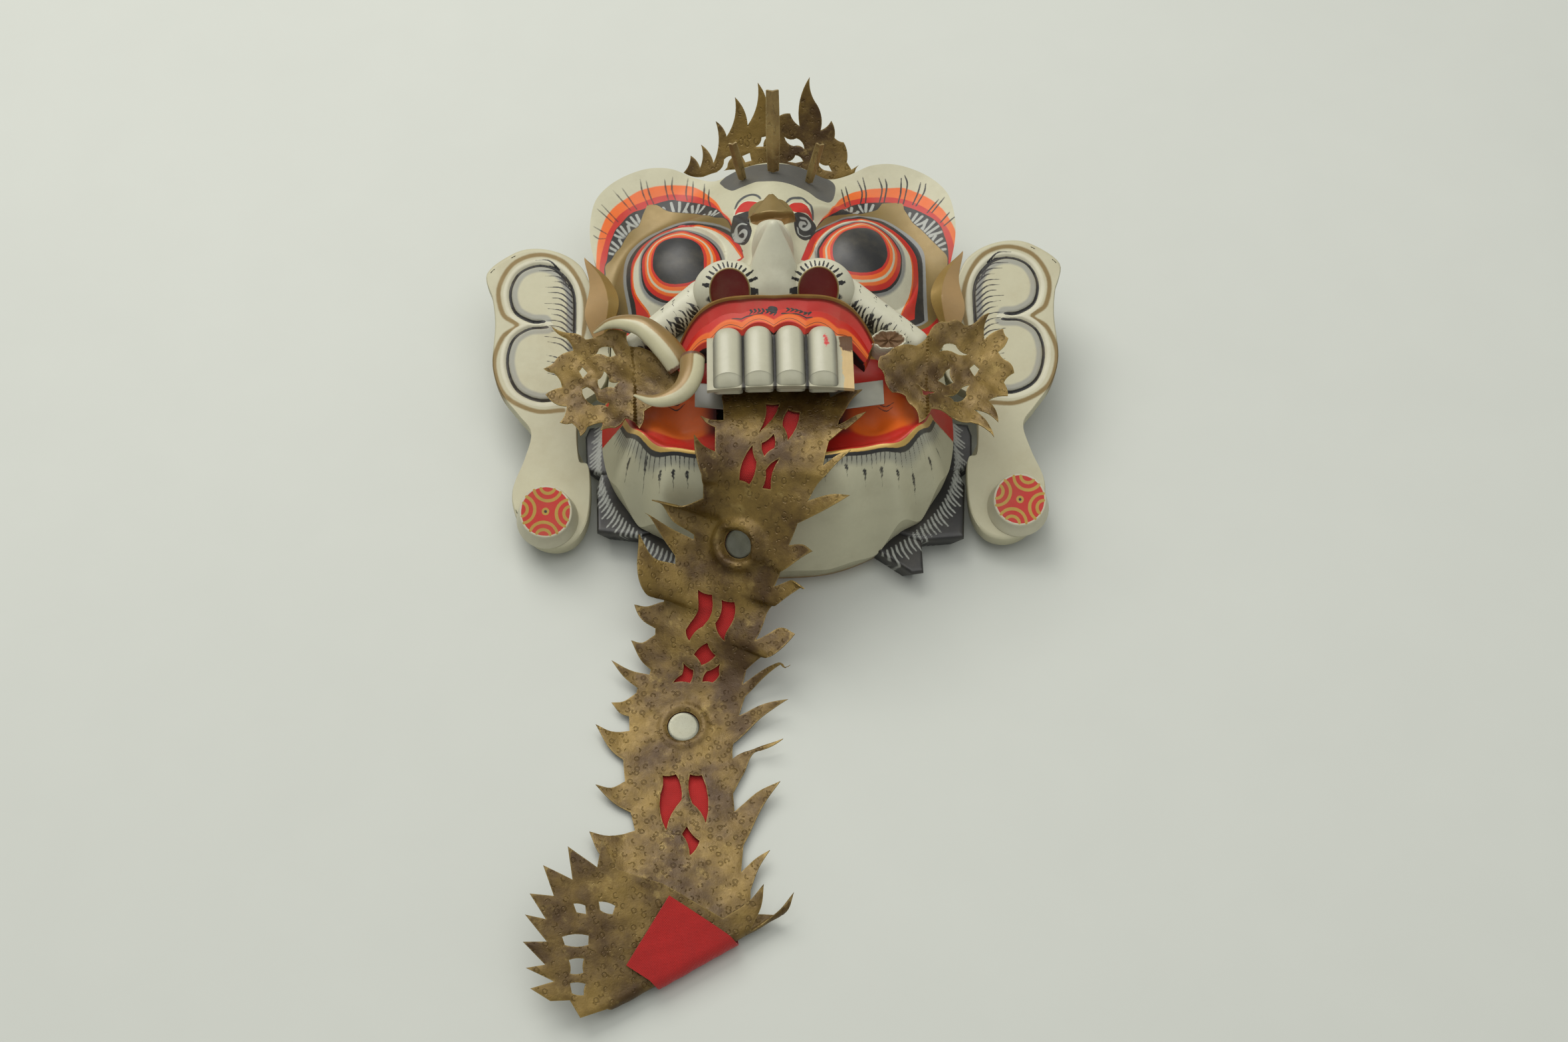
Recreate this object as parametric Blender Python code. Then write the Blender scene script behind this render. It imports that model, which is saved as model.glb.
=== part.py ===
"""Rangda mask: a painted, carved wooden demon face lying on its back.

The face looks up along +Z, the crown points along +Y and the gilded tongue
runs out over the chin along -Y. Sizes are in millimetres and are scaled to
metres when a mesh is made. Left and right are the viewer's.
"""

import math

import bmesh
import bpy
import numpy as np
from mathutils import Vector
from mathutils.geometry import delaunay_2d_cdt

MM = 0.001
GAP = 0.35                    # air between two pieces that touch
WELD = 0.02                   # points this close after a join are one

# Wooden face
FACE_MIDDLE = (0.0, 95.0)     # centre that the outline is measured from
WALL = 11.0                   # thickness of the hollow shell
FACE_TRIANGLES = 3900         # the carved face is thinned to this many
RIM_INSET = 0.955             # the rear rim is this much smaller than the outline
FACE_RIGHT_EDGE = [
    (0, 232), (20, 231), (36, 227), (49, 230), (66, 236), (84, 236), (102, 228),
    (114, 214), (118, 197), (118, 179), (114, 160), (107, 140), (104, 118),
    (104, 95), (106, 70), (109, 45), (108, 24), (101, 2), (86, -17), (62, -34),
    (34, -46), (0, -49),
]
SKIN_HEIGHTS = [
    (0, 230, 74), (0, 214, 82), (0, 190, 90), (0, 163, 97), (0, 130, 102),
    (0, 95, 102), (0, 62, 98), (0, 30, 84), (0, 4, 82), (0, -14, 86),
    (0, -28, 78), (0, -40, 54), (0, -48, 22),
    (36, 225, 62), (34, 205, 72), (34, 180, 76), (30, 155, 80),
    (66, 235, 64), (100, 227, 62), (117, 196, 62), (116, 165, 58),
    (105, 138, 54), (103, 105, 50), (105, 70, 46), (108, 40, 42),
    (104, 12, 36), (86, -15, 26), (60, -33, 22), (30, -46, 20),
    (60, 212, 58), (92, 198, 56), (98, 165, 56), (92, 130, 58),
    (56, 143, 62), (80, 108, 64), (84, 85, 72), (55, 90, 88),
    (80, 55, 78), (85, 25, 76), (60, 20, 74), (84, 0, 82), (60, -8, 86),
    (30, -12, 86), (70, -22, 66), (40, -30, 70), (96, -2, 52),
]
EYE_SIZE = (34.0, 39.0, 31.0)
EYE_HOLLOW = 20.0             # how much deeper the hollow is behind an eye
EYES = {"left": (-56.0, 141.0, 61.0), "right": (49.0, 144.0, 61.0)}
BROW_BAND = (1.22, 0.13, 4.0)        # eye radii out, half width, height in mm
LIP_LINE = [(0, -12), (24, -12), (46, -10), (59, -7.5), (70, -6), (80, 1.5), (88, 14), (94, 32)]
LIP_RIDGE = (5.0, 4.6)               # height and half width of the lower lip
ORNAMENT = [(-1, 189), (-15, 167), (13, 166)]
ORNAMENT_HEIGHT = 5.0
MOUTH_HOLE = (38.0, 13.0, 44.0)      # half width, lower and upper edge of the opening

# Upper jaw
LIP_HALF = 59.0
TOOTH_MIDDLES = (-29.4, -11.3, 7.5, 26.7)
TOOTH_HALF = 8.9
TOOTH_PITCH = 18.8
TOOTH_SAG = 3.0                      # how far the row of teeth bows back 40 mm from its middle
TEETH_Y = (16.5, 60.5)

# Locks of the beard: plan corners and height of each carved slab
LOCKS = {
    "right_high": ([(100, 62), (121, 58), (123, 50), (121.5, 25), (100, 22)], 19),
    "right_side": ([(98, 27), (113, 24), (116, 12), (113, -27), (86, -29), (66, -20), (80, 5)], 20),
    "right_low": ([(84, -8), (87, -24), (87, -50), (80, -51), (60, -35), (56, -22)], 18),
    "left_high": ([(-100, 64), (-119, 61), (-121.5, 54), (-120, 28), (-100, 22)], 19),
    "left_side": ([(-98, 27), (-111, 25), (-113.5, 14), (-112.5, -18), (-87, -22), (-66, -16), (-80, 5)], 20),
    "left_low": ([(-82, -8), (-86.5, -20), (-86.5, -46), (-78, -49), (-60, -41), (-56, -22)], 18),
}

LOCK_FOOT = 0.94                     # the locks' undersides are cut back to this share

# Ears
EAR_TILT = math.radians(12.0)
EAR_ORIGIN = (-6.0, 24.0)            # y and z of the line that the board tilts about
EAR_THICK = 11.0
EAR_RIGHT_EDGE = [
    (117, 146), (124, 160), (136, 169), (152, 173), (167, 170), (184, 156),
    (180, 138), (178, 120), (179, 92), (173, 73), (162, 58), (154, 46),
    (158, 28), (165, 8), (162, -9), (152, -24), (138, -29), (125, -24),
    (117.5, -8), (117.5, 22), (124, 28), (124, 62), (107, 80), (105.5, 120), (112, 136),
]
GROOVES_RIGHT = [
    [(127, 112), (128, 141), (137, 156), (150, 161), (163, 156), (169, 143), (166, 129), (156, 122), (147, 121)],
    [(145, 118), (157, 117), (167, 109), (170, 93), (164, 76), (150, 68), (134, 69)],
]
GROOVE_SIZE = (2.3, 1.6)             # half width and depth
PLUG_AT = {"left": (-142.9, -10.5), "right": (147.3, -8.5)}
PLUG = (19.0, 16.4, 13.0)            # base radius, face radius, height
PLUG_TILT = math.radians(26.0)

# Tusks: middle line and half width
UPPER_TUSK = [
    (-58, 44, 103, 8.0), (-64, 52, 108, 8.4), (-72, 61, 111, 8.0), (-81, 69, 112, 6.8),
    (-92, 74, 110, 5.2), (-102, 76, 106, 3.4), (-111, 73.5, 101, 0.9),
]
LOWER_TUSK = [
    (-50.5, 43, 114, 7.4), (-51.5, 28, 117, 7.2), (-56, 17, 118, 6.6),
    (-64, 11, 118, 5.4), (-74, 11, 116, 3.6), (-85, 18, 112, 0.9),
]

# Gilded leather
LEATHER = 1.4
CREST_BASE = (0.0, 234.2, 58.0)
CREST_LEAN = math.radians(40.0)
CREST_TIPS = [
    (-58, 3), (-53, 14), (-47, 6), (-46, 21), (-38, 9), (-36, 36), (-29, 26),
    (-23, 51), (-15, 33), (-8, 60), (-2, 42), (5, 38), (13, 40), (19, 32),
    (26, 63), (31, 45), (33, 29), (40, 35), (42, 24), (48, 21), (50, 8),
    (53, 3), (58, 6), (55, 0), (0, 0), (-45, 0),
]
CREST_HOLES = [
    [(-10, 19), (-6, 25), (-1, 26), (-5, 19)],
    [(9, 25), (17, 24), (22, 17), (15, 19)],
    [(-36, 3), (-31, 11), (-24, 13), (-29, 6)],
    [(-19, 13), (-14, 15), (-13, 10), (-17, 9)],
    [(11, 9), (16, 13), (21, 9), (16, 8)],
    [(31, 9), (38, 6), (40, 2), (35, 3)],
]
SPIKES = {
    "crest_spike_mid": ((1, 218), (1, 240, 133), 4.6),
    "crest_spike_left": ((-19, 216), (-25, 221, 105), 3.2),
    "crest_spike_right": ((24, 214), (31, 219, 105), 3.2),
}
ROSETTE_LEFT = {
    "origin": (-108, 50, 87.9),
    "normal": (-0.15, -0.27, 0.9),
    "tips": [
        (-27, 34), (-15, 29), (-7, 24), (8, 28), (19, 25), (20, 16), (35, 9),
        (45, 2), (50, -6), (49, -19), (39, -23), (27, -27), (24, -38), (16, -31),
        (9, -36), (0, -36), (2, -31), (-8, -33), (-12, -39), (-17, -30),
        (-24, -29), (-20, -18), (-30, -13), (-33, -9), (-23, -5), (-27, 4),
        (-33, 7), (-25, 13), (-15, 18), (-19, 26),
    ],
    "holes": [
        [(-4, 13), (1, 17), (9, 17), (11, 12), (4, 13)],
        [(-12, 4), (-10, 7), (-7, 3), (-10, 0)],
        [(-1, -2), (3, 3), (6, -4), (12, -5), (9, -9), (1, -9)],
        [(-11, -7), (-8, -6), (-2, -15), (6, -18), (5, -21), (-4, -19)],
    ],
}
ROSETTE_RIGHT = {
    "origin": (112, 50, 88.2),
    "normal": (0.15, -0.27, 0.9),
    "tips": [
        (-51, 3), (-44, 8), (-29, 12), (-20, 23), (-13, 29), (-6, 30), (1, 27),
        (9, 31), (16, 36), (14, 20), (25, 27), (28, 21), (22, 12), (28, 6),
        (32, -1), (26, -7), (28, -16), (16, -20), (21, -35), (7, -26),
        (18, -45), (5, -35), (-8, -32), (-20, -29), (-27, -38), (-30, -28),
        (-35, -21), (-43, -19), (-48, -9), (-52, -4),
    ],
    "holes": [
        [(-14, 10), (-11, 15), (-4, 15), (4, 10), (-4, 10)],
        [(5, 1), (8, 4), (11, 1), (8, -4)],
        [(-15, -9), (-11, -5), (-7, 0), (-5, -9), (-10, -12)],
        [(-11, -19), (-2, -15), (5, -10), (3, -17), (-5, -22)],
        [(-28, -12), (-17, -17), (-24, -19)],
    ],
}

# Tongue: the middle line of the strip, then cuts at (distance along, distance to the right)
TONGUE_PATH = [
    (-3, 44, 92), (-4, 22, 98), (-9, -2, 100), (-13, -23, 94.5), (-15, -34, 83),
    (-20, -46, 65), (-26, -54, 50), (-36, -70, 38), (-40, -84, 28), (-46, -95, 20),
    (-52, -113, 10), (-58, -138, 5), (-62, -161, 4), (-61, -180, 4), (-59, -208, 4),
    (-58, -240, 5), (-57, -280, 5), (-56, -320, 5), (-56, -440, 5),
]
FLAMES_LEFT = [
    ((24, -30), None, None), ((44, -25), (44, -39), (49, -29)), ((65, -26), (57, -40), (76, -32)),
    ((97, -29), (114, -55), (129, -28)), ((132, -27), (128, -56), (144, -32)),
    ((147, -30), (142, -54), (168, -34)), ((174, -33), (179, -48), (185, -31)),
    ((188, -30), (194, -43), (207, -27)), ((210, -27), (207, -51), (219, -32)),
    ((222, -32), (231, -45), (237, -33)), ((245, -31), (245, -51), (258, -33)),
    ((271, -33), (273, -50), (291, -31)), ((304, -29), (305, -55), (327, -42)),
]
FAN = [
    (345, -34), (372, -36), (396, -38), (420, -43), (430, -55), (440, -50), (449, -56), (462, -56), (453, -46),
    (470, -48), (462, -41), (479, -37), (468, -30), (486, -24), (475, -20),
    (490, -13), (478, -7), (492, 4), (474, 6), (486, 20), (466, 19), (472, 34), (456, 24),
]
FLAMES_RIGHT = [
    ((430, 31), None, None), ((392, 33), (384, 62), (376, 38)), ((374, 36), (366, 68), (360, 35)),
    ((345, 36), (322, 48), (334, 31)), ((317, 33), (282, 57), (296, 29)),
    ((285, 29), (238, 60), (263, 31)), ((245, 31), (209, 58), (225, 31)),
    ((212, 32), (172, 56), (204, 29)), ((194, 29), (165, 50), (170, 29)),
    ((161, 30), (119, 50), (134, 30)), ((122, 30), (106, 43), (108, 28)),
    ((96, 29), (79, 56), (84, 32)), ((80, 34), (53, 53), (64, 38)),
    ((47, 39), (24, 57), (34, 42)), ((30, 42), (12, 54), (18, 35)), ((8, 32), None, None),
]
TONGUE_TOP = [(3, 18), (2, -14), (8, -28)]
CUTS = [
    [(26, -3), (25, 5), (49, -3)], [(28, 11), (29, 18), (51, 15), (41, 10)],
    [(55, 0), (48, 6), (57, 8), (63, 3)], [(57, -5), (67, -1), (81, -4), (79, -10)],
    [(63, 12), (82, 9), (82, 4), (71, 5)],
    [(154, -13), (155, -4), (176, -4), (186, -9), (181, -13)],
    [(157, 2), (157, 10), (169, 11), (179, 12), (171, 2)],
    [(184, 2), (190, 9), (198, 2), (193, -4)],
    [(199, -9), (202, -2), (210, -2), (212, -12), (206, -8)],
    [(194, 13), (201, 14), (207, 11), (208, 5), (201, 6)],
    [(269, -11), (269, -3), (286, -1), (305, -11), (281, -13)],
    [(270, 5), (271, 12), (302, 12), (289, 5)],
    [(303, 1), (313, 8), (322, 2), (308, -2)],
    [(466.5, -4.9), (460.3, -2.3), (457.5, -5.9), (462.5, -7.9)],
    [(455.2, 3.5), (446.2, 6.5), (445.0, 1.8), (452.0, 0.0)],
    [(462.1, -23.4), (450.0, -15.1), (447.5, -19.4), (458.4, -26.3)],
    [(452.2, -32.1), (445.5, -27.1), (441.7, -33.5), (447.6, -37.8)],
    [(444.9, -42.3), (437.3, -38.0), (434.9, -43.6), (441.2, -46.2)],
]
BOSS = (121.0, -1.0, 15.0, 5.0)        # along, across, radius and height of the raised cup
MIRRORS = {"mirror_upper": (121.0, -1.0, 9.0, 4.4), "mirror_lower": (238.0, 0.0, 9.4, 0.0)}
CREASE = ((-26.0, -277.0), (-117.0, -329.0))
CREASE_RADIUS = 4.0
CREASE_OPEN = math.radians(24.0)
LINING = (20.0, 424.0, -18.0, 27.0)    # start, end and the two edges of the red cloth
LINING_DROP = 2.9


def material(name, colour, roughness, metallic=0.0):
    """A plain Principled material."""
    made = bpy.data.materials.new(name)
    made.use_nodes = True
    shader = made.node_tree.nodes["Principled BSDF"]
    shader.inputs["Base Color"].default_value = (*colour, 1.0)
    shader.inputs["Roughness"].default_value = roughness
    shader.inputs["Metallic"].default_value = metallic
    return made


def add_mesh(name, points, faces, finish=None, smooth=True):
    """A mesh object from points in millimetres."""
    mesh = bpy.data.meshes.new(name)
    mesh.from_pydata([tuple(float(c) * MM for c in p) for p in points], [], [tuple(map(int, f)) for f in faces])
    mesh.validate()
    made = bpy.data.objects.new(name, mesh)
    bpy.context.scene.collection.objects.link(made)
    if finish:
        mesh.materials.append(finish)
    if smooth:
        mesh.shade_smooth()
        mesh.set_sharp_from_angle(angle=math.radians(40))
    return made


def spline(points, steps, closed=False):
    """Catmull-Rom curve through the points, with the given steps in each span."""
    p = np.asarray(points, float)
    n = len(p)
    if closed:
        index = np.arange(n)
        before, start, end, after = p[(index - 1) % n], p[index], p[(index + 1) % n], p[(index + 2) % n]
    else:
        padded = np.vstack([2 * p[0] - p[1], p, 2 * p[-1] - p[-2]])
        before, start, end, after = padded[:-3], padded[1:-2], padded[2:-1], padded[3:]
    t = (np.arange(steps) / steps)[None, :, None]
    before, start, end, after = (v[:, None, :] for v in (before, start, end, after))
    curve = 0.5 * (
        2 * start + (end - before) * t + (2 * before - 5 * start + 4 * end - after) * t**2
        + (3 * start - before - 3 * end + after) * t**3
    )
    curve = curve.reshape(-1, p.shape[1])
    return curve if closed else np.vstack([curve, p[-1]])


def loft(rings, fan=False):
    """Closed body through rings of equal length, with flat end caps or fans about a middle point."""
    rings = [np.asarray(r, float) for r in rings]
    n = len(rings[0])
    faces = []
    for i in range(len(rings) - 1):
        for j in range(n):
            k = (j + 1) % n
            faces.append((i * n + j, i * n + k, (i + 1) * n + k, (i + 1) * n + j))
    top = (len(rings) - 1) * n
    if not fan:
        faces += [tuple(reversed(range(n))), tuple(range(top, top + n))]
        return np.vstack(rings), faces
    points = np.vstack(rings + [rings[0].mean(axis=0)[None], rings[-1].mean(axis=0)[None]])
    first = len(rings) * n
    last = first + 1
    for j in range(n):
        k = (j + 1) % n
        faces.append((first, k, j))
        faces.append((last, top + j, top + k))
    return points, faces


def outward(points, faces):
    """Turns all faces round when the body has a negative volume."""
    points = np.asarray(points, float)
    volume = 0.0
    for face in faces:
        for i in range(1, len(face) - 1):
            volume += np.linalg.det(points[[face[0], face[i], face[i + 1]]])
    return faces if volume > 0 else [tuple(reversed(f)) for f in faces]


def lofted(name, rings, finish=None, smooth=True):
    points, faces = loft(rings)
    return add_mesh(name, points, outward(points, faces), finish, smooth)


def ellipsoid(name, middle, radii, turn=0.0, steps=(20, 10)):
    """Closed ellipsoid, turned about the X axis by the given angle."""
    around, up = steps
    rings = []
    for i in range(1, up):
        phi = math.pi * i / up
        theta = 2 * math.pi * np.arange(around) / around
        ring = np.stack([
            radii[0] * math.sin(phi) * np.cos(theta),
            radii[1] * math.sin(phi) * np.sin(theta),
            np.full(around, -radii[2] * math.cos(phi)),
        ], axis=1)
        rings.append(ring)
    points, faces = loft(rings, fan=True)
    points[-2] = (0, 0, -radii[2])
    points[-1] = (0, 0, radii[2])
    c, s = math.cos(turn), math.sin(turn)
    points = points @ np.array([[1, 0, 0], [0, c, s], [0, -s, c]])
    return add_mesh(name, points + np.array(middle, float), outward(points, faces))


def capsule(name, start, end, radii, around=12):
    """Tapered round bar with domed ends."""
    start, end = np.array(start, float), np.array(end, float)
    along = (end - start) / np.linalg.norm(end - start)
    side = np.cross(along, (0, 0, 1))
    side /= np.linalg.norm(side)
    up = np.cross(side, along)
    theta = 2 * math.pi * np.arange(around) / around
    circle = np.cos(theta)[:, None] * side + np.sin(theta)[:, None] * up
    stations = [(-0.95, 0.3), (-0.7, 0.71), (-0.3, 0.95), (0.0, 1.0)]
    rings = [start + along * radii[0] * a + circle * radii[0] * r for a, r in stations]
    rings += [(start + end) / 2 + circle * (radii[0] + radii[1]) / 2]
    rings += [end - along * radii[1] * a + circle * radii[1] * r for a, r in reversed(stations)]
    return lofted(name, rings)


def prism(name, corners, low, high, foot=1.0):
    """Upright body over a plan outline, its top edge drawn in a little and its foot toward the face's middle."""
    plan = np.asarray(corners, float)
    middle = plan.mean(axis=0)
    inner = middle + (plan - middle) * 0.93
    below = np.array(FACE_MIDDLE) + (plan - np.array(FACE_MIDDLE)) * foot
    rings = [
        np.column_stack([below, np.full(len(plan), low)]),
        np.column_stack([plan, np.full(len(plan), high - 2.5)]),
        np.column_stack([inner, np.full(len(plan), high)]),
    ]
    return lofted(name, rings)


def combine(target, others, operation):
    """Joins the others to the target, or cuts them from it, and keeps the result as plain mesh."""
    for other in others:
        step = target.modifiers.new(other.name, "BOOLEAN")
        step.operation = operation
        step.solver = "EXACT"
        step.object = other
        other.hide_render = True
        other.display_type = "WIRE"


def bake(target, helpers):
    """Replaces the object's mesh by its evaluated one and removes the helpers."""
    bpy.context.view_layer.update()
    graph = bpy.context.evaluated_depsgraph_get()
    mesh = bpy.data.meshes.new_from_object(target.evaluated_get(graph))
    target.modifiers.clear()
    work = bmesh.new()
    work.from_mesh(mesh)
    bmesh.ops.remove_doubles(work, verts=work.verts, dist=WELD * MM)
    bmesh.ops.dissolve_degenerate(work, dist=WELD * MM, edges=work.edges)
    bmesh.ops.triangulate(work, faces=work.faces)
    work.to_mesh(mesh)
    work.free()
    target.data = mesh
    for helper in helpers:
        bpy.data.objects.remove(helper)


# Wooden face

def both_sides(points):
    """The points with their mirror images; points on the middle line are kept once."""
    return [tuple(p) for p in points] + [(-p[0], *p[1:]) for p in points if p[0] > 0]


def face_outline():
    """Angle and radius of the face's outline about its middle, as fine arrays."""
    right = FACE_RIGHT_EDGE
    loop = right + [(-x, y) for x, y in reversed(right[1:-1])]
    curve = spline(loop, 12, closed=True) - np.array(FACE_MIDDLE)
    angle = np.arctan2(curve[:, 1], curve[:, 0])
    order = np.argsort(angle)
    return angle[order], np.hypot(curve[:, 0], curve[:, 1])[order]


OUTLINE = face_outline()


def edge_radius(angle):
    return np.interp(angle, OUTLINE[0], OUTLINE[1], period=2 * math.pi)


def thin_plate(points):
    """Weights of the thin-plate surface through (x, y, z) points."""
    p = np.array(points, float)
    xy, z = p[:, :2] / 100.0, p[:, 2]
    gap = np.linalg.norm(xy[:, None] - xy[None], axis=2)
    kernel = np.where(gap > 0, gap**2 * np.log(np.maximum(gap, 1e-9)), 0.0)
    flat = np.column_stack([np.ones(len(p)), xy])
    system = np.block([[kernel + 0.002 * np.eye(len(p)), flat], [flat.T, np.zeros((3, 3))]])
    return xy, np.linalg.solve(system, np.concatenate([z, np.zeros(3)]))


SKIN = thin_plate(both_sides(SKIN_HEIGHTS))


def smoothstep(low, high, value):
    t = np.clip((value - low) / (high - low), 0.0, 1.0)
    return t * t * (3 - 2 * t)


def skin_base(x, y):
    """Height of the plain skin, without brow bands, lip or ornament."""
    xy, weights = SKIN
    p = np.stack([np.ravel(x), np.ravel(y)], axis=1) / 100.0
    gap = np.linalg.norm(p[:, None] - xy[None], axis=2)
    kernel = np.where(gap > 0, gap**2 * np.log(np.maximum(gap, 1e-9)), 0.0)
    z = kernel @ weights[:-3] + weights[-3] + p @ weights[-2:]
    return z.reshape(np.shape(x))


def chain_distance(x, y, chain):
    """Distance of each point to an open chain of straight pieces."""
    best = np.full(np.shape(x), 1e9)
    for a, b in zip(chain[:-1], chain[1:]):
        d = b - a
        t = np.clip(((x - a[0]) * d[0] + (y - a[1]) * d[1]) / max(d @ d, 1e-9), 0, 1)
        best = np.minimum(best, np.hypot(x - a[0] - t * d[0], y - a[1] - t * d[1]))
    return best


def skin(x, y):
    """Height of the carved front, in millimetres above the rear rim."""
    x, y = np.asarray(x, float), np.asarray(y, float)
    z = skin_base(x, y)
    for eye in EYES.values():
        away = np.hypot((x - eye[0]) / EYE_SIZE[0], (y - eye[1]) / EYE_SIZE[1])
        band = np.exp(-(((away - BROW_BAND[0]) / BROW_BAND[1]) ** 2))
        z = z + BROW_BAND[2] * band * smoothstep(100, 120, y)
    line = np.array(LIP_LINE, float)
    lip = np.interp(np.abs(x), line[:, 0], line[:, 1])
    away = chain_distance(np.abs(x), y, spline(line, 4))
    z = z + LIP_RIDGE[0] * np.exp(-((away / LIP_RIDGE[1]) ** 2)) * (1 - smoothstep(88, 98, np.abs(x)))
    hollow = smoothstep(2, 12, y - lip) * (1 - smoothstep(40, 52, y)) * (1 - smoothstep(78, 92, np.abs(x)))
    z = z - 6.0 * hollow
    tri = np.array(ORNAMENT, float)
    inside = np.full(x.shape, 1e9)
    for i in range(3):
        a, b = tri[i], tri[(i + 1) % 3]
        normal = np.array([b[1] - a[1], a[0] - b[0]])
        normal /= np.linalg.norm(normal)
        if (tri.mean(axis=0) - a) @ normal < 0:
            normal = -normal
        inside = np.minimum(inside, (x - a[0]) * normal[0] + (y - a[1]) * normal[1])
    return z + ORNAMENT_HEIGHT * smoothstep(-2.0, 1.0, inside)


def plan_ring(angle, share):
    """Plan points at a share of the outline's radius, in every direction of the angles."""
    radius = edge_radius(angle) * share
    return np.array(FACE_MIDDLE) + np.stack([np.cos(angle), np.sin(angle)], axis=1) * radius[:, None]


def face_front(around=150, across=38):
    """Solid body under the carved front: skin, side wall drawn in to the rear rim, flat back."""
    angle = -math.pi + 2 * math.pi * np.arange(around) / around
    rings = []
    for i in range(1, across + 1):
        xy = plan_ring(angle, (i / across) ** 0.94)
        rings.append(np.column_stack([xy, skin(xy[:, 0], xy[:, 1])]))
    edge = rings[-1][:, 2]
    for drop, inset in ((0.66, 0.985), (0.33, 0.968), (0.0, RIM_INSET)):
        rings.append(np.column_stack([plan_ring(angle, inset), edge * drop]))
    points, faces = loft(rings, fan=True)
    cx, cy = FACE_MIDDLE
    points[-2] = (cx, cy, skin(np.array([cx]), np.array([cy]))[0])
    points[-1] = (cx, cy, 0)
    return add_mesh("face", points, outward(points, faces))


def ceiling(x, y):
    """Height of the hollow's roof: a wall's thickness under the plain skin, higher behind the eyes."""
    z = skin_base(x, y) - WALL - 5
    for eye in EYES.values():
        away = np.hypot((x - eye[0]) / EYE_SIZE[0], (y - eye[1]) / EYE_SIZE[1])
        z = z + EYE_HOLLOW * smoothstep(1.0, 0.2, away)
    return np.maximum(z, 10)


def face_hollow(around=72):
    """Body that is cut out of the back."""
    angle = -math.pi + 2 * math.pi * np.arange(around) / around
    inner = RIM_INSET - WALL / edge_radius(angle)
    rings = [np.column_stack([plan_ring(angle, inner), np.full(around, -4.0)])]
    for share, lift in ((0.995, 0.45), (0.97, 0.8), (0.9, 1.0), (0.78, 1.0), (0.62, 1.0), (0.42, 1.0), (0.2, 1.0)):
        xy = plan_ring(angle, inner * share)
        rings.append(np.column_stack([xy, ceiling(xy[:, 0], xy[:, 1]) * lift]))
    points, faces = loft(rings, fan=True)
    cx, cy = FACE_MIDDLE
    points[-2] = (cx, cy, -4)
    points[-1] = (cx, cy, ceiling(np.array([cx]), np.array([cy]))[0])
    return add_mesh("hollow", points, outward(points, faces))


def jaw():
    """The upper lip and the block of gum behind it, from one mouth corner to the other."""
    rings = []
    for phi in np.linspace(-1, 1, 33):
        gold = np.array([LIP_HALF * phi, 63 + 21 * (1 - phi**6), 100 + 21 * (1 - phi**4)])
        gum = np.array([-1 + 54 * phi, 50 + 7.6 * (1 - abs(phi) ** 3), 96 + 20 * (1 - phi**2)])
        gum[1] += 5.2 * abs(math.sin(math.pi * (gum[0] + 1.9) / TOOTH_PITCH)) * (1 - phi**4)
        out = np.array([0.35 * phi, -0.45, 0.85])
        ring = [gold + (0, 3, -34), gold + (0, 3, -4), gold, gold + out * 1.6 + (0, -1.5, 0)]
        for share, push in ((0.14, -1.2), (0.4, -2.2), (0.62, 0.6), (0.8, 1.2), (0.94, -1.0)):
            ring.append(gold + (gum - gold) * share + out * push)
        ring.append(gum + (0, 1.5, -5))
        ring.append(np.array([gum[0], gum[1] + 2, 66]))
        rings.append(ring)
    return lofted("jaw", rings)


def teeth():
    """The tooth block and its four upright teeth."""
    low, high = TEETH_Y
    block = []
    for x in np.linspace(-42, 45, 13):
        sag = TOOTH_SAG * ((x + 1) / 40.0) ** 2
        block.append([
            (x, low + 14, 106 - sag), (x, low + 0.5, 117 - sag), (x, low, 120.5 - sag),
            (x, high - 6, 120 - sag), (x, high + 1, 112 - sag), (x, high + 6, 106 - sag), (x, high + 6, 96 - sag),
            (x, high - 8, 100 - sag),
        ])
    made = [lofted("tooth_block", block)]
    stations = [(low + 0.5, 0.72, 2.6), (low + 3.2, 0.99, 5.4), (low + 7.5, 1.0, 8.2), (high - 16, 1.0, 8.4)]
    stations += [(high - 7, 0.98, 8.0), (high - 3, 0.78, 6.6), (high - 1.2, 0.52, 4.6), (high, 0.2, 1.8)]
    for i, middle in enumerate(TOOTH_MIDDLES):
        sag = TOOTH_SAG * ((middle + 1) / 40.0) ** 2
        rings = []
        for y, wide, tall in stations:
            theta = np.linspace(0, math.pi, 9)
            arch = np.column_stack([
                middle + TOOTH_HALF * wide * np.cos(theta), np.full(9, y), 118.6 - sag + tall * np.sin(theta) ** 0.8,
            ])
            base = np.array([
                (middle - TOOTH_HALF * wide, y, 114 - sag), (middle + TOOTH_HALF * wide, y, 114 - sag),
            ])
            rings.append(np.vstack([arch, base]))
        made.append(lofted(f"tooth_{i}", rings))
    return made


def nose():
    """The pointed snout between the nostrils."""
    stations = [
        (162, 10, 99), (150, 12.5, 108), (138, 13.5, 122), (127, 12.5, 139), (120, 10.5, 148), (116, 9.5, 151),
        (111, 14, 147), (104, 18, 140), (96, 19.5, 133), (88, 20.5, 127), (82, 21, 119),
    ]
    rings = []
    for y, half, top in stations:
        theta = np.linspace(0, math.pi, 13)
        arch = np.column_stack([
            -1 + half * np.cos(theta), np.full(13, y), 88 + (top - 88) * np.sin(theta) ** 0.75,
        ])
        rings.append(np.vstack([arch, [(-1 - half, y, 80), (-1 + half, y, 80)]]))
    return lofted("nose", rings)


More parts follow.
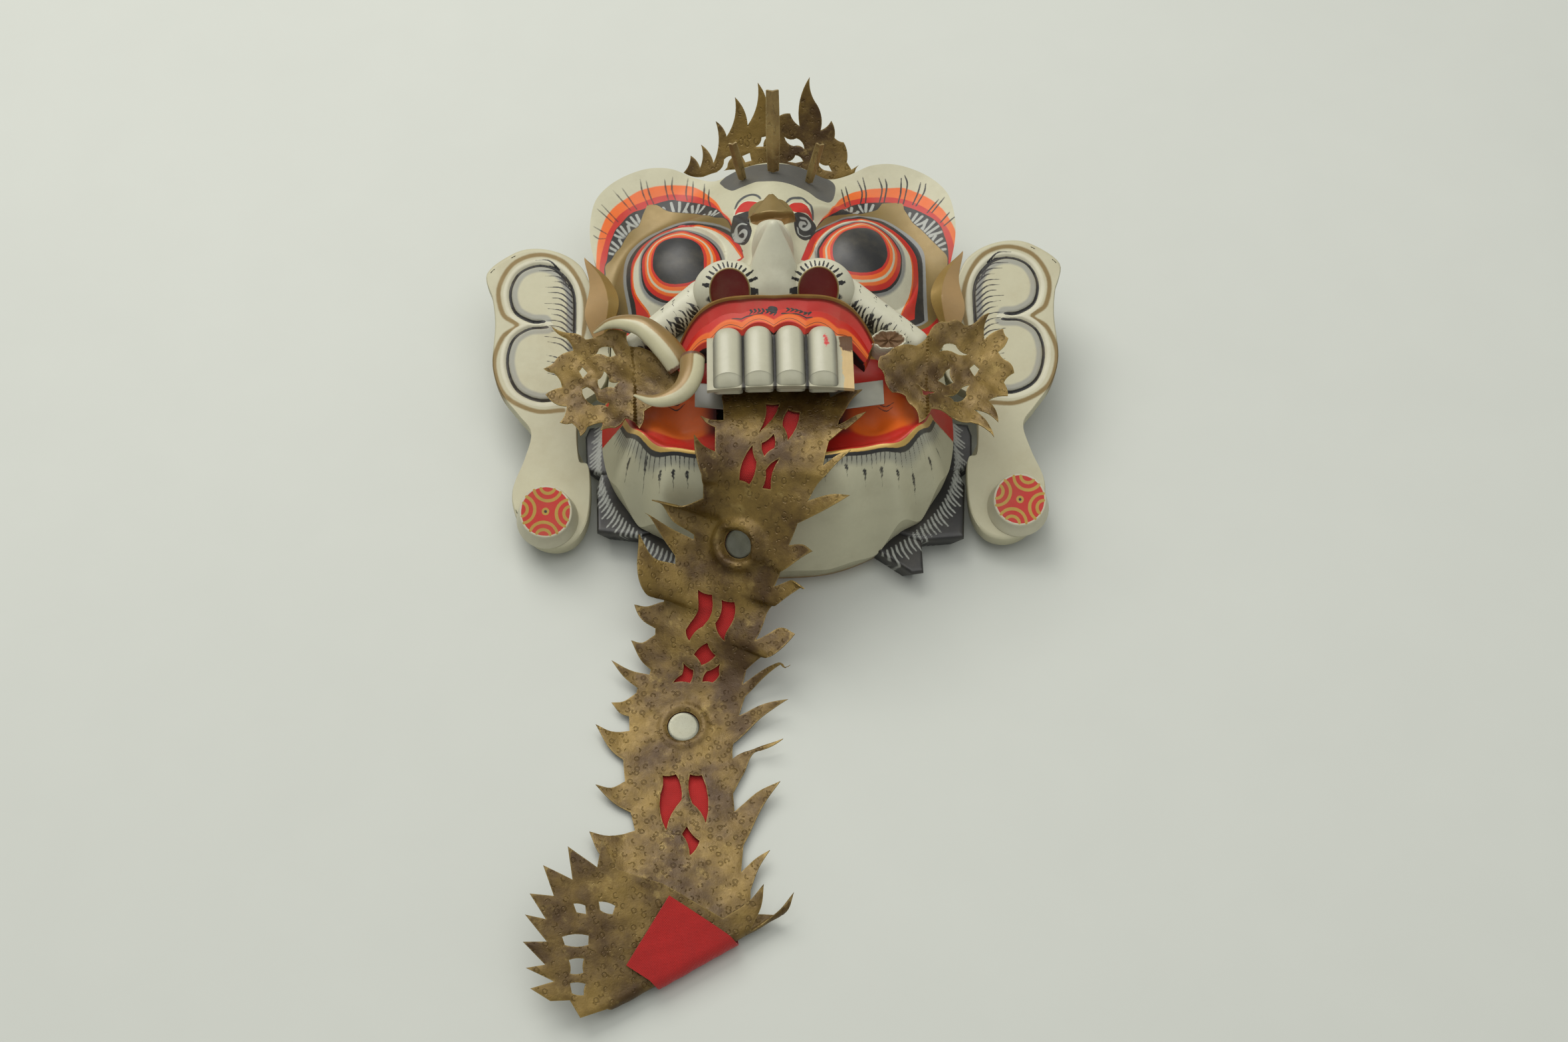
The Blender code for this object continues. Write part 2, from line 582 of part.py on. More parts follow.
def face():
    wood = material("painted_wood", (0.72, 0.70, 0.55), 0.45)
    made = face_front()
    half, low, high = MOUTH_HOLE
    hole = prism("mouth_hole", [(-half, low + 6), (-half * 0.7, low), (half * 0.7, low), (half, low + 6),
                                (half, high), (-half, high)], 20, 120)
    added = [jaw(), nose(), *teeth()]
    for side, eye in EYES.items():
        middle = (eye[0], eye[1], eye[2])
        added.append(ellipsoid(f"eye_{side}", middle, (*EYE_SIZE[:2], EYE_SIZE[2]), steps=(28, 14)))
    hollows = [face_hollow()]
    for side in (-1, 1):
        at = -1 + 26.5 * side
        added.append(ellipsoid(f"wing_{side}", (at + side, 97, 108), (22, 17, 21), math.radians(-20), (20, 12)))
        added.append(capsule(f"ridge_{side}", (-1 + 44 * side, 99, 101), (-1 + 86 * side, 71, 88), (11.0, 8.5)))
        hollows.append(ellipsoid(f"nostril_{side}", (at, 87, 126), (13.5, 9.6, 22), math.radians(-33), (20, 12)))
    added.append(capsule("stub_upper", (69, 67, 84), (68, 65, 97), (10.0, 8.0)))
    for name, (corners, tall) in LOCKS.items():
        added.append(prism(f"lock_{name}", corners, 0.0, tall, LOCK_FOOT))
    combine(made, [hole], "DIFFERENCE")
    combine(made, added, "UNION")
    combine(made, hollows, "DIFFERENCE")
    bake(made, [hole] + added + hollows)
    thin = made.modifiers.new("thin", "DECIMATE")
    thin.ratio = FACE_TRIANGLES / max(1, sum(len(p.vertices) - 2 for p in made.data.polygons))
    thin.use_collapse_triangulate = True
    bake(made, [])
    made.data.materials.clear()
    made.data.materials.append(wood)
    made.data.shade_smooth()
    made.data.set_sharp_from_angle(angle=math.radians(40))
    return made


# Ears, plugs, leaves and tusks

def on_ear(x, y, lift):
    """Point at the given plan place, lifted from the front plane of the ear board."""
    c, s = math.cos(EAR_TILT), math.sin(EAR_TILT)
    along = (y - EAR_ORIGIN[0]) / c
    return (x, EAR_ORIGIN[0] + along * c - lift * s, EAR_ORIGIN[1] + along * s + lift * c)


def ear(name, side, finish):
    edge = spline(EAR_RIGHT_EDGE, 2, closed=True)
    middle = np.array([142.0, 70.0])
    rings = []
    for lift, share in ((-EAR_THICK, 0.99), (-1.5, 1.0), (0.0, 0.975)):
        plan = middle + (edge - middle) * share
        rings.append([on_ear(side * x, y, lift) for x, y in plan])
    made = lofted(name, rings, finish, smooth=False)
    cutters = []
    for i, lobe in enumerate(GROOVES_RIGHT):
        path = spline(lobe, 2)
        tangent = np.gradient(path, axis=0)
        tangent /= np.linalg.norm(tangent, axis=1)[:, None]
        across = np.column_stack([-tangent[:, 1], tangent[:, 0]])
        rings = []
        for p, a in zip(path, across):
            ring = []
            for out, lift in ((-2, 1), (0, -1), (2, 1)):
                x, y = p + a * GROOVE_SIZE[0] * out
                ring.append(on_ear(side * x, y, lift * GROOVE_SIZE[1]))
            rings.append(ring)
        cutters.append(lofted(f"{name}_groove_{i}", rings))
    combine(made, cutters, "DIFFERENCE")
    bake(made, cutters)
    return made


def ear_plug(name, x, y, finish):
    theta = 2 * math.pi * np.arange(24) / 24
    base = [on_ear(x + PLUG[0] * math.cos(t), y + PLUG[0] * math.sin(t), GAP) for t in theta]
    middle = np.array(on_ear(x, y, GAP + PLUG[2]))
    c, s = math.cos(PLUG_TILT), math.sin(PLUG_TILT)
    rings = [base]
    for share, radius in ((0.82, PLUG[1]), (1.0, PLUG[1] - 0.8)):
        centre = np.array(on_ear(x, y, 0)) * (1 - share) + middle * share
        rings.append([centre + (radius * math.cos(t), radius * math.sin(t) * c, radius * math.sin(t) * s) for t in theta])
    return lofted(name, rings, finish)


def temple_leaf(name, side, finish):
    """Pointed leaf folded along its length."""
    tip = np.array([120, 152, 77])
    spine = [tip, np.array([109, 136, 75]), np.array([105, 120, 70]), np.array([109, 105, 53])]
    inner = [tip, np.array([104, 138, 70]), np.array([98.5, 121, 67]), np.array([107, 105, 54])]
    outer = [tip, np.array([117, 135, 69]), np.array([120, 117, 62]), np.array([114, 104, 52])]
    rings = []
    for i in range(4):
        mid, near, far = (np.array(v[i], float) for v in (spine, inner, outer))
        if i == 0:
            near, far = mid + (-0.6, -0.8, -0.4), mid + (0.2, -1.2, -0.4)
        under = np.array([0.0, 0.0, -1.5 if i else -0.6])
        ring = [near, mid, far, far + under, mid + under, near + under]
        rings.append([(side * p[0], p[1], p[2]) for p in ring])
    return lofted(name, rings, finish, smooth=False)


def tusk(name, path, root_cut, finish):
    """Curved tusk: round outside, flat inner face."""
    curve = spline(path, 2)
    middle, half = curve[:, :3], curve[:, 3]
    along = np.gradient(middle, axis=0)
    along /= np.linalg.norm(along, axis=1)[:, None]
    rings = []
    for p, t, h in zip(middle, along, half):
        side = np.cross(t, (0, 0, 1))
        side /= np.linalg.norm(side)
        up = np.cross(side, t)
        theta = np.linspace(0, 2 * math.pi, 12)[:-1]
        ring = [p + side * h * math.cos(a) + up * h * root_cut * max(math.sin(a), -0.9) for a in theta]
        rings.append(ring)
    return lofted(name, rings, finish)


# Cut leather

def in_polygon(points, polygon):
    """Which points lie inside the polygon."""
    x, y = points[:, 0], points[:, 1]
    inside = np.zeros(len(points), bool)
    for (x0, y0), (x1, y1) in zip(polygon, np.roll(polygon, -1, axis=0)):
        cross = (y0 > y) != (y1 > y)
        where = x0 + (y - y0) * (x1 - x0) / np.where(y1 == y0, 1e-9, y1 - y0)
        inside ^= cross & (x < where)
    return inside


def edge_distance(points, loops):
    """Distance of each point to the nearest edge of the loops."""
    best = np.full(len(points), 1e9)
    for loop in loops:
        for a, b in zip(loop, np.roll(loop, -1, axis=0)):
            d = b - a
            t = np.clip(((points - a) @ d) / max(d @ d, 1e-9), 0, 1)
            best = np.minimum(best, np.linalg.norm(points - (a + t[:, None] * d), axis=1))
    return best


def sheet(name, outline, holes, place, thickness, finish, spacing=14.0, extra=None, clear=0.42, folds=()):
    """Cut sheet: triangulates the flat outline with its holes, maps it with place and gives it thickness.

    Each fold is a straight chain of flat points that becomes edges of the sheet, so that it bends there cleanly.
    """
    loops = [np.asarray(outline, float)] + [np.asarray(h, float) for h in holes]
    low, high = loops[0].min(axis=0), loops[0].max(axis=0)
    gx, gy = np.meshgrid(np.arange(low[0], high[0], spacing), np.arange(low[1], high[1], spacing))
    grid = np.column_stack([gx.ravel(), gy.ravel()]) if extra is None else np.asarray(extra, float)
    keep = in_polygon(grid, loops[0]) & (edge_distance(grid, loops) > spacing * clear)
    for hole in loops[1:]:
        keep &= ~in_polygon(grid, hole)
    flat = np.vstack(loops + [np.asarray(f, float) for f in folds] + [grid[keep]])
    edges = []
    start = 0
    for loop in loops:
        edges += [(start + i, start + (i + 1) % len(loop)) for i in range(len(loop))]
        start += len(loop)
    for fold in folds:
        edges += [(start + i, start + i + 1) for i in range(len(fold) - 1)]
        start += len(fold)
    made = delaunay_2d_cdt([Vector(p) for p in flat], edges, [], 0, 1e-6)
    flat = np.array([tuple(v) for v in made[0]])
    faces = np.array([tuple(f) for f in made[2]])
    centre = flat[faces].mean(axis=1)
    inside = in_polygon(centre, loops[0])
    for hole in loops[1:]:
        inside &= ~in_polygon(centre, hole)
    faces = faces[inside]
    used, faces = np.unique(faces, return_inverse=True)
    flat, faces = flat[used], faces.reshape(-1, 3)
    step = 0.05
    middle = place(flat[:, 0], flat[:, 1])
    du = place(flat[:, 0] + step, flat[:, 1]) - middle
    dv = place(flat[:, 0], flat[:, 1] + step) - middle
    normal = np.cross(du, dv)
    normal /= np.linalg.norm(normal, axis=1)[:, None]
    area = flat[faces]
    turn = np.cross(area[:, 1] - area[:, 0], area[:, 2] - area[:, 0])
    faces[turn < 0] = faces[turn < 0][:, ::-1]
    n = len(flat)
    points = np.vstack([middle + normal * thickness / 2, middle - normal * thickness / 2])
    ends = np.vstack([faces[:, [0, 1]], faces[:, [1, 2]], faces[:, [2, 0]]])
    known = {tuple(e) for e in ends}
    border = [(a, b) for a, b in known if (b, a) not in known]
    shell = [tuple(f) for f in faces] + [tuple(f[::-1] + n) for f in faces]
    for a, b in border:
        shell += [(b, a, a + n), (b, a + n, b + n)]
    return add_mesh(name, points, outward(points, shell), finish)


def curved(loop, steps=2, sway=0.10):
    """The loop with each long side swayed into a soft arc, in and out by turns."""
    loop = np.asarray(loop, float)
    made = []
    for i, (a, b) in enumerate(zip(loop, np.roll(loop, -1, axis=0))):
        d = b - a
        bend = np.array([-d[1], d[0]]) * sway * (1 if i % 2 else -1)
        for t in np.arange(steps) / steps:
            made.append(a + d * t + bend * 4 * t * (1 - t) * (np.hypot(*d) > 6))
    return np.array(made)


def plane_frame(origin, normal):
    """Origin, sideways, upward and outward vectors of a tilted plane."""
    out = np.array(normal, float)
    out /= np.linalg.norm(out)
    up = np.array([0.0, 1.0, 0.0]) - out[1] * out
    up /= np.linalg.norm(up)
    return np.array(origin, float), np.cross(up, out), up, out


def crest(finish):
    normal = (0.0, -math.sin(CREST_LEAN), math.cos(CREST_LEAN))
    origin, side, up, out = plane_frame(CREST_BASE, normal)

    def place(a, b):
        curl = 0.0035 * np.clip(b - 5, 0, None) ** 2 - 0.0012 * a**2
        return origin + a[:, None] * side + b[:, None] * up + curl[:, None] * out

    return sheet("crest", curved(CREST_TIPS), CREST_HOLES, place, LEATHER, finish)


def spike(name, root, tip, half, finish):
    """Narrow strip folded into a V."""
    foot = np.array([*root, float(skin(np.array([root[0]]), np.array([root[1]]))[0]) + 1.2])
    tip = np.array(tip, float)
    along = (tip - foot) / np.linalg.norm(tip - foot)
    side = np.cross(along, (0, -1, 0.2))
    side /= np.linalg.norm(side)
    front = np.cross(side, along)
    rings = []
    for share, wide in ((0, 0.8), (0.35, 1.0), (0.8, 0.95), (1.0, 0.9)):
        p = foot + (tip - foot) * share
        w = half * wide
        rings.append([
            p - side * w, p + front * w * 0.7, p + side * w,
            p + side * (w - 0.9) - front * 0.9, p + front * (w * 0.7 - 1.5), p - side * (w - 0.9) - front * 0.9,
        ])
    return lofted(name, rings, finish, smooth=False)


def rosette(name, sizes, finish):
    origin, side, up, out = plane_frame(sizes["origin"], sizes["normal"])

    def place(a, b):
        away = np.hypot(a, b)
        cup = 0.0042 * np.clip(away, 0, 45) ** 2 * np.where(a * np.sign(origin[0]) < -22, 0.35, 1.0)
        wave = 1.3 * np.sin(5 * np.arctan2(b, a)) * np.clip(away / 30, 0, 1)
        return origin + a[:, None] * side + b[:, None] * up + (cup + wave)[:, None] * out

    return sheet(name, curved(sizes["tips"]), sizes["holes"], place, LEATHER, finish)


# Tongue

def along_path():
    """Even samples of the strip's middle line: distance, points and directions."""
    curve = spline(TONGUE_PATH, 24)
    run = np.concatenate([[0], np.cumsum(np.linalg.norm(np.diff(curve, axis=0), axis=1))])
    even = np.arange(0, run[-1], 1.0)
    points = np.column_stack([np.interp(even, run, curve[:, k]) for k in range(3)])
    ahead = np.gradient(points, axis=0)
    return even, points, ahead / np.linalg.norm(ahead, axis=1)[:, None]


PATH = along_path()


def fold_over(points, out, lift):
    """Rolls what lies past the crease over a small radius and back up over the strip, then adds the lift."""
    a, b = np.array(CREASE[0]), np.array(CREASE[1])
    line = (b - a) / np.linalg.norm(b - a)
    past = np.array([line[1], -line[0]])
    if past[1] > 0:
        past = -past
    s = (points[:, :2] - a) @ past
    t = (points[:, :2] - a) @ line
    r = CREASE_RADIUS
    turn = math.pi - CREASE_OPEN
    theta = np.clip(s / r, 0, turn)
    beyond = np.clip(s - turn * r, 0, None)
    across = np.where(s > 0, r * np.sin(theta) - beyond * math.cos(CREASE_OPEN), s)
    rise = np.where(s > 0, r * (1 - np.cos(theta)) + beyond * math.sin(CREASE_OPEN), 0.0)
    xy = a + t[:, None] * line + across[:, None] * past
    turned = np.column_stack([-np.sin(theta)[:, None] * past, np.cos(theta)])
    normal = np.where((s > 0)[:, None], turned, out)
    return np.column_stack([xy, points[:, 2] + rise]) + normal * np.asarray(lift, float).reshape(-1, 1)


def strip_place(t, w, lift=0.0):
    """Point of the strip at a distance along and across, lifted off its plane."""
    even, points, ahead = PATH
    p = np.column_stack([np.interp(t, even, points[:, k]) for k in range(3)])
    d = np.column_stack([np.interp(t, even, ahead[:, k]) for k in range(3)])
    side = np.column_stack([-d[:, 1], d[:, 0], np.zeros(len(d))])
    side /= np.linalg.norm(side, axis=1)[:, None]
    out = np.cross(d, side)
    return fold_over(p + side * np.asarray(w, float)[:, None], out, lift)


def tongue_relief(t, w):
    """Raised cup round the upper glass and low ring round the lower one."""
    cup = np.hypot(t - BOSS[0], w - BOSS[1])
    low = MIRRORS["mirror_lower"]
    ring = np.hypot(t - low[0], w - low[1])
    lift = BOSS[3] * np.exp(-(((cup - 13.5) / 3.5) ** 2))
    lift = lift + 1.6 * np.exp(-(((ring - 12.5) / 2.6) ** 2))
    curl = np.clip(np.abs(w) - 36, 0, None) * 0.22 * ((t > 36) & (t < 350))
    clear = np.clip(-w - 18, 0, None) * 0.45 * smoothstep(50, 70, t) * (1 - smoothstep(150, 175, t))
    return lift + curl + clear


def rib_places():
    """Distances along the strip of its cross rows: close where it bends, wide where it lies flat."""
    return np.concatenate([np.arange(12, 180, 7.0), np.arange(180, 340, 14.0)])


def crease_rows(reach, count=4):
    """Flat chains along the crease, close together where the strip rolls over."""
    slope = (CREASE[1][1] - CREASE[0][1]) / (CREASE[1][0] - CREASE[0][0])
    start = np.interp(-280.0, -PATH[1][::-1, 1] * -1, PATH[0][::-1])
    roll = CREASE_RADIUS * (math.pi - CREASE_OPEN)
    rows = []
    for s in (0.0, roll * 0.25, roll * 0.5, roll * 0.75, roll):
        w = np.linspace(-reach, reach, count)
        y = CREASE[0][1] + slope * (w - 57 - CREASE[0][0]) - s / math.cos(math.atan(slope))
        rows.append(np.column_stack([start - 280.0 - y, w]))
    return rows


def tongue(finish):
    outline = []
    for start, tip, end in FLAMES_LEFT + [(p, None, None) for p in FAN] + FLAMES_RIGHT:
        start = np.array(start, float)
        outline.append(start)
        if tip is None:
            continue
        tip, end = np.array(tip, float), np.array(end, float)
        upper = start + (tip - start) * 0.5 + (end - start) * 0.14
        lower = end + (tip - end) * 0.5 + (end - start) * 0.12
        outline += [upper, tip, lower, end]
    outline += [np.array(p, float) for p in TONGUE_TOP]
    holes = list(CUTS)
    low = MIRRORS["mirror_lower"]
    theta = np.arange(12) * math.pi / 6
    for at in MIRRORS.values():
        radius = at[2] + GAP
        holes.append([(at[0] + radius * math.cos(a), at[1] + radius * math.sin(a)) for a in theta])

    def place(t, w):
        return strip_place(t, w, tongue_relief(t, w))

    rows = [(t, w) for t in rib_places() if t < 180 for w in (-27.0, -18.5, -9.0, 0.0, 9.0, 18.5, 27.0)]
    rows += [(t, w) for t in np.arange(186, 330, 16.0) for w in (-20.0, 0.0, 20.0)]
    rim = [(BOSS[0] + r * math.cos(a), BOSS[1] + r * math.sin(a)) for r in (13.5, 18.0) for a in theta]
    rim += [(low[0] + r * math.cos(a), low[1] + r * math.sin(a)) for r in (12.5, 16.0) for a in theta]
    rows = np.array(rows)
    for at in MIRRORS.values():
        rows = rows[np.hypot(rows[:, 0] - at[0], rows[:, 1] - at[1]) > 21]
    flap = [(t, w) for t in np.arange(400, 470, 16.0) for w in (-24.0, -8.0, 8.0)]
    extra = np.vstack([rows, np.array(rim), np.array(flap)])
    return sheet("tongue", np.array(outline), holes, place, LEATHER, finish, 6.0, extra, 0.3, crease_rows(80.0))


def lining(finish):
    start, end, near, far = LINING
    rows = rib_places()
    rows = rows[rows > start + 2]
    outline = [(start, far)] + [(t, far) for t in rows] + [(end, far), (end, near)]
    outline += [(t, near) for t in rows[::-1]] + [(start, near)]
    inner = np.array([(t, w) for t in rows for w in (-3.0, 12.0)])

    def place(t, w):
        return strip_place(t, w, np.full(len(t), -LINING_DROP))

    return sheet("tongue_lining", np.array(outline), [], place, 0.8, finish, 4.0, inner, 0.3, crease_rows(80.0))


def mirror(name, at, finish):
    theta = np.arange(20) * math.pi / 10
    rings = []
    for lift in (-0.6, 0.5):
        t = at[0] + at[2] * np.cos(theta)
        w = at[1] + at[2] * np.sin(theta)
        rings.append(strip_place(t, w, np.full(20, lift + at[3] * 0.1)))
    return lofted(name, rings, finish)


def mouth_strip(finish):
    """Stiff pale strip behind the teeth that carries the leather."""
    curve = spline([(-50, 34, 89), (-20, 29, 91), (8, 27, 91.5), (36, 29, 90.5), (64, 35, 87)], 4)
    rings = [[p + (0, -9, -0.5), p + (0, 9, -0.5), p + (0, 9, 0.5), p + (0, -9, 0.5)] for p in curve]
    return lofted("mouth_strip", rings, finish)


def to_origin():
    """Moves every node so that the origin is under the middle of the whole, on the table."""
    nodes = [o for o in bpy.data.objects if o.type == "MESH" and not o.hide_render]
    cloud = np.vstack([np.array([tuple(v.co) for v in o.data.vertices]) for o in nodes])
    low, high = cloud.min(axis=0), cloud.max(axis=0)
    move = Vector((-(low[0] + high[0]) / 2, -(low[1] + high[1]) / 2, -low[2]))
    for node in nodes:
        for vertex in node.data.vertices:
            vertex.co += move


def main():
    for old in list(bpy.data.objects):
        bpy.data.objects.remove(old)
    cream = material("ear_paint", (0.66, 0.66, 0.50), 0.5)
    gold = material("gilded_leather", (0.42, 0.30, 0.10), 0.42, 0.65)
    disc = material("plug_paint", (0.70, 0.08, 0.05), 0.5)
    face()
    for side, word in ((-1, "left"), (1, "right")):
        ear(f"ear_{word}", side, cream)
        ear_plug(f"ear_plug_{word}", *PLUG_AT[word], disc)
        temple_leaf(f"temple_leaf_{word}", side, material(f"leaf_gilding_{word}", (0.50, 0.34, 0.15), 0.45, 0.4))
    horn = material("tusk_paint", (0.68, 0.65, 0.48), 0.4)
    tusk("tusk_upper", UPPER_TUSK, 0.72, horn)
    tusk("tusk_lower", LOWER_TUSK, 0.8, horn)
    crest(gold)
    for name, (root, tip, half) in SPIKES.items():
        spike(name, root, tip, half, gold)
    rosette("rosette_left", ROSETTE_LEFT, gold)
    rosette("rosette_right", ROSETTE_RIGHT, gold)
    tongue(gold)
    lining(material("red_cloth", (0.62, 0.04, 0.04), 0.9))
    glass = material("mirror_glass", (0.75, 0.78, 0.80), 0.12, 0.9)
    for name, at in MIRRORS.items():
        mirror(name, at, glass)
    mouth_strip(material("pale_strip", (0.60, 0.62, 0.58), 0.2))
    to_origin()


main()
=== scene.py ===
"""Looks of a carved and painted demon mask with a tongue of gilded leather.

Shapes are worked out in millimetres in the carver's frame: x to the viewer's right, y to the crown and
z out of the face, with the rear rim at z = 0. `to_row` takes them to the row's metres.
"""

import logging
import math
from collections.abc import Callable, Sequence
from dataclasses import dataclass, field
from enum import Enum

import bpy
import numpy as np
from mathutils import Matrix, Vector
from mathutils.geometry import delaunay_2d_cdt


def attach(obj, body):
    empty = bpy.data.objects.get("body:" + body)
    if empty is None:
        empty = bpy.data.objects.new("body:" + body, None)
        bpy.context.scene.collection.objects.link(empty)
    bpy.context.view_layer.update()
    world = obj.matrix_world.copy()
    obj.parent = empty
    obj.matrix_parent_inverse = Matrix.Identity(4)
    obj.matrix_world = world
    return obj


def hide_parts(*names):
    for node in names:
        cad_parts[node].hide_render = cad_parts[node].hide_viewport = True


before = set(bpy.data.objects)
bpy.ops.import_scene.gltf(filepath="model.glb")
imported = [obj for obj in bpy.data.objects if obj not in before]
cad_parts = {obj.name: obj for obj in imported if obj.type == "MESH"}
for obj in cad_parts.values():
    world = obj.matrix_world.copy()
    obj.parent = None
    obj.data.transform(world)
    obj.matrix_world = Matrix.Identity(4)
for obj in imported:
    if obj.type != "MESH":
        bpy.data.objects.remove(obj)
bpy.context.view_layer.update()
LOG = logging.getLogger("mask")

Array = np.ndarray
Colour = tuple[float, float, float]
Point = tuple[float, ...]
MM = 0.001
ROW_SHIFT = 27.03                     # the row's origin lies this far below the carver's, along y
WALL = 11.0
GAP = 0.35
LEATHER = 1.4
SHARP_ANGLE = math.radians(48)

FACE_MIDDLE = (0.0, 95.0)
RIM_INSET = 0.955
FACE_RIGHT_EDGE = [
    (0, 232), (20, 231), (36, 227), (49, 230), (66, 236), (84, 236), (102, 228), (114, 214), (118, 197),
    (118, 179), (114, 160), (107, 140), (104, 118), (104, 95), (106, 70), (109, 45), (108, 24), (101, 2),
    (86, -17), (62, -34), (34, -46), (0, -49),
]
SKIN_HEIGHTS = [
    (0, 230, 74), (0, 214, 82), (0, 190, 90), (0, 163, 97), (0, 130, 102), (0, 95, 102), (0, 62, 98),
    (0, 30, 84), (0, 4, 82), (0, -14, 86), (0, -28, 78), (0, -40, 54), (0, -48, 22), (36, 225, 62),
    (34, 205, 72), (34, 180, 76), (30, 155, 80), (66, 235, 64), (100, 227, 62), (117, 196, 62),
    (116, 165, 58), (105, 138, 54), (103, 105, 50), (105, 70, 46), (108, 40, 42), (104, 12, 36),
    (86, -15, 26), (60, -33, 22), (30, -46, 20), (60, 212, 58), (92, 198, 56), (98, 165, 56), (92, 130, 58),
    (56, 143, 62), (80, 108, 64), (84, 85, 72), (55, 90, 88), (80, 55, 78), (85, 25, 76), (60, 20, 74),
    (84, 0, 82), (60, -8, 86), (30, -12, 86), (70, -22, 66), (40, -30, 70), (96, -2, 52),
]
EYE_SIZE = (34.0, 39.0, 31.0)
EYE_APRON = (0.8, 41.3)               # where the ball's curve turns to a straight slope, and the slope's fall
EYES = {"left": (-56.0, 141.0, 61.0), "right": (49.0, 144.0, 61.0)}
BROW_BAND = (1.22, 0.13, 4.0)
LIP_LINE = [(0, -12), (24, -12), (46, -10), (59, -7.5), (70, -6), (80, 1.5), (88, 14), (94, 32)]
LIP_RIDGE = (5.0, 4.6)
MOUTH_SINK = 6.0
ORNAMENT = [(-1, 189), (-15, 167), (13, 166)]
ORNAMENT_HEIGHT = 5.0
MOUTH_HOLE = [(-38, 19), (-26.6, 13), (26.6, 13), (38, 19), (38, 44), (-38, 44)]


def srgb(red: int, green: int, blue: int) -> Colour:
    """Linear colour of screen values from 0 to 255."""
    values = np.array([red, green, blue]) / 255
    linear = np.where(values <= 0.04045, values / 12.92, ((values + 0.055) / 1.055) ** 2.4)
    return tuple(float(v) for v in linear)


# Shape helpers

def to_row(points: Array) -> Array:
    """Metres in the row's frame from millimetres in the carver's."""
    return (np.asarray(points, float) + (0.0, ROW_SHIFT, 0.0)) * MM


def smoothstep(low: float, high: float, value: Array) -> Array:
    """Smooth rise from 0 at low to 1 at high: 3t^2 - 2t^3."""
    t = np.clip((value - low) / (high - low), 0.0, 1.0)
    return t * t * (3 - 2 * t)


def spline(points: Sequence[Point], steps: int, closed: bool = False) -> Array:
    """Catmull-Rom curve: each span blends its two ends with the slopes through their neighbours.

    Args:
        points: places that the curve passes.
        steps: samples in each span.
        closed: joins the last point to the first.

    Returns:
        The samples, one a row.
    """
    p = np.asarray(points, float)
    n = len(p)
    if closed:
        index = np.arange(n)
        before, start, end, after = p[(index - 1) % n], p[index], p[(index + 1) % n], p[(index + 2) % n]
    else:
        padded = np.vstack([2 * p[0] - p[1], p, 2 * p[-1] - p[-2]])
        before, start, end, after = padded[:-3], padded[1:-2], padded[2:-1], padded[3:]
    t = (np.arange(steps) / steps)[None, :, None]
    before, start, end, after = (v[:, None, :] for v in (before, start, end, after))
    curve = 0.5 * (
        2 * start + (end - before) * t + (2 * before - 5 * start + 4 * end - after) * t**2
        + (3 * start - before - 3 * end + after) * t**3
    )
    curve = curve.reshape(-1, p.shape[1])
    return curve if closed else np.vstack([curve, p[-1]])


def chain_distance(x: Array, y: Array, chain: Array) -> Array:
    """Distance of each point to the nearest straight piece of an open chain."""
    best = np.full(np.shape(x), 1e9)
    for a, b in zip(chain[:-1], chain[1:]):
        d = b - a
        t = np.clip(((x - a[0]) * d[0] + (y - a[1]) * d[1]) / max(d @ d, 1e-9), 0, 1)
        best = np.minimum(best, np.hypot(x - a[0] - t * d[0], y - a[1] - t * d[1]))
    return best


def inside_loop(x: Array, y: Array, loop: Array) -> Array:
    """Whether each point is inside the loop: there, a ray to the right crosses it an odd number of times."""
    inside = np.zeros(np.shape(x), bool)
    for (x0, y0), (x1, y1) in zip(loop, np.roll(loop, -1, axis=0)):
        cross = (y0 > y) != (y1 > y)
        inside ^= cross & (x < x0 + (y - y0) * (x1 - x0) / (y1 - y0 if y1 != y0 else 1e-9))
    return inside


def region_field(x: Array, y: Array, loop: Array, reach: float = 6.0) -> Array:
    """Signed distance to a loop's edge, negative inside and no more than reach outside it.

    Args:
        x: first coordinates.
        y: second coordinates.
        loop: corners of the closed loop.
        reach: value kept beyond this distance.

    Returns:
        The distances.
    """
    result = np.full(np.shape(x), reach)
    low, high = loop.min(axis=0) - reach, loop.max(axis=0) + reach
    near = (x > low[0]) & (x < high[0]) & (y > low[1]) & (y < high[1])
    px, py = x[near], y[near]
    away = chain_distance(px, py, np.vstack([loop, loop[:1]]))
    result[near] = np.minimum(np.where(inside_loop(px, py, loop), -away, away), reach)
    return result


def stroke_field(x: Array, y: Array, strokes: Sequence[Array], half: float,
                 ends: tuple[float, float] = (1.0, 0.35), reach: float = 3.0) -> Array:
    """Signed distance to the nearest brush stroke: distance to its middle line less its half width there.

    Args:
        x: first coordinates.
        y: second coordinates.
        strokes: middle lines of the strokes.
        half: half of a stroke's width.
        ends: share of that width at the first and the last point.
        reach: value kept beyond this distance.

    Returns:
        The distances, negative under a stroke.
    """
    result = np.full(np.shape(x), reach)
    for line in strokes:
        low, high = line.min(axis=0) - reach, line.max(axis=0) + reach
        near = np.nonzero((x > low[0]) & (x < high[0]) & (y > low[1]) & (y < high[1]))[0]
        if not len(near):
            continue
        px, py = x[near], y[near]
        wide = half * np.interp(np.linspace(0, 1, len(line)), (0, 0.35, 1), (ends[0], 1.0, ends[1]))
        best = np.full(len(near), reach)
        for a, b, wa, wb in zip(line[:-1], line[1:], wide[:-1], wide[1:]):
            d = b - a
            t = np.clip(((px - a[0]) * d[0] + (py - a[1]) * d[1]) / max(d @ d, 1e-9), 0, 1)
            best = np.minimum(best, np.hypot(px - a[0] - t * d[0], py - a[1] - t * d[1]) - wa - (wb - wa) * t)
        result[near] = np.minimum(result[near], best)
    return result


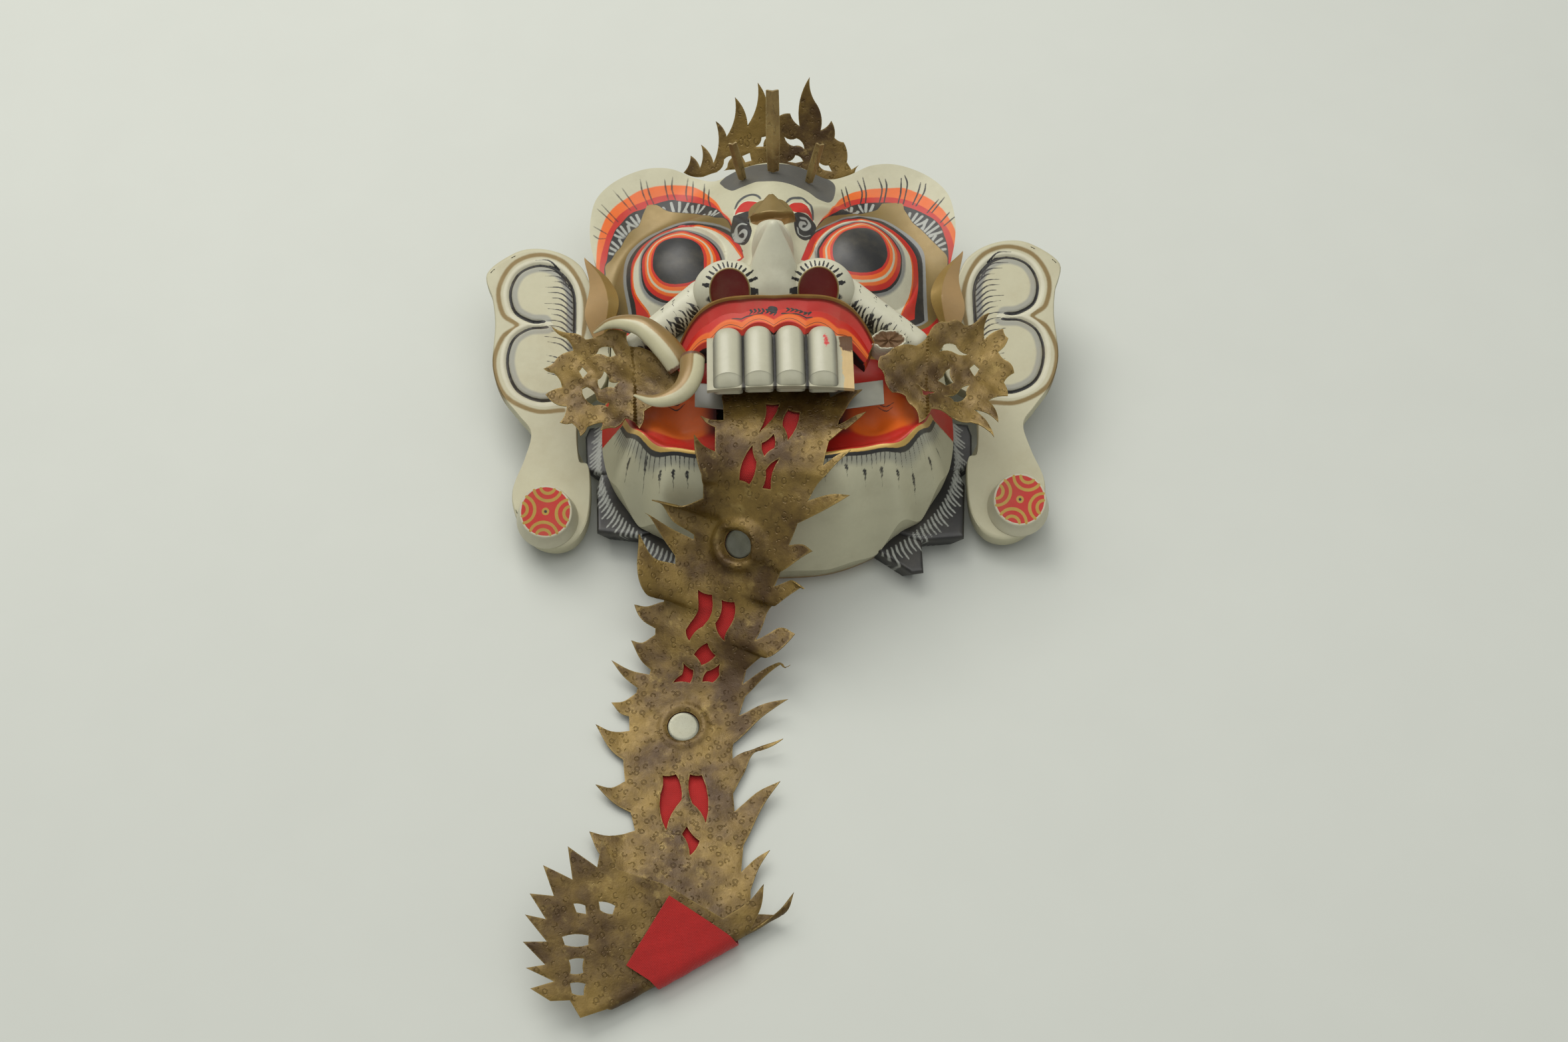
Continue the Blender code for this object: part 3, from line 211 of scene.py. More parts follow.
def grid_faces(rows: int, columns: int, around: bool = False) -> Array:
    """Quads of a grid of points, rows after one another, closed across the columns when around is set."""
    index = np.arange(rows * columns).reshape(rows, columns)
    if around:
        index = np.hstack([index, index[:, :1]])
    corners = (index[:-1, :-1], index[:-1, 1:], index[1:, 1:], index[1:, :-1])
    return np.stack([c.ravel() for c in corners], axis=1)


def turned_out(points: Array, faces: list[Array]) -> list[Array]:
    """The faces, all reversed when the body that they close has a negative volume.

    Args:
        points: corners.
        faces: arrays of quads or triangles.

    Returns:
        The same arrays with the outside outward.
    """
    centre = points.mean(axis=0)
    volume = 0.0
    for block in faces:
        p = points[block] - centre
        for i in range(1, block.shape[1] - 1):
            volume += np.einsum("ij,ij->i", p[:, 0], np.cross(p[:, i], p[:, i + 1])).sum()
    return faces if volume > 0 else [block[:, ::-1] for block in faces]


@dataclass
class Surface:
    """Points in millimetres, arrays of faces, and numbers at the points that the finishes read."""

    points: Array
    faces: list[Array]
    fields: dict[str, Array] = field(default_factory=dict)

    def make(self, name: str, finish: bpy.types.Material, nodes: Sequence[str] = (), slot: str = "",
             smooth: bool = True) -> bpy.types.Object:
        """Turns the surface into a piece of the row.

        Args:
            name: the piece's name.
            finish: its material.
            nodes: CAD nodes that it stands for.
            slot: material slot of the record; not used.
            smooth: shades it smooth, with sharp edges past SHARP_ANGLE.

        Returns:
            The object, riding on the root.
        """
        mesh = bpy.data.meshes.new(name)
        faces = [face for block in self.faces for face in block.tolist()]
        mesh.from_pydata(to_row(self.points).tolist(), [], faces)
        for key, values in self.fields.items():
            numbers = mesh.attributes.new(key, "FLOAT", "POINT").data
            numbers.foreach_set("value", np.asarray(values, np.float32))
        mesh.materials.append(finish)
        if smooth:
            mesh.shade_smooth()
            mesh.set_sharp_from_angle(angle=SHARP_ANGLE)
        made = bpy.data.objects.new(name, mesh)
        bpy.context.scene.collection.objects.link(made)
        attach(made, "root")
        if nodes:
            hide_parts(*nodes)
        LOG.info("%s: %d points", name, len(self.points))
        return made


def lofted(rings: Sequence[Array]) -> Surface:
    """Closed body through rings of equal length, each end closed by a fan about the ring's middle."""
    n = len(rings[0])
    count = len(rings)
    stack = np.vstack([*rings, rings[0].mean(axis=0)[None], rings[-1].mean(axis=0)[None]])
    j = np.arange(n)
    k = (j + 1) % n
    top = (count - 1) * n
    start = np.stack([np.full(n, count * n), k, j], axis=1)
    end = np.stack([np.full(n, count * n + 1), top + j, top + k], axis=1)
    return Surface(stack, turned_out(stack, [grid_faces(count, n, True), start, end]))


def unit(vectors: Array) -> Array:
    """Vectors of length one."""
    return vectors / np.maximum(np.linalg.norm(vectors, axis=-1, keepdims=True), 1e-9)


# Form of the carved face

def face_outline() -> tuple[Array, Array]:
    """Angles and radii of the face's outline about its middle."""
    loop = FACE_RIGHT_EDGE + [(-x, y) for x, y in reversed(FACE_RIGHT_EDGE[1:-1])]
    curve = spline(loop, 12, closed=True) - np.array(FACE_MIDDLE)
    angle = np.arctan2(curve[:, 1], curve[:, 0])
    order = np.argsort(angle)
    return angle[order], np.hypot(curve[:, 0], curve[:, 1])[order]


OUTLINE = face_outline()


def edge_radius(angle: Array) -> Array:
    """Radius of the face's outline in each direction."""
    return np.interp(angle, OUTLINE[0], OUTLINE[1], period=2 * math.pi)


def plan_ring(angle: Array, share: Array | float) -> Array:
    """Plan points at a share of the outline's radius."""
    radius = edge_radius(angle) * share
    return np.array(FACE_MIDDLE) + np.stack([np.cos(angle), np.sin(angle)], axis=1) * radius[:, None]


def thin_plate(points: Sequence[Point]) -> tuple[Array, Array]:
    """Weights of the thin-plate surface through points: a sum of r^2 log r bumps and a plane."""
    p = np.array(points, float)
    xy, z = p[:, :2] / 100.0, p[:, 2]
    gap = np.linalg.norm(xy[:, None] - xy[None], axis=2)
    kernel = np.where(gap > 0, gap**2 * np.log(np.maximum(gap, 1e-9)), 0.0)
    flat = np.column_stack([np.ones(len(p)), xy])
    system = np.block([[kernel + 0.002 * np.eye(len(p)), flat], [flat.T, np.zeros((3, 3))]])
    return xy, np.linalg.solve(system, np.concatenate([z, np.zeros(3)]))


SKIN = thin_plate(SKIN_HEIGHTS + [(-x, y, z) for x, y, z in SKIN_HEIGHTS if x > 0])


def skin_base(x: Array, y: Array) -> Array:
    """Height of the plain skin: the thin-plate surface through the given heights."""
    xy, weights = SKIN
    p = np.stack([np.ravel(x), np.ravel(y)], axis=1) / 100.0
    z = weights[-3] + p @ weights[-2:]
    for centre, weight in zip(xy, weights[:-3]):
        gap = np.maximum(((p - centre) ** 2).sum(axis=1), 1e-12)
        z = z + weight * 0.5 * gap * np.log(gap)
    return z.reshape(np.shape(x))


def eye_reach(x: Array, y: Array, side: str) -> Array:
    """Distance from an eye's middle, in shares of the ball's radii."""
    eye = EYES[side]
    return np.hypot((x - eye[0]) / EYE_SIZE[0], (y - eye[1]) / EYE_SIZE[1])


def lip_side(x: Array, y: Array) -> Array:
    """Signed distance to the lower lip's crest, negative toward the mouth."""
    line = spline(LIP_LINE, 6)
    away = chain_distance(np.abs(x), y, line)
    return np.where(y > np.interp(np.abs(x), line[:, 0], line[:, 1]), -away, away)


def skin(x: Array, y: Array) -> Array:
    """Height of the carved front: the plain skin with brow bands, lower lip, mouth, ornament and eyes.

    Each brow band is a bell over the eye's reach, the lip a bell over the distance to its crest, and an
    eye is an ellipsoid that runs out into a straight slope.
    """
    z = skin_base(x, y)
    mound = np.full(np.shape(x), -1e3)
    turn, fall = EYE_APRON
    for side, eye in EYES.items():
        away = eye_reach(x, y, side)
        band = np.exp(-(((away - BROW_BAND[0]) / BROW_BAND[1]) ** 2))
        z = z + BROW_BAND[2] * band * smoothstep(100, 120, y)
        ball = eye[2] + EYE_SIZE[2] * np.sqrt(1 - np.minimum(away, turn) ** 2)
        mound = np.maximum(mound, ball - fall * np.maximum(away - turn, 0))
    line = spline(LIP_LINE, 6)
    lip = np.interp(np.abs(x), line[:, 0], line[:, 1])
    away = chain_distance(np.abs(x), y, line)
    z = z + LIP_RIDGE[0] * np.exp(-((away / LIP_RIDGE[1]) ** 2)) * (1 - smoothstep(88, 98, np.abs(x)))
    sink = MOUTH_SINK * smoothstep(2, 12, y - lip) * (1 - smoothstep(40, 52, y))
    z = z - sink * (1 - smoothstep(78, 92, np.abs(x)))
    gem = region_field(x, y, np.array(ORNAMENT, float))
    z = z + ORNAMENT_HEIGHT * (1 - smoothstep(-1.0, 2.0, gem))
    return np.maximum(z, mound)
# Paint edges, as plan points about each eye from the pupil outward

EYE_EDGES = {
    "left": {
        "pupil": [
            (-76.3, 137.1), (-75.9, 145), (-73.9, 152), (-69.7, 156), (-63.7, 157), (-58.2, 156.2),
            (-51.9, 154), (-46.9, 149.5), (-44.5, 142.4), (-44.1, 135.8), (-44.5, 129.7), (-47.1, 125),
            (-52.1, 122.1), (-58.3, 120.9), (-64.5, 121.5), (-69.6, 124), (-73.3, 128.5), (-75.4, 132.9),
        ],
        "iris": [
            (-83.3, 142.4), (-82.6, 150.4), (-79.4, 155.7), (-75.2, 160.2), (-69, 162.8), (-63.5, 164.7),
            (-57.2, 165.8), (-51.6, 162.1), (-46.2, 159.1), (-40.7, 155.2), (-36.6, 149.9), (-34.1, 143.4),
            (-33.8, 137.3), (-35.6, 127.5), (-41.9, 118.5), (-50.2, 113.3), (-56.4, 112), (-63.5, 112.3),
            (-69.8, 114.5), (-75.6, 118.9), (-79.9, 124.6), (-82.4, 131.9),
        ],
        "ring": [
            (-84.2, 143.4), (-83.5, 152.4), (-80.4, 158.7), (-76, 163.3), (-69.5, 165.1), (-63.5, 166.5),
            (-57.2, 166.2), (-51.2, 163.2), (-45.7, 160.2), (-40.3, 156.6), (-36, 151.6), (-33.3, 145.2),
            (-32.5, 138.1), (-34.3, 123.5), (-41, 114.1), (-49.4, 112), (-56.5, 110.7), (-63.5, 111.3),
            (-70.6, 113.5), (-77, 118.3), (-81.2, 124.3), (-83.5, 131.9),
        ],
        "shade": [
            (-85.4, 144.6), (-84.5, 153.7), (-81.7, 162.5), (-77.1, 168.6), (-70.6, 170), (-63.7, 170.1),
            (-57.2, 168.3), (-50.8, 166.1), (-45, 163.6), (-39.5, 160.4), (-34.5, 155.2), (-31.6, 147.8),
            (-30.4, 139.2), (-31.3, 124), (-38.9, 110.1), (-48.9, 106.9), (-56.5, 108.9), (-63.6, 109.7),
            (-71.6, 112.1), (-78.7, 117.6), (-82.9, 124.2), (-85.1, 132.2),
        ],
        "sclera": [
            (-20.7, 136.9), (-23.6, 146.5), (-27.3, 157.2), (-32.4, 167.1), (-38, 174.8), (-44, 180.5),
            (-50.5, 184.1), (-56.8, 180.9), (-61.8, 176.9), (-66.6, 168.9), (-72.1, 166.1), (-77.8, 164),
            (-82.5, 160.6), (-85.9, 154.8), (-88.4, 149.4), (-89.2, 141.8), (-88.9, 133.5), (-87.3, 126.3),
            (-83.9, 119.3), (-79.7, 112.7), (-77.3, 107.3),
        ],
        "rim": [
            (-19, 134.6), (-21.4, 149.4), (-26.9, 161.8), (-32.4, 170.2), (-37.9, 176.6), (-44, 181.6),
            (-49.6, 184.9), (-55.3, 186.8), (-61.4, 187.8), (-67.1, 179.4), (-73.4, 175.3), (-78.9, 170.8),
            (-84.1, 166.7), (-87.9, 160.3), (-90.3, 153.2), (-91, 144.3), (-90.9, 135.3), (-90, 128.3),
            (-88.3, 121.9), (-87.5, 116.6), (-87.1, 112.8),
        ],
        "liner": [
            (-19.4, 142), (-23.5, 157.2), (-28.1, 167.3), (-35.3, 175.9), (-44, 182.6), (-52.6, 187.3),
            (-59.2, 188.9), (-67.4, 187.5), (-73.6, 179.4), (-80.5, 175.6), (-86.9, 170.6), (-91.1, 163.5),
            (-93.3, 155.6), (-94, 147.6), (-93.8, 137.9), (-92.7, 130.3), (-91.4, 123.1), (-90.2, 115.9),
        ],
        "lid": [
            (-22.6, 158.3), (-26.8, 167), (-32.3, 174.1), (-37.9, 179.5), (-43.9, 183.8), (-49.6, 187.1),
            (-55.3, 190.3), (-61.5, 192.5), (-67.6, 191.7), (-74.1, 188.7), (-78.8, 186.2), (-84.4, 182),
            (-89.9, 176), (-93.7, 169.5), (-95.5, 160.2), (-96.1, 150), (-95.9, 139.9), (-94.9, 132.2),
            (-93.6, 124.6), (-92.4, 117.1),
        ],
        "gold": [
            (-25.1, 163.7), (-26.8, 167.9), (-28.8, 174.2), (-32.2, 178.9), (-37.8, 183.2), (-43.9, 190.4),
            (-49.7, 197.3), (-56.3, 201.4), (-61.6, 203.8), (-66, 205.3), (-70.3, 207.5), (-74.2, 210.7),
            (-77.3, 211.8), (-81.6, 211.3), (-82.9, 208.4), (-84.7, 203.8), (-85.9, 199.1), (-87.6, 194.7),
            (-91, 191.8), (-94, 187.5), (-96.5, 181.7), (-98.5, 176.6), (-101.9, 171.5), (-104.4, 166),
            (-108.1, 161.3), (-108.1, 155.9), (-106.7, 141.7), (-101.7, 123),
        ],
        "black": [
            (-25.1, 164.6), (-28.4, 174.3), (-31.4, 179.4), (-35.3, 191.5), (-41.8, 200.3), (-48.4, 207.5),
            (-55.5, 211.7), (-61.6, 214), (-66, 214.8), (-72.5, 213.6), (-79, 211.3), (-84.7, 208.3),
            (-90.3, 206.1), (-94.6, 202.1), (-98.8, 195.5), (-102.1, 190.1), (-103.7, 184.9),
            (-105.4, 178.9), (-106.6, 172), (-107.3, 165.8), (-108.6, 161.2), (-108.9, 155.9),
            (-108, 141.9), (-103.9, 124.1),
        ],
        "red": [
            (-25.1, 165), (-28, 174.4), (-30.9, 181.4), (-37, 197.5), (-41.8, 206.2), (-47.6, 213.4),
            (-54.1, 217.1), (-61.6, 218.5), (-67.7, 218.7), (-74.2, 217.5), (-79, 216.1), (-84.7, 213.7),
            (-90.3, 211), (-96.3, 206.4), (-101.4, 199.9), (-104.7, 192.2), (-107.2, 186), (-108.8, 179),
            (-110.4, 171.6), (-111.6, 164.1), (-111.9, 156.5), (-111.4, 142.6),
        ],
        "orange": [
            (-25.1, 165.5), (-27.5, 174.5), (-31.4, 183.9), (-34.8, 196), (-38.3, 205), (-44.1, 217),
            (-49.8, 222.7), (-55.4, 224.6), (-61.5, 225.1), (-67.6, 225.1), (-74.2, 224.7), (-79, 223.9),
            (-87.7, 221.2), (-96.3, 214.9), (-102.3, 209.1), (-106.9, 202), (-109.4, 195.6),
            (-111.4, 188.5), (-113, 180.6), (-113.8, 172.9), (-114.1, 164), (-114.5, 156.6),
            (-114.5, 143.1),
        ],
    },
    "right": {
        "pupil": [
            (37, 146.1), (39.4, 152.5), (43.8, 158.3), (48.9, 161.5), (54.5, 163.6), (60.6, 164.9),
            (66, 163), (69.2, 157.8), (71, 151.4), (71.5, 144.1), (69.9, 137.6), (66.7, 132.2),
            (61.5, 128.4), (56, 126.8), (50.5, 126.7), (45.6, 127.9), (40.3, 131.6), (37.2, 137.8),
        ],
        "iris": [
            (28.5, 145.5), (30.6, 151.3), (34.1, 156.8), (38.9, 161.8), (44.1, 165.8), (49.3, 169.3),
            (53.9, 175.1), (60, 181.8), (65.8, 177.7), (71, 171.5), (75.4, 165.5), (78.3, 159.2),
            (80.5, 152.9), (80.2, 143.6), (78.7, 136), (75.6, 128.8), (70.7, 122.5), (64.2, 118.6),
            (57.8, 117), (51.5, 116.7), (40, 119.9), (31.1, 129.2),
        ],
        "ring": [
            (27.3, 146.3), (29.6, 152.7), (33.3, 158.7), (38.4, 163.4), (43.7, 167.1), (49.2, 170.4),
            (54.1, 177.1), (60.1, 183.9), (66.4, 180.2), (71.6, 173.6), (76, 167.7), (79.1, 161.2),
            (81.2, 153.8), (81.1, 144.5), (79.9, 135.9), (76.5, 127.8), (71.5, 121.5), (65, 117.6),
            (57.8, 115.7), (51.5, 115.4), (39, 117), (29.3, 126.3),
        ],
        "shade": [
            (25.8, 145.8), (28.1, 153.7), (32.1, 159.6), (37.3, 164.9), (43, 169), (48.7, 172.8),
            (54.5, 183.1), (60.9, 188.8), (67.7, 185.5), (73.7, 177.7), (78.4, 170.6), (81.9, 163.5),
            (83.6, 156), (83.7, 145.9), (82.1, 136.3), (78.7, 128), (73.3, 121), (66.3, 116.2),
            (57.8, 113.6), (51.5, 113.2), (37.1, 111), (27.6, 123.6),
        ],
        "sclera": [
            (21.6, 134.4), (24.5, 144.7), (26.9, 154.8), (30.5, 161.1), (35.7, 166.2), (41.8, 171.1),
            (47.7, 178.1), (54.8, 188.1), (61.4, 189.5), (67.9, 188.9), (73.7, 183.2), (78.9, 176.7),
            (83.2, 169.4), (86.7, 161.5), (87.9, 152.8), (87.8, 143.3), (86.9, 133.7), (84.8, 125.1),
            (81.4, 117.3), (77.9, 107.3),
        ],
        "rim": [
            (16.5, 130.7), (18.9, 140.4), (22.2, 153.2), (26.3, 163.3), (32.6, 172.2), (39.4, 180.3),
            (46.1, 186.2), (54, 189.3), (61, 191.2), (68.2, 193), (75, 189.5), (80.8, 184.5), (86.1, 177.5),
            (90, 169.8), (92.1, 162.1), (92.3, 152), (91.9, 140.1), (90.6, 128.8), (88.9, 120.3),
            (88.1, 111.7),
        ],
        "liner": [
            (21.9, 155.4), (27.3, 166.2), (36.7, 177.6), (44.7, 185.7), (53.1, 189.9), (61.2, 194.6),
            (69.6, 195.3), (76.9, 191.5), (83.5, 185.4), (89.2, 178.3), (93.1, 171.9), (95.3, 164.6),
            (95.8, 157.2), (95.3, 145.3), (94.6, 129.9), (94.6, 112.9),
        ],
        "lid": [
            (24.6, 162.7), (29.1, 169.7), (36.7, 178.9), (44.8, 186.8), (53.2, 191.1), (61.4, 196.7),
            (69.7, 197.1), (77, 193.8), (83.6, 188.3), (89.8, 181.7), (94.2, 175.1), (97.2, 167.7),
            (97.6, 158.4), (97.3, 146.1), (96.9, 130.9), (96.9, 113.7),
        ],
        "gold": [
            (26.5, 166.8), (29.2, 172.6), (34.2, 181.4), (41.7, 187), (50.6, 191.6), (59.8, 199.6),
            (68.3, 204.3), (71.1, 208.2), (73.3, 209.8), (84.6, 209.4), (86.2, 204.8), (88.5, 200),
            (91.3, 193.7), (96.5, 186.7), (101.6, 178.7), (107.5, 169.9), (111.9, 163), (110.9, 151.7),
            (108.5, 137.7), (104.1, 120.1),
        ],
        "black": [
            (26.9, 168.2), (31.1, 177.5), (36.9, 184.6), (43.6, 191.4), (51.2, 203.4), (60.2, 208.9),
            (68.5, 210.2), (77.7, 210.2), (86.3, 207.3), (93.9, 203.4), (100.9, 197.7), (105.4, 192.9),
            (109.3, 186.2), (111, 179.2), (112.4, 172.4), (112.8, 164.8), (111.8, 151.7), (109.4, 137.9),
        ],
        "red": [
            (27.4, 169.1), (31.5, 178.8), (36.5, 185.1), (44, 199.9), (51.4, 208.9), (60.3, 213.4),
            (68.7, 214.2), (77.8, 214.1), (86.5, 212.2), (94.1, 208.4), (101.1, 202.5), (106.4, 196.4),
            (110.7, 189.6), (114.2, 182.4), (116.3, 173.6), (116.7, 164.7), (115.7, 152), (113.7, 138.7),
        ],
        "orange": [
            (27.8, 170), (32, 180), (36.1, 186), (38.8, 192), (44.3, 206.8), (51.7, 215.9), (60.6, 219.5),
            (68.9, 220.4), (78.1, 220.6), (86.8, 220.3), (95.3, 216.2), (100.8, 212.4), (106.1, 207.2),
            (111.3, 199.6), (114.7, 192), (117.7, 184), (119, 175.5), (118.8, 164.8), (117.8, 152.1),
            (116.8, 139.2),
        ],
    },
}
FOREHEAD = {
    "crown": [
        (-34, 224.2), (-30.9, 227.5), (-25.6, 231.4), (-17.7, 231), (-12, 231.5), (-4.2, 230.6),
        (8.5, 231.2), (15, 231.9), (22, 230.5), (29.4, 230.4), (35.5, 227.6), (39.8, 224.8), (41.7, 218.8),
        (39.8, 204.5), (36.5, 197.5), (33, 196.6), (28.3, 197.4), (23.2, 201.1), (16, 203.5), (10, 204.9),
        (2.7, 205.6), (-4.5, 206.1), (-10.5, 207.6), (-16.6, 206.7), (-20.9, 206.2), (-25.7, 206.1),
        (-30, 212.8), (-32.2, 218.7),
    ],
    "gem": [
        (-1, 185.3), (6.1, 185), (11.1, 178.5), (13.7, 165.3), (11, 160.2), (5.9, 157.1), (-1.6, 158.7),
        (-8.2, 160.5), (-14, 165.2), (-15.6, 173.8), (-14.7, 179.9), (-9.6, 184.3),
    ],
    "gemlip": [
        (-15.7, 172.5), (-9.8, 167.4), (-3.5, 167.4), (2.8, 166.8), (13.7, 165.3), (11, 160.2),
        (5.9, 157.1), (-1.6, 158.7), (-8.2, 160.5), (-14, 165.2),
    ],
    "moon_left": [
        (-24.1, 177.4), (-23.7, 182.5), (-21, 186.9), (-18, 188.4), (-14.6, 187.3), (-9.6, 183.6),
        (-12.6, 181.5), (-15.2, 177.6), (-22, 180),
    ],
    "moon_right": [
        (9.8, 178.2), (12.5, 183.4), (15.5, 185.3), (19.3, 186), (22.6, 180.2), (24.6, 177.2),
        (25.4, 173.2), (22.4, 175.5), (19.4, 174.5), (13.8, 171.7),
    ],
    "lobe_left": [
        (-25.8, 172.8), (-24.1, 177.4), (-15.2, 177.6), (-15.3, 166.5), (-13.7, 156.1), (-15.5, 147.4),
        (-18.1, 146.3), (-21.4, 150.6), (-25.2, 157.1), (-27.3, 164.7),
    ],
    "lobe_right": [
        (13.4, 170.1), (21.1, 174.5), (25.4, 173.2), (27.4, 169.1), (24.5, 159.7), (20.5, 153.2),
        (16.7, 152.3), (14.2, 154.4), (13.1, 159.5),
    ],
    "arc1": [
        (-24.1, 185.5), (-21.9, 190.7), (-17.5, 193.8), (-12.8, 193.5), (-9.5, 190.7), (-7.8, 187.2),
    ],
    "arc2": [
        (8.6, 182.8), (11.7, 188), (15.6, 190.4), (19.5, 191.6), (22.8, 187.2), (25.1, 180.4),
        (25.4, 174.7),
    ],
    "spiral_left": [
        (-17, 163.1), (-20.4, 165.4), (-23.4, 165.1), (-23.8, 162.5), (-23.5, 158.7), (-21.8, 154.9),
        (-19.7, 152.4), (-18, 152.4), (-17.5, 155.7), (-19.2, 158.9), (-20.9, 159.3),
    ],
    "spiral_right": [
        (17.2, 169), (21, 171.4), (23.1, 169), (21.3, 164.4), (18.7, 161.9), (17, 162.7), (17.9, 166),
        (20.1, 167.8),
    ],
    "outer_right": [
        (15.2, 160.1), (16, 155.9), (19.8, 156.3), (23.7, 160.3),
    ],
    "outer_left": [
        (-26, 163.6), (-24.4, 156.9), (-21.4, 152.3), (-18.5, 149.7),
    ],
}
BROW_HAIRS = [
    [(-104.1, 221.1), (-92.4, 206.9)], [(-98.1, 223.1), (-88.6, 208.2)],
    [(-86.3, 229.4), (-84.7, 220.3), (-81.2, 211.3)], [(-82.4, 228.4), (-80.3, 219.4), (-77.3, 211.8)],
    [(-70.2, 229), (-69.4, 222), (-67.7, 214.4)], [(-65, 230.4), (-65.5, 222.4), (-62.9, 214.1)],
    [(-54.9, 229.9), (-56.3, 219.5), (-55.5, 212.8)], [(-51.5, 228), (-52.4, 210)],
    [(-44.1, 225.5), (-44.9, 203.2)], [(-41, 219.6), (-41.4, 207.5), (-39.6, 195.3)],
    [(-114.2, 205), (-103.4, 195.2)], [(-111.3, 208.7), (-100.5, 196.8)],
    [(-116.1, 190.5), (-107.1, 185.5)], [(-116.1, 183.9), (-113, 181.6), (-108.4, 182.1)],
    [(45.6, 218.4), (47.5, 200.7)], [(48.4, 221.4), (51.1, 202.7)],
    [(56.4, 226.3), (59.2, 217.4), (57.4, 206.5)], [(60, 228.4), (61.8, 217.5), (61.1, 209.6)],
    [(70.5, 227.5), (72.4, 219.8), (70.3, 210.2)], [(74.8, 226.5), (75.5, 221.1), (73.3, 210.3)],
    [(85.3, 227.2), (84.5, 217.1), (82.5, 209.6)], [(87.6, 229), (89.1, 222.5), (85.9, 208.8)],
    [(97.8, 223.2), (95.8, 216.2), (91.9, 207.7)], [(101.2, 222.3), (99.6, 215.6), (94, 206.4)],
    [(108.8, 208.7), (101, 199.8)], [(112.7, 209.6), (104, 199.1)], [(115.4, 197.1), (109, 190)],
    [(118.6, 193.1), (111, 187)],
]
BROW_CURLS = [
    (-39.2, 189.8, 4.4), (-50.2, 203, 5.2), (-62.9, 208.7, 6.4), (-89, 200, 4.8), (-98.3, 189.7, 4.8),
    (-102.8, 176.1, 5.2), (49.6, 198.9, 4.8), (63.1, 205.3, 5.2), (94, 196.6, 4.8), (104.2, 187.8, 5.6),
    (99.3, 184, 3.6), (107.3, 174.1, 4.8),
]


# Finishes

class Nodes:
    """A shader tree with short calls for the nodes that the finishes use."""

    def __init__(self, tree: bpy.types.NodeTree) -> None:
        """Keeps the tree."""
        self.tree = tree

    def add(self, kind: str, **settings: object) -> bpy.types.Node:
        """Adds a node and sets its properties."""
        node = self.tree.nodes.new(kind)
        for key, value in settings.items():
            setattr(node, key, value)
        return node

    def feed(self, socket: bpy.types.NodeSocket, value: object) -> None:
        """Links a socket into another, or sets its value.

        Args:
            socket: input to fill.
            value: an output socket, a number or a colour.
        """
        if isinstance(value, bpy.types.NodeSocket):
            self.tree.links.new(value, socket)
        elif isinstance(value, tuple) and len(value) == 3 and socket.type == "RGBA":
            socket.default_value = (*value, 1.0)
        else:
            socket.default_value = value

    def math(self, operation: str, *values: object, clamp: bool = False) -> bpy.types.NodeSocket:
        """Result of a Math node on the values."""
        node = self.add("ShaderNodeMath", operation=operation, use_clamp=clamp)
        for socket, value in zip(node.inputs, values):
            self.feed(socket, value)
        return node.outputs[0]

    def times(self, first: object, second: object, clamp: bool = False) -> bpy.types.NodeSocket:
        """Product of two values."""
        return self.math("MULTIPLY", first, second, clamp=clamp)

    def plus(self, first: object, second: object, clamp: bool = False) -> bpy.types.NodeSocket:
        """Sum of two values."""
        return self.math("ADD", first, second, clamp=clamp)

    def minus(self, first: object, second: object, clamp: bool = False) -> bpy.types.NodeSocket:
        """First value less the second."""
        return self.math("SUBTRACT", first, second, clamp=clamp)

    def step(self, value: object, low: object, high: object) -> bpy.types.NodeSocket:
        """Smooth rise of a value from 0 at low to 1 at high."""
        node = self.add("ShaderNodeMapRange", interpolation_type="SMOOTHSTEP")
        for key, given in (("Value", value), ("From Min", low), ("From Max", high)):
            self.feed(node.inputs[key], given)
        return node.outputs[0]

    def mix(self, share: object, first: object, second: object, blend: str = "MIX") -> bpy.types.NodeSocket:
        """Colour between two colours.

        Args:
            share: share of the second colour.
            first: colour below.
            second: colour above.
            blend: how the second is laid on the first.

        Returns:
            The colour's socket.
        """
        node = self.add("ShaderNodeMix", data_type="RGBA", blend_type=blend)
        for index, value in ((0, share), (6, first), (7, second)):
            self.feed(node.inputs[index], value)
        return node.outputs[2]

    def noise(self, scale: object, detail: float = 4.0, rough: float = 0.55,
              vector: object = None) -> bpy.types.NodeSocket:
        """Fractal noise on the object's own coordinates, or on a given vector.

        Args:
            scale: features to the metre.
            detail: octaves.
            rough: weight of the finer octaves.
            vector: coordinates in place of the object's.

        Returns:
            The noise's value, about 0.5 on average.
        """
        node = self.add("ShaderNodeTexNoise")
        self.feed(node.inputs["Vector"], vector or self.place())
        self.feed(node.inputs["Scale"], scale)
        self.feed(node.inputs["Detail"], detail)
        self.feed(node.inputs["Roughness"], rough)
        return node.outputs["Fac"]

    def place(self) -> bpy.types.NodeSocket:
        """The object's own coordinates, in metres."""
        return self.add("ShaderNodeTexCoord").outputs["Object"]

    def stretched(self, scale: tuple[float, float, float]) -> bpy.types.NodeSocket:
        """The object's coordinates, each multiplied by its scale."""
        node = self.add("ShaderNodeMapping")
        self.feed(node.inputs["Vector"], self.place())
        node.inputs["Scale"].default_value = scale
        return node.outputs[0]

    def read(self, name: str) -> bpy.types.NodeSocket:
        """Value of an attribute of the mesh."""
        return self.add("ShaderNodeAttribute", attribute_name=name).outputs["Fac"]

    def group(self, made: bpy.types.NodeTree, **values: object) -> bpy.types.Node:
        """Places a node group and fills its inputs."""
        node = self.add("ShaderNodeGroup", node_tree=made)
        for key, value in values.items():
            self.feed(node.inputs[key.replace("_", " ")], value)
        return node


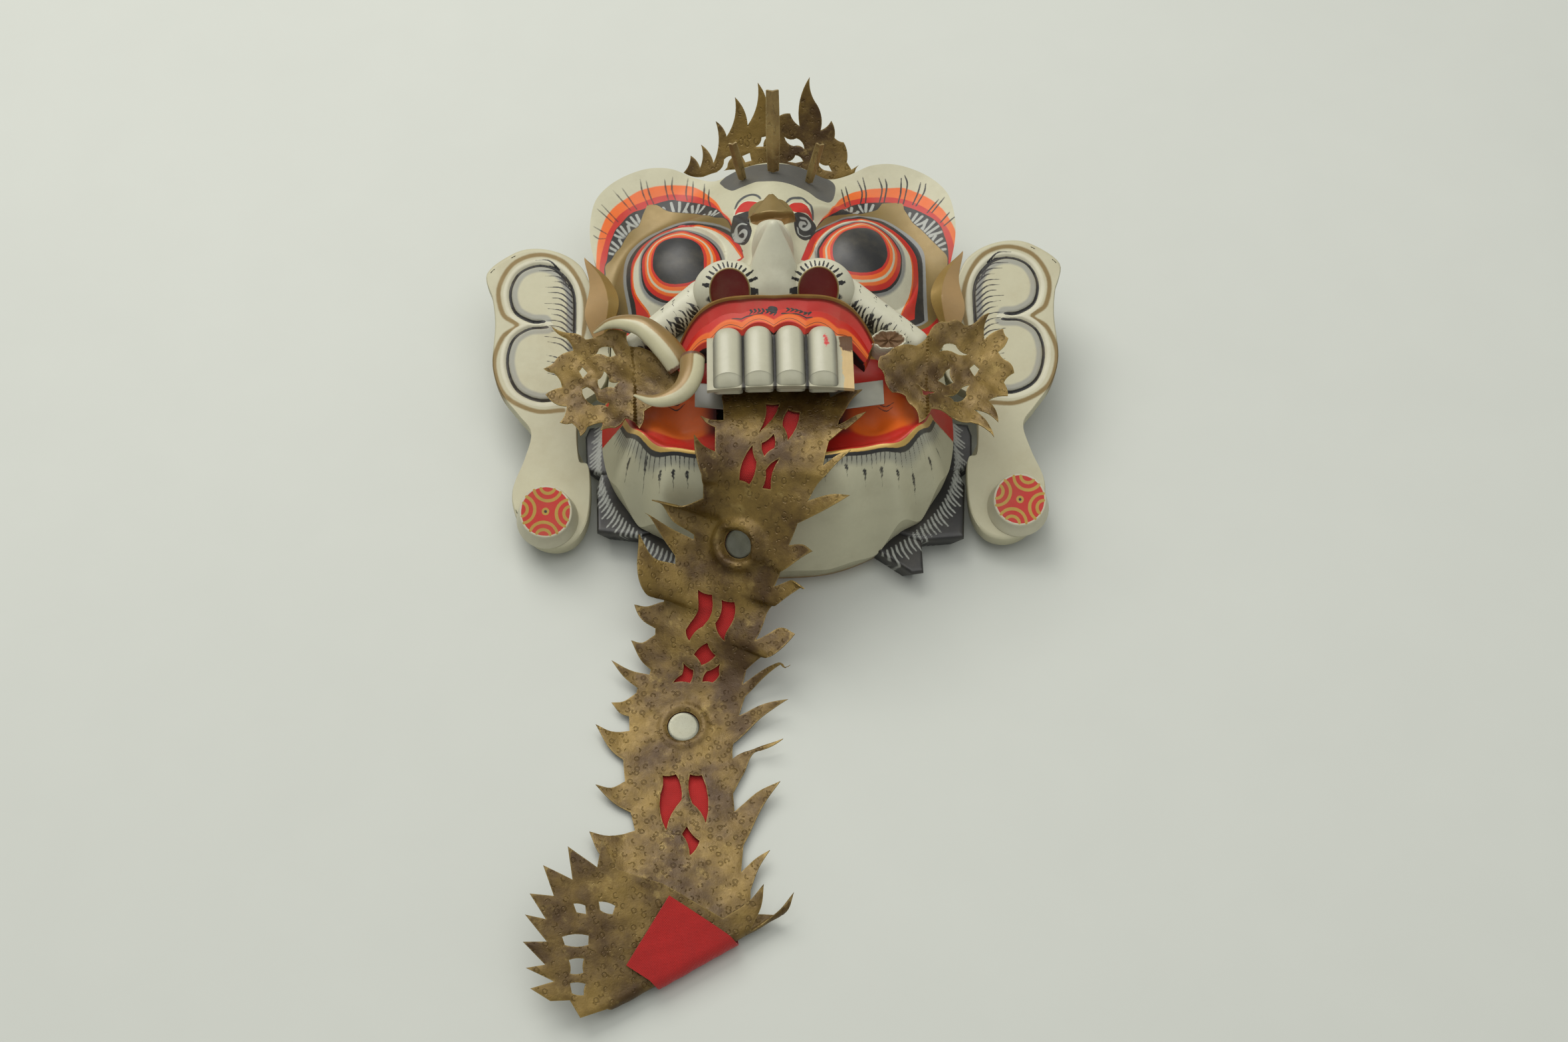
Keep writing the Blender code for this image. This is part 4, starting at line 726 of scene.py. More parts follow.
def new_group(name: str, inputs: dict[str, object], outputs: dict[str, str]) -> tuple[Nodes, object, object]:
    """A node group with named sockets.

    Args:
        name: the group's name.
        inputs: default of each input, a number or a colour.
        outputs: socket type of each output.

    Returns:
        The tree's helper and its input and output nodes.
    """
    tree = bpy.data.node_groups.new(name, "ShaderNodeTree")
    for key, value in inputs.items():
        kind = "NodeSocketColor" if isinstance(value, tuple) else "NodeSocketFloat"
        socket = tree.interface.new_socket(key, in_out="INPUT", socket_type=kind)
        socket.default_value = (*value, 1.0) if isinstance(value, tuple) else value
    for key, kind in outputs.items():
        tree.interface.new_socket(key, in_out="OUTPUT", socket_type=kind)
    nodes = Nodes(tree)
    return nodes, nodes.add("NodeGroupInput"), nodes.add("NodeGroupOutput")


def mottle_group() -> bpy.types.NodeTree:
    """Colour that wanders in value with cloudy noise at two scales."""
    n, given, out = new_group(
        "mottle", {"Colour": (0.5, 0.5, 0.5), "Amount": 0.2, "Scale": 60.0}, {"Colour": "NodeSocketColor"},
    )
    broad = n.noise(given.outputs["Scale"], 3.0)
    fine = n.noise(n.times(given.outputs["Scale"], 9.0), 3.0)
    both = n.plus(n.times(broad, 0.65), n.times(fine, 0.35))
    amount = n.times(given.outputs["Amount"], 2.0)
    swing = n.times(n.minus(both, 0.5), amount)
    node = n.add("ShaderNodeHueSaturation")
    n.feed(node.inputs["Value"], n.plus(swing, 1.0))
    n.feed(node.inputs["Color"], given.outputs["Colour"])
    n.feed(out.inputs["Colour"], node.outputs[0])
    return n.tree


def coat_group() -> bpy.types.NodeTree:
    """A coat of paint over another: it shows where a signed distance in millimetres is under its growth."""
    n, given, out = new_group(
        "coat", {"Under": (0, 0, 0), "Paint": (1, 1, 1), "Distance": 1.0, "Grow": 0.0, "Soft": 0.2,
                 "Wobble": 0.2, "Cover": 1.0},
        {"Colour": "NodeSocketColor", "Mask": "NodeSocketFloat"},
    )
    sway = n.times(n.minus(n.noise(420.0, 2.0), 0.5), given.outputs["Wobble"])
    edge = n.plus(n.minus(given.outputs["Distance"], given.outputs["Grow"]), sway)
    mask = n.minus(1.0, n.step(edge, n.times(given.outputs["Soft"], -1.0), given.outputs["Soft"]))
    thin = n.step(n.noise(900.0, 3.0), 0.2, 0.5)
    cover = n.plus(given.outputs["Cover"], n.times(n.minus(1.0, given.outputs["Cover"]), thin), clamp=True)
    mask = n.times(mask, cover)
    n.feed(out.inputs["Colour"], n.mix(mask, given.outputs["Under"], given.outputs["Paint"]))
    n.feed(out.inputs["Mask"], mask)
    return n.tree


def grime_group() -> bpy.types.NodeTree:
    """Dust and handling dirt: a tint laid on in soft clouds and small specks."""
    n, given, out = new_group(
        "grime", {"Colour": (0.5, 0.5, 0.5), "Tint": (0.2, 0.17, 0.1), "Amount": 0.3, "Specks": 0.3},
        {"Colour": "NodeSocketColor", "Mask": "NodeSocketFloat"},
    )
    cloud = n.step(n.noise(38.0, 6.0, 0.65), 0.42, 0.78)
    speck = n.step(n.noise(1500.0, 1.0), 0.74, 0.8)
    mask = n.plus(n.times(cloud, given.outputs["Amount"]),
                  n.times(speck, given.outputs["Specks"]), clamp=True)
    n.feed(out.inputs["Colour"], n.mix(mask, given.outputs["Colour"], given.outputs["Tint"]))
    n.feed(out.inputs["Mask"], mask)
    return n.tree


def brush_group() -> bpy.types.NodeTree:
    """Height of brushed paint over carved wood: long faint grain, brush marks and fine pits."""
    n, given, out = new_group(
        "brushed_paint", {"Grain": 0.4, "Marks": 0.4, "Pits": 0.2}, {"Height": "NodeSocketFloat"},
    )
    grain = n.noise(1.0, 3.0, 0.5, n.stretched((900, 60, 900)))
    marks = n.noise(1.0, 2.0, 0.5, n.stretched((180, 420, 180)))
    pits = n.step(n.noise(700.0, 2.0), 0.66, 0.72)
    height = n.plus(n.times(grain, given.outputs["Grain"]), n.times(marks, given.outputs["Marks"]))
    n.feed(out.inputs["Height"], n.minus(height, n.times(pits, given.outputs["Pits"])))
    return n.tree


def lash_group() -> bpy.types.NodeTree:
    """Rows of tapered brush strokes: wedges repeat across one coordinate, between two ends of the other."""
    n, given, out = new_group(
        "lash_row", {"Count": 0.0, "Along": 0.0, "Start": 0.0, "End": 1.0, "Width": 0.2},
        {"Distance": "NodeSocketFloat"},
    )
    lane = n.math("ABSOLUTE", n.minus(n.math("FRACT", given.outputs["Count"]), 0.5))
    number = n.math("FLOOR", given.outputs["Count"])
    odd = n.math("FRACT", n.times(n.math("SINE", n.times(number, 12.99)), 43.7))
    reach = n.minus(given.outputs["End"], given.outputs["Start"])
    share = n.math("DIVIDE", n.minus(given.outputs["Along"], given.outputs["Start"]),
                   n.times(reach, n.plus(0.75, n.times(odd, 0.35))))
    wide = n.times(given.outputs["Width"], n.minus(1.0, n.times(share, 0.5)))
    side = n.minus(lane, wide)
    ends = n.math("MAXIMUM", n.times(share, -1.0), n.minus(share, 1.0))
    n.feed(out.inputs["Distance"], n.math("MAXIMUM", side, n.times(ends, 0.5)))
    return n.tree


def punch_group() -> bpy.types.NodeTree:
    """Height of small crescent punches: rings about scattered centres, kept on one side of each centre."""
    n, given, out = new_group("punches", {"Scale": 120.0, "Depth": 1.0}, {"Height": "NodeSocketFloat"})
    cells = n.add("ShaderNodeTexVoronoi", feature="F1", voronoi_dimensions="2D")
    n.feed(cells.inputs["Vector"], n.place())
    n.feed(cells.inputs["Scale"], given.outputs["Scale"])
    cells.inputs["Randomness"].default_value = 0.75
    ring = n.math("ABSOLUTE", n.minus(cells.outputs["Distance"], 0.24))
    line = n.minus(1.0, n.step(ring, 0.03, 0.09))
    kept = n.step(n.noise(170.0, 1.0), 0.5, 0.56)
    n.feed(out.inputs["Height"], n.times(n.times(line, kept), given.outputs["Depth"]))
    return n.tree


def weave_group() -> bpy.types.NodeTree:
    """Height of a plain weave: two crossed rows of threads, over and under by turns."""
    n, given, out = new_group("plain_weave", {"Threads": 1400.0}, {"Height": "NodeSocketFloat"})
    parts = n.add("ShaderNodeSeparateXYZ")
    n.feed(parts.inputs[0], n.place())
    turns = [n.times(parts.outputs[axis], given.outputs["Threads"]) for axis in (0, 1)]
    waves = [n.math("ABSOLUTE", n.math("SINE", n.times(turn, math.pi))) for turn in turns]
    sums = n.plus(n.math("FLOOR", turns[0]), n.math("FLOOR", turns[1]))
    over = n.math("ABSOLUTE", n.math("MODULO", sums, 2.0))
    first = n.times(waves[0], over)
    second = n.times(waves[1], n.minus(1.0, over))
    n.feed(out.inputs["Height"], n.plus(first, second))
    return n.tree


@dataclass(frozen=True)
class Groups:
    """The effects that several finishes share."""

    mottle: bpy.types.NodeTree
    coat: bpy.types.NodeTree
    grime: bpy.types.NodeTree
    brushed: bpy.types.NodeTree
    lashes: bpy.types.NodeTree
    punches: bpy.types.NodeTree
    weave: bpy.types.NodeTree


GROUPS = Groups(mottle_group(), coat_group(), grime_group(), brush_group(), lash_group(), punch_group(),
                weave_group())


def new_finish(name: str) -> tuple[bpy.types.Material, Nodes, bpy.types.Node]:
    """A material, its tree's helper and its Principled shader."""
    made = bpy.data.materials.new(name)
    made.use_nodes = True
    return made, Nodes(made.node_tree), made.node_tree.nodes["Principled BSDF"]


@dataclass(frozen=True)
class Coat:
    """One coat of paint, laid where an attribute's signed distance is under its growth."""

    read: str
    colour: Colour
    grow: float = 0.0
    soft: float = 0.18
    wobble: float = 0.35
    cover: float = 1.0
    gloss: float | None = None
    metal: float = 0.0
    strength: float = 1.0


@dataclass(frozen=True)
class PaintedWood:
    """Carved wood under a ground colour and coats of paint, dusty and a little worn."""

    name: str
    ground: Colour
    coats: tuple[Coat, ...] = ()
    roughness: float = 0.5
    mottle: float = 0.10
    grime: float = 0.22
    tint: Colour = (0.20, 0.165, 0.09)
    grain: float = 0.25
    bump: float = 0.12
    clear: float = 0.0

    def build(self) -> bpy.types.Material:
        """Lays the coats over the ground, then dirt over all, and brings gloss and metal along with each."""
        made, n, shader = new_finish(self.name)
        colour = n.group(GROUPS.mottle, Colour=self.ground, Amount=self.mottle, Scale=45.0).outputs[0]
        rough: object = self.roughness
        metal: object = 0.0
        for coat in self.coats:
            paint = n.group(GROUPS.mottle, Colour=coat.colour, Amount=self.mottle * 1.3,
                            Scale=70.0).outputs[0]
            laid = n.group(GROUPS.coat, Under=colour, Paint=paint, Distance=n.read(coat.read), Grow=coat.grow,
                           Soft=coat.soft, Wobble=coat.wobble, Cover=coat.cover)
            mask = laid.outputs["Mask"]
            if coat.strength < 1.0:
                mask = n.times(mask, coat.strength)
                colour = n.mix(mask, colour, paint)
            else:
                colour = laid.outputs["Colour"]
            if coat.gloss is not None or isinstance(rough, bpy.types.NodeSocket):
                rough = self.blend(n, mask, rough, self.roughness if coat.gloss is None else coat.gloss)
            if coat.metal or isinstance(metal, bpy.types.NodeSocket):
                metal = self.blend(n, mask, metal, coat.metal)
        dirty = n.group(GROUPS.grime, Colour=colour, Tint=self.tint, Amount=self.grime,
                        Specks=self.grime * 0.8)
        n.feed(shader.inputs["Base Color"], dirty.outputs["Colour"])
        wander = n.times(n.minus(n.noise(160.0, 4.0), 0.5), 0.22)
        base = n.plus(rough, wander, clamp=True)
        n.feed(shader.inputs["Roughness"], n.plus(base, n.times(dirty.outputs["Mask"], 0.2), clamp=True))
        if isinstance(metal, bpy.types.NodeSocket):
            n.feed(shader.inputs["Metallic"], metal)
        n.feed(shader.inputs["Coat Weight"], self.clear)
        n.feed(shader.inputs["Coat Roughness"], 0.25)
        height = n.group(GROUPS.brushed, Grain=self.grain, Marks=0.5, Pits=0.3).outputs[0]
        bump = n.add("ShaderNodeBump")
        n.feed(bump.inputs["Height"], height)
        n.feed(bump.inputs["Strength"], self.bump)
        n.feed(bump.inputs["Distance"], 0.0006)
        n.feed(shader.inputs["Normal"], bump.outputs[0])
        return made

    @staticmethod
    def blend(n: Nodes, mask: object, under: object, over: float) -> bpy.types.NodeSocket:
        """Number between two numbers by a mask: under + mask * (over - under)."""
        return n.plus(under, n.times(mask, n.minus(over, under)))


@dataclass(frozen=True)
class GiltLeather:
    """Gilded hide: dull brown gold clouded with darker hide, rubbed bright in patches, with a painted
    highlight along its cut edges and painted shade in its punches.
    """

    name: str
    gold: Colour = srgb(130, 105, 48)
    worn_and_highlight: Colour = srgb(166, 142, 84)
    dark: Colour = srgb(66, 44, 10)
    punched: float = 1.0
    metal: float = 0.42
    roughness: float = 0.44

    def build(self) -> bpy.types.Material:
        """Mixes dark hide and gold by noise, lightens cut edges with a painted highlight and punches the
        surface, with painted shade in the punches.
        """
        made, n, shader = new_finish(self.name)
        cloud = n.step(n.noise(26.0, 6.0, 0.62), 0.34, 0.68)
        colour = n.mix(cloud, self.dark, self.gold)
        colour = n.group(GROUPS.mottle, Colour=colour, Amount=0.2, Scale=120.0).outputs[0]
        # Painted highlight along the cut edges, and rubbed gilt in noise patches: both lighten to the same
        # brighter gold and raise the metal.
        worn_and_highlight = n.plus(n.read("edge"), n.times(n.noise(320.0), 1.6))
        edge = n.minus(1.0, n.step(worn_and_highlight, 0.7, 1.6))
        rubbed = n.step(n.noise(75.0, 5.0, 0.7), 0.55, 0.74)
        shine = n.math("MAXIMUM", n.times(edge, 0.4), n.times(rubbed, 0.5))
        colour = n.mix(shine, colour, self.worn_and_highlight)
        punch = n.group(GROUPS.punches, Scale=190.0, Depth=self.punched).outputs[0]
        # Painted shade: the punched dents are darkened toward the dark hide colour.
        colour = n.mix(n.times(punch, 0.25), colour, self.dark)
        n.feed(shader.inputs["Base Color"], colour)
        bright = n.plus(0.75, n.times(shine, 0.5))
        n.feed(shader.inputs["Metallic"], n.times(bright, self.metal))
        uneven = n.times(n.minus(n.noise(240.0), 0.5), 0.4)
        n.feed(shader.inputs["Roughness"], n.plus(self.roughness, uneven))
        pores = n.noise(900.0, 3.0, 0.6)
        creases = n.noise(70.0, 5.0, 0.6)
        height = n.plus(n.times(pores, 0.25), n.times(creases, 1.1))
        height = n.minus(height, n.times(punch, 0.7))
        bump = n.add("ShaderNodeBump")
        n.feed(bump.inputs["Height"], height)
        n.feed(bump.inputs["Strength"], 0.55)
        n.feed(bump.inputs["Distance"], 0.0012)
        n.feed(shader.inputs["Normal"], bump.outputs[0])
        return made


@dataclass(frozen=True)
class Cloth:
    """Red cotton in a plain weave, faded in patches."""

    name: str
    colour: Colour = srgb(176, 22, 16)

    def build(self) -> bpy.types.Material:
        """Weave in the height, and in the colour as painted shade that darkens the low parts of the weave."""
        made, n, shader = new_finish(self.name)
        weave = n.group(GROUPS.weave, Threads=1500.0).outputs[0]
        colour = n.group(GROUPS.mottle, Colour=self.colour, Amount=0.3, Scale=40.0).outputs[0]
        # Painted shade: the colour darkens where the weave dips between threads.
        colour = n.mix(n.times(n.minus(1.0, weave), 0.35), colour, (0.12, 0.004, 0.003))
        n.feed(shader.inputs["Base Color"], colour)
        n.feed(shader.inputs["Roughness"], n.plus(0.82, n.times(n.noise(300.0), 0.12)))
        shader.inputs["Sheen Weight"].default_value = 0.2
        shader.inputs["Sheen Roughness"].default_value = 0.5
        bump = n.add("ShaderNodeBump")
        n.feed(bump.inputs["Height"], weave)
        n.feed(bump.inputs["Strength"], 0.5)
        n.feed(bump.inputs["Distance"], 0.0004)
        n.feed(shader.inputs["Normal"], bump.outputs[0])
        return made


@dataclass(frozen=True)
class Glass:
    """Small old mirror: silvered glass, cloudy and flecked."""

    name: str

    def build(self) -> bpy.types.Material:
        """Grey metal whose roughness and colour wander with clouds and flecks."""
        made, n, shader = new_finish(self.name)
        cloud = n.noise(160.0, 5.0, 0.6)
        fleck = n.step(n.noise(1300.0, 2.0), 0.63, 0.72)
        colour = n.mix(cloud, srgb(96, 94, 78), srgb(140, 140, 126))
        n.feed(shader.inputs["Base Color"], n.mix(n.times(fleck, 0.6), colour, srgb(90, 84, 66)))
        n.feed(shader.inputs["Metallic"], n.minus(0.85, n.times(fleck, 0.6)))
        n.feed(shader.inputs["Roughness"], n.plus(0.2, n.times(cloud, 0.3)))
        return made


# Colours read from the object under soft light

CREAM = srgb(184, 180, 152)
BONE = srgb(194, 191, 168)
INK = srgb(30, 29, 28)
SMOKE = srgb(128, 129, 125)
CHALK = srgb(158, 160, 152)
VERMILION = srgb(184, 32, 18)
TANGERINE = srgb(216, 98, 22)
OCHRE_GOLD = srgb(128, 107, 60)
MAROON = srgb(92, 20, 14)
ROSE = srgb(214, 140, 120)
RAW_WOOD = srgb(176, 142, 98)


class Slot(Enum):
    """Material slots of the record."""

    WOOD = "painted_wood"
    EAR = "ear_paint"
    PLUG = "plug_paint"
    TUSK = "tusk_paint"
    LEAF = "leaf_gilding"
    LEATHER = "gilded_leather"
    CLOTH = "red_cloth"
    GLASS = "mirror_glass"
    STRIP = "pale_strip"


HUNG_CURLS = [
    (-90.2, 0.9, -93.7, -3.6), (-79.3, -4.5, -83.0, -11.0), (-71.4, -13.0, -72.2, -19.8),
    (-63.3, -15.1, -63.6, -21.5), (-55.3, -16.1, -54.8, -21.5), (26.4, -20.5, 27.0, -25.0),
    (39.3, -16.9, 40.2, -22.6), (50.4, -17.1, 51.4, -23.0), (60.4, -15.4, 61.4, -21.6),
    (70.4, -14.5, 71.6, -20.5), (80.6, -9.0, 83.4, -14.8), (90.6, -0.2, 94.0, -4.4),
    (96.3, 12.2, 100.2, 9.4),
]


@dataclass
class FacePaint:
    """Signed distances of everything painted on the carved skin."""

    nested: tuple[str, ...] = ("sclera", "rim", "liner", "lid", "gold", "black", "red", "orange")
    shares: tuple[tuple[str, float], ...] = (("iris_in", 0.18), ("iris_low", 0.42), ("iris_mid", 0.56),
                                             ("iris_out", 0.74))

    def polar_edge(self, side: str, name: str, centre: Array, theta: Array) -> Array:
        """Radius of one of an eye's edges in each direction, by a smooth curve through its points.

        Args:
            side: which eye.
            name: which edge.
            centre: middle of the pupil.
            theta: directions, 0 toward the nose and a quarter turn toward the brow.

        Returns:
            Radii in millimetres.
        """
        flip = -1.0 if side == "right" else 1.0
        closed = name in ("pupil", "iris", "ring", "shade")
        curve = (spline(EYE_EDGES[side][name], 6, closed) - centre) * (flip, 1.0)
        angle = (np.arctan2(curve[:, 1], curve[:, 0]) + math.pi / 3) % (2 * math.pi) - math.pi / 3
        radius = np.hypot(curve[:, 0], curve[:, 1])
        order = np.argsort(angle)
        angle, radius = angle[order], radius[order]
        if closed:
            return np.interp(theta, angle, radius, period=2 * math.pi)
        if name == "sclera":
            angle = np.append(angle, angle[-1] + 0.05)
            radius = np.append(radius, 100.0)
        return np.where(theta < angle[0], 0.0, np.interp(theta, angle, radius))

    def eyes(self, x: Array, y: Array) -> dict[str, Array]:
        """Distances to the edges about both eyes: radius less the edge's radius, the lesser of the two eyes.

        Args:
            x: plan coordinates.
            y: plan coordinates.

        Returns:
            A field for each edge.
        """
        below = np.interp(np.abs(x + 1), [0, 20, 44, 65, 88, 120], [110, 104, 99, 86, 84, 92]) - y
        fields: dict[str, Array] = {}
        for side in EYES:
            centre = np.mean(EYE_EDGES[side]["pupil"], axis=0)
            dx = (x - centre[0]) * (-1.0 if side == "right" else 1.0)
            dy = y - centre[1]
            theta = (np.arctan2(dy, dx) + math.pi / 3) % (2 * math.pi) - math.pi / 3
            radius = np.hypot(dx, dy)
            edges = {name: self.polar_edge(side, name, centre, theta) for name in EYE_EDGES[side]}
            rim = edges["rim"]
            for name in self.nested[2:]:
                edges[name] = np.maximum(edges[name], rim)
            for name, share in self.shares:
                edges[name] = edges["pupil"] + share * (edges["iris"] - edges["pupil"])
            for name, edge in edges.items():
                value = radius - edge
                if name in self.nested:
                    value = np.maximum(value, below)
                fields[name] = np.minimum(fields.get(name, 6.0), np.minimum(value, 6.0))
        return fields

    def curls(self, x: Array, y: Array, fields: dict[str, Array]) -> Array:
        """Clusters of rounded white fingers in the dark field over each lid, spread from their foot."""
        fingers = []
        for cx, cy, radius in BROW_CURLS:
            eye = EYES["left" if cx < 0 else "right"]
            up = unit(np.array([cx - eye[0], cy - eye[1]]))
            side = np.array([up[1], -up[0]])
            foot = np.array([cx, cy]) - up * radius * 1.1
            for lean in np.linspace(-1.0, 1.0, 4):
                tip = foot + up * radius * (1.8 - 0.5 * lean * lean) + side * radius * 1.3 * lean
                middle = (foot + tip) / 2 + side * radius * 0.35 * lean
                fingers.append(spline([foot + side * radius * 0.55 * lean, middle, tip], 4))
        white = stroke_field(x, y, fingers, 0.95, (0.5, 1.0))
        return np.maximum(white, np.maximum(fields["black"] + 0.4, 0.3 - fields["gold"]))

    def forehead(self, x: Array, y: Array) -> dict[str, Array]:
        """Distances to the crown's dark band, the ornament with its lower face in painted shade, the
        crescents and the curled lobes.
        """
        both = {}
        for name, parts in (("crown", ["crown"]), ("gem", ["gem"]), ("gem_lip", ["gemlip"]),
                            ("moon", ["moon_left", "moon_right"]), ("lobe", ["lobe_left", "lobe_right"])):
            both[name] = np.minimum.reduce([region_field(x, y, spline(FOREHEAD[part], 4,
                                                                      True)) for part in parts])
        arcs = [spline(FOREHEAD[name], 4) for name in ("arc1", "arc2")]
        spirals = [spline(FOREHEAD[name], 4) for name in ("spiral_left", "spiral_right")]
        rings = [spline(FOREHEAD[name], 4) for name in ("outer_left", "outer_right")]
        both["arc"] = stroke_field(x, y, arcs, 1.3, (0.5, 0.5))
        both["spiral"] = np.minimum(stroke_field(x, y, spirals, 1.1, (0.5, 0.9)),
                                    stroke_field(x, y, rings, 0.5))
        return both

    def mouth(self, x: Array, y: Array) -> dict[str, Array]:
        """Distances for the lower lip, the bulges in the mouth's corners and the chin's lashes and curls."""
        lip = lip_side(x, y)
        fields = {"lip": np.clip(np.maximum(lip, y - 61), -12, 12)}
        bulges = [(np.hypot((x - cx) / rx, (y - cy) / ry) - 1) * ry
                  for cx, cy, rx, ry in ((-61, 30, 26, 18), (62, 29, 23, 17))]
        fields["bulge"] = np.minimum(np.minimum(*bulges), 6.0)
        smiles = [[(-66.9, 37.5), (-61.6, 35.4), (-56.7, 39.1)],
                  [(-66.2, 40.5), (-61.6, 38.3), (-57.5, 41.5)],
                  [(59.3, 38.6), (65.6, 35.1), (71, 37.5)], [(60, 35.8), (66, 32.2), (70.4, 34.7)]]
        fields["smile"] = stroke_field(x, y, [spline(s, 5) for s in smiles], 0.45, (0.5, 0.5))
        hole = np.array(MOUTH_HOLE, float)
        # deep: distance to the mouth's opening; the coat on it is painted shade that darkens the mouth toward
        # the opening.
        fields["deep"] = region_field(x, y, hole, 12.0)
        line = spline(LIP_LINE, 12)
        line = np.vstack([line[::-1] * (-1, 1), line[1:]])
        run = np.concatenate([[0], np.cumsum(np.hypot(*np.diff(line, axis=0).T))])
        ahead = unit(np.gradient(line, axis=0))
        lashes = []
        for i, at in enumerate(np.arange(3.0, run[-1] - 3.0, 2.9)):
            p = np.array([np.interp(at, run, line[:, k]) for k in range(2)])
            d = np.array([np.interp(at, run, ahead[:, k]) for k in range(2)])
            out = np.array([d[1], -d[0]])
            long = 4.6 + 1.2 * math.sin(i * 2.4) + (1.5 if abs(p[0]) > 80 else 0.0)
            lean = -0.12 * math.copysign(1, p[0])
            lashes.append(np.array([p + out * 2.2, p + out * (2.4 + long / 2) + d * long * lean * 0.3,
                                    p + out * (2.4 + long) + d * long * lean]))
        fields["lash"] = stroke_field(x, y, lashes, 0.36, (1.0, 0.3))
        curl = np.array([(0, 0), (1.0, -0.08), (-0.9, -0.14), (0.9, -0.24), (-0.8, -0.32), (0.7, -0.42),
                         (-0.3, -0.55), (0.2, -0.78), (-0.2, -1.0)])
        hung = []
        for px, py, qx, qy in HUNG_CURLS:
            foot, way = np.array([px, py]), np.array([qx - px, qy - py])
            hung.append(spline(foot - curl[:, 1:] * way + curl[:, :1] * (1.0, 0.0), 4))
        fields["hung"] = stroke_field(x, y, hung, 0.34, (1.0, 0.4))
        return fields

    def fields(self, x: Array, y: Array) -> dict[str, Array]:
        """All fields of the painted skin."""
        made = self.eyes(x, y)
        made["curl"] = self.curls(x, y, made)
        made.update(self.forehead(x, y))
        made.update(self.mouth(x, y))
        hairs = [spline(h, 4) for h in BROW_HAIRS]
        made["hair"] = stroke_field(x, y, hairs, 0.58, (0.6, 0.8))
        blush = np.minimum(np.hypot(x + 50, y - 104) - 8, np.hypot(x - 56, y - 106) - 10)
        made["blush"] = np.clip(blush, -12, 12)
        return made

    @staticmethod
    def coats() -> tuple[Coat, ...]:
        """The coats in the order in which they were painted."""
        return (
            Coat("orange", TANGERINE, soft=0.5), Coat("red", VERMILION, soft=0.35),
            Coat("black", INK), Coat("curl", CHALK, soft=0.3),
            Coat("gold", OCHRE_GOLD, metal=0.3, gloss=0.42), Coat("lid", SMOKE, soft=0.3),
            Coat("liner", INK, soft=0.3),
            Coat("rim", VERMILION), Coat("sclera", TANGERINE, grow=0.9), Coat("sclera", BONE, grow=0.0),
            Coat("blush", ROSE, soft=9.0, strength=0.45), Coat("shade", SMOKE, soft=0.8), Coat("ring", INK),
            Coat("iris", VERMILION), Coat("iris_out", TANGERINE, soft=0.3), Coat("iris_mid", CREAM, soft=0.3),
            Coat("iris_low", TANGERINE, soft=0.3), Coat("iris_in", VERMILION), Coat("pupil", INK, gloss=0.4),
            Coat("hair", INK, soft=0.25), Coat("crown", srgb(84, 83, 78)), Coat("moon", BONE, grow=1.1),
            Coat("moon", VERMILION), Coat("arc", srgb(72, 74, 74), soft=0.4), Coat("lobe", INK),
            Coat("spiral", CHALK, soft=0.3),
            Coat("gem", OCHRE_GOLD, metal=0.35, gloss=0.4),
            # Painted shade: the ornament's lower face in dark brown.
            Coat("gem_lip", srgb(112, 82, 34), metal=0.3, soft=0.8),
            Coat("lip", SMOKE, grow=6.0, soft=1.6, strength=0.55), Coat("lash", INK, soft=0.25),
            Coat("hung", INK, soft=0.25), Coat("lip", INK, grow=2.8),
            Coat("lip", srgb(196, 160, 84), grow=1.2, metal=0.3, gloss=0.35),
            Coat("lip", VERMILION, grow=-1.0),
            Coat("bulge", TANGERINE, soft=2.0),
            # Painted shade: dark red that deepens toward the mouth's opening.
            Coat("deep", MAROON, grow=5.0, soft=4.5), Coat("smile", INK),
        )


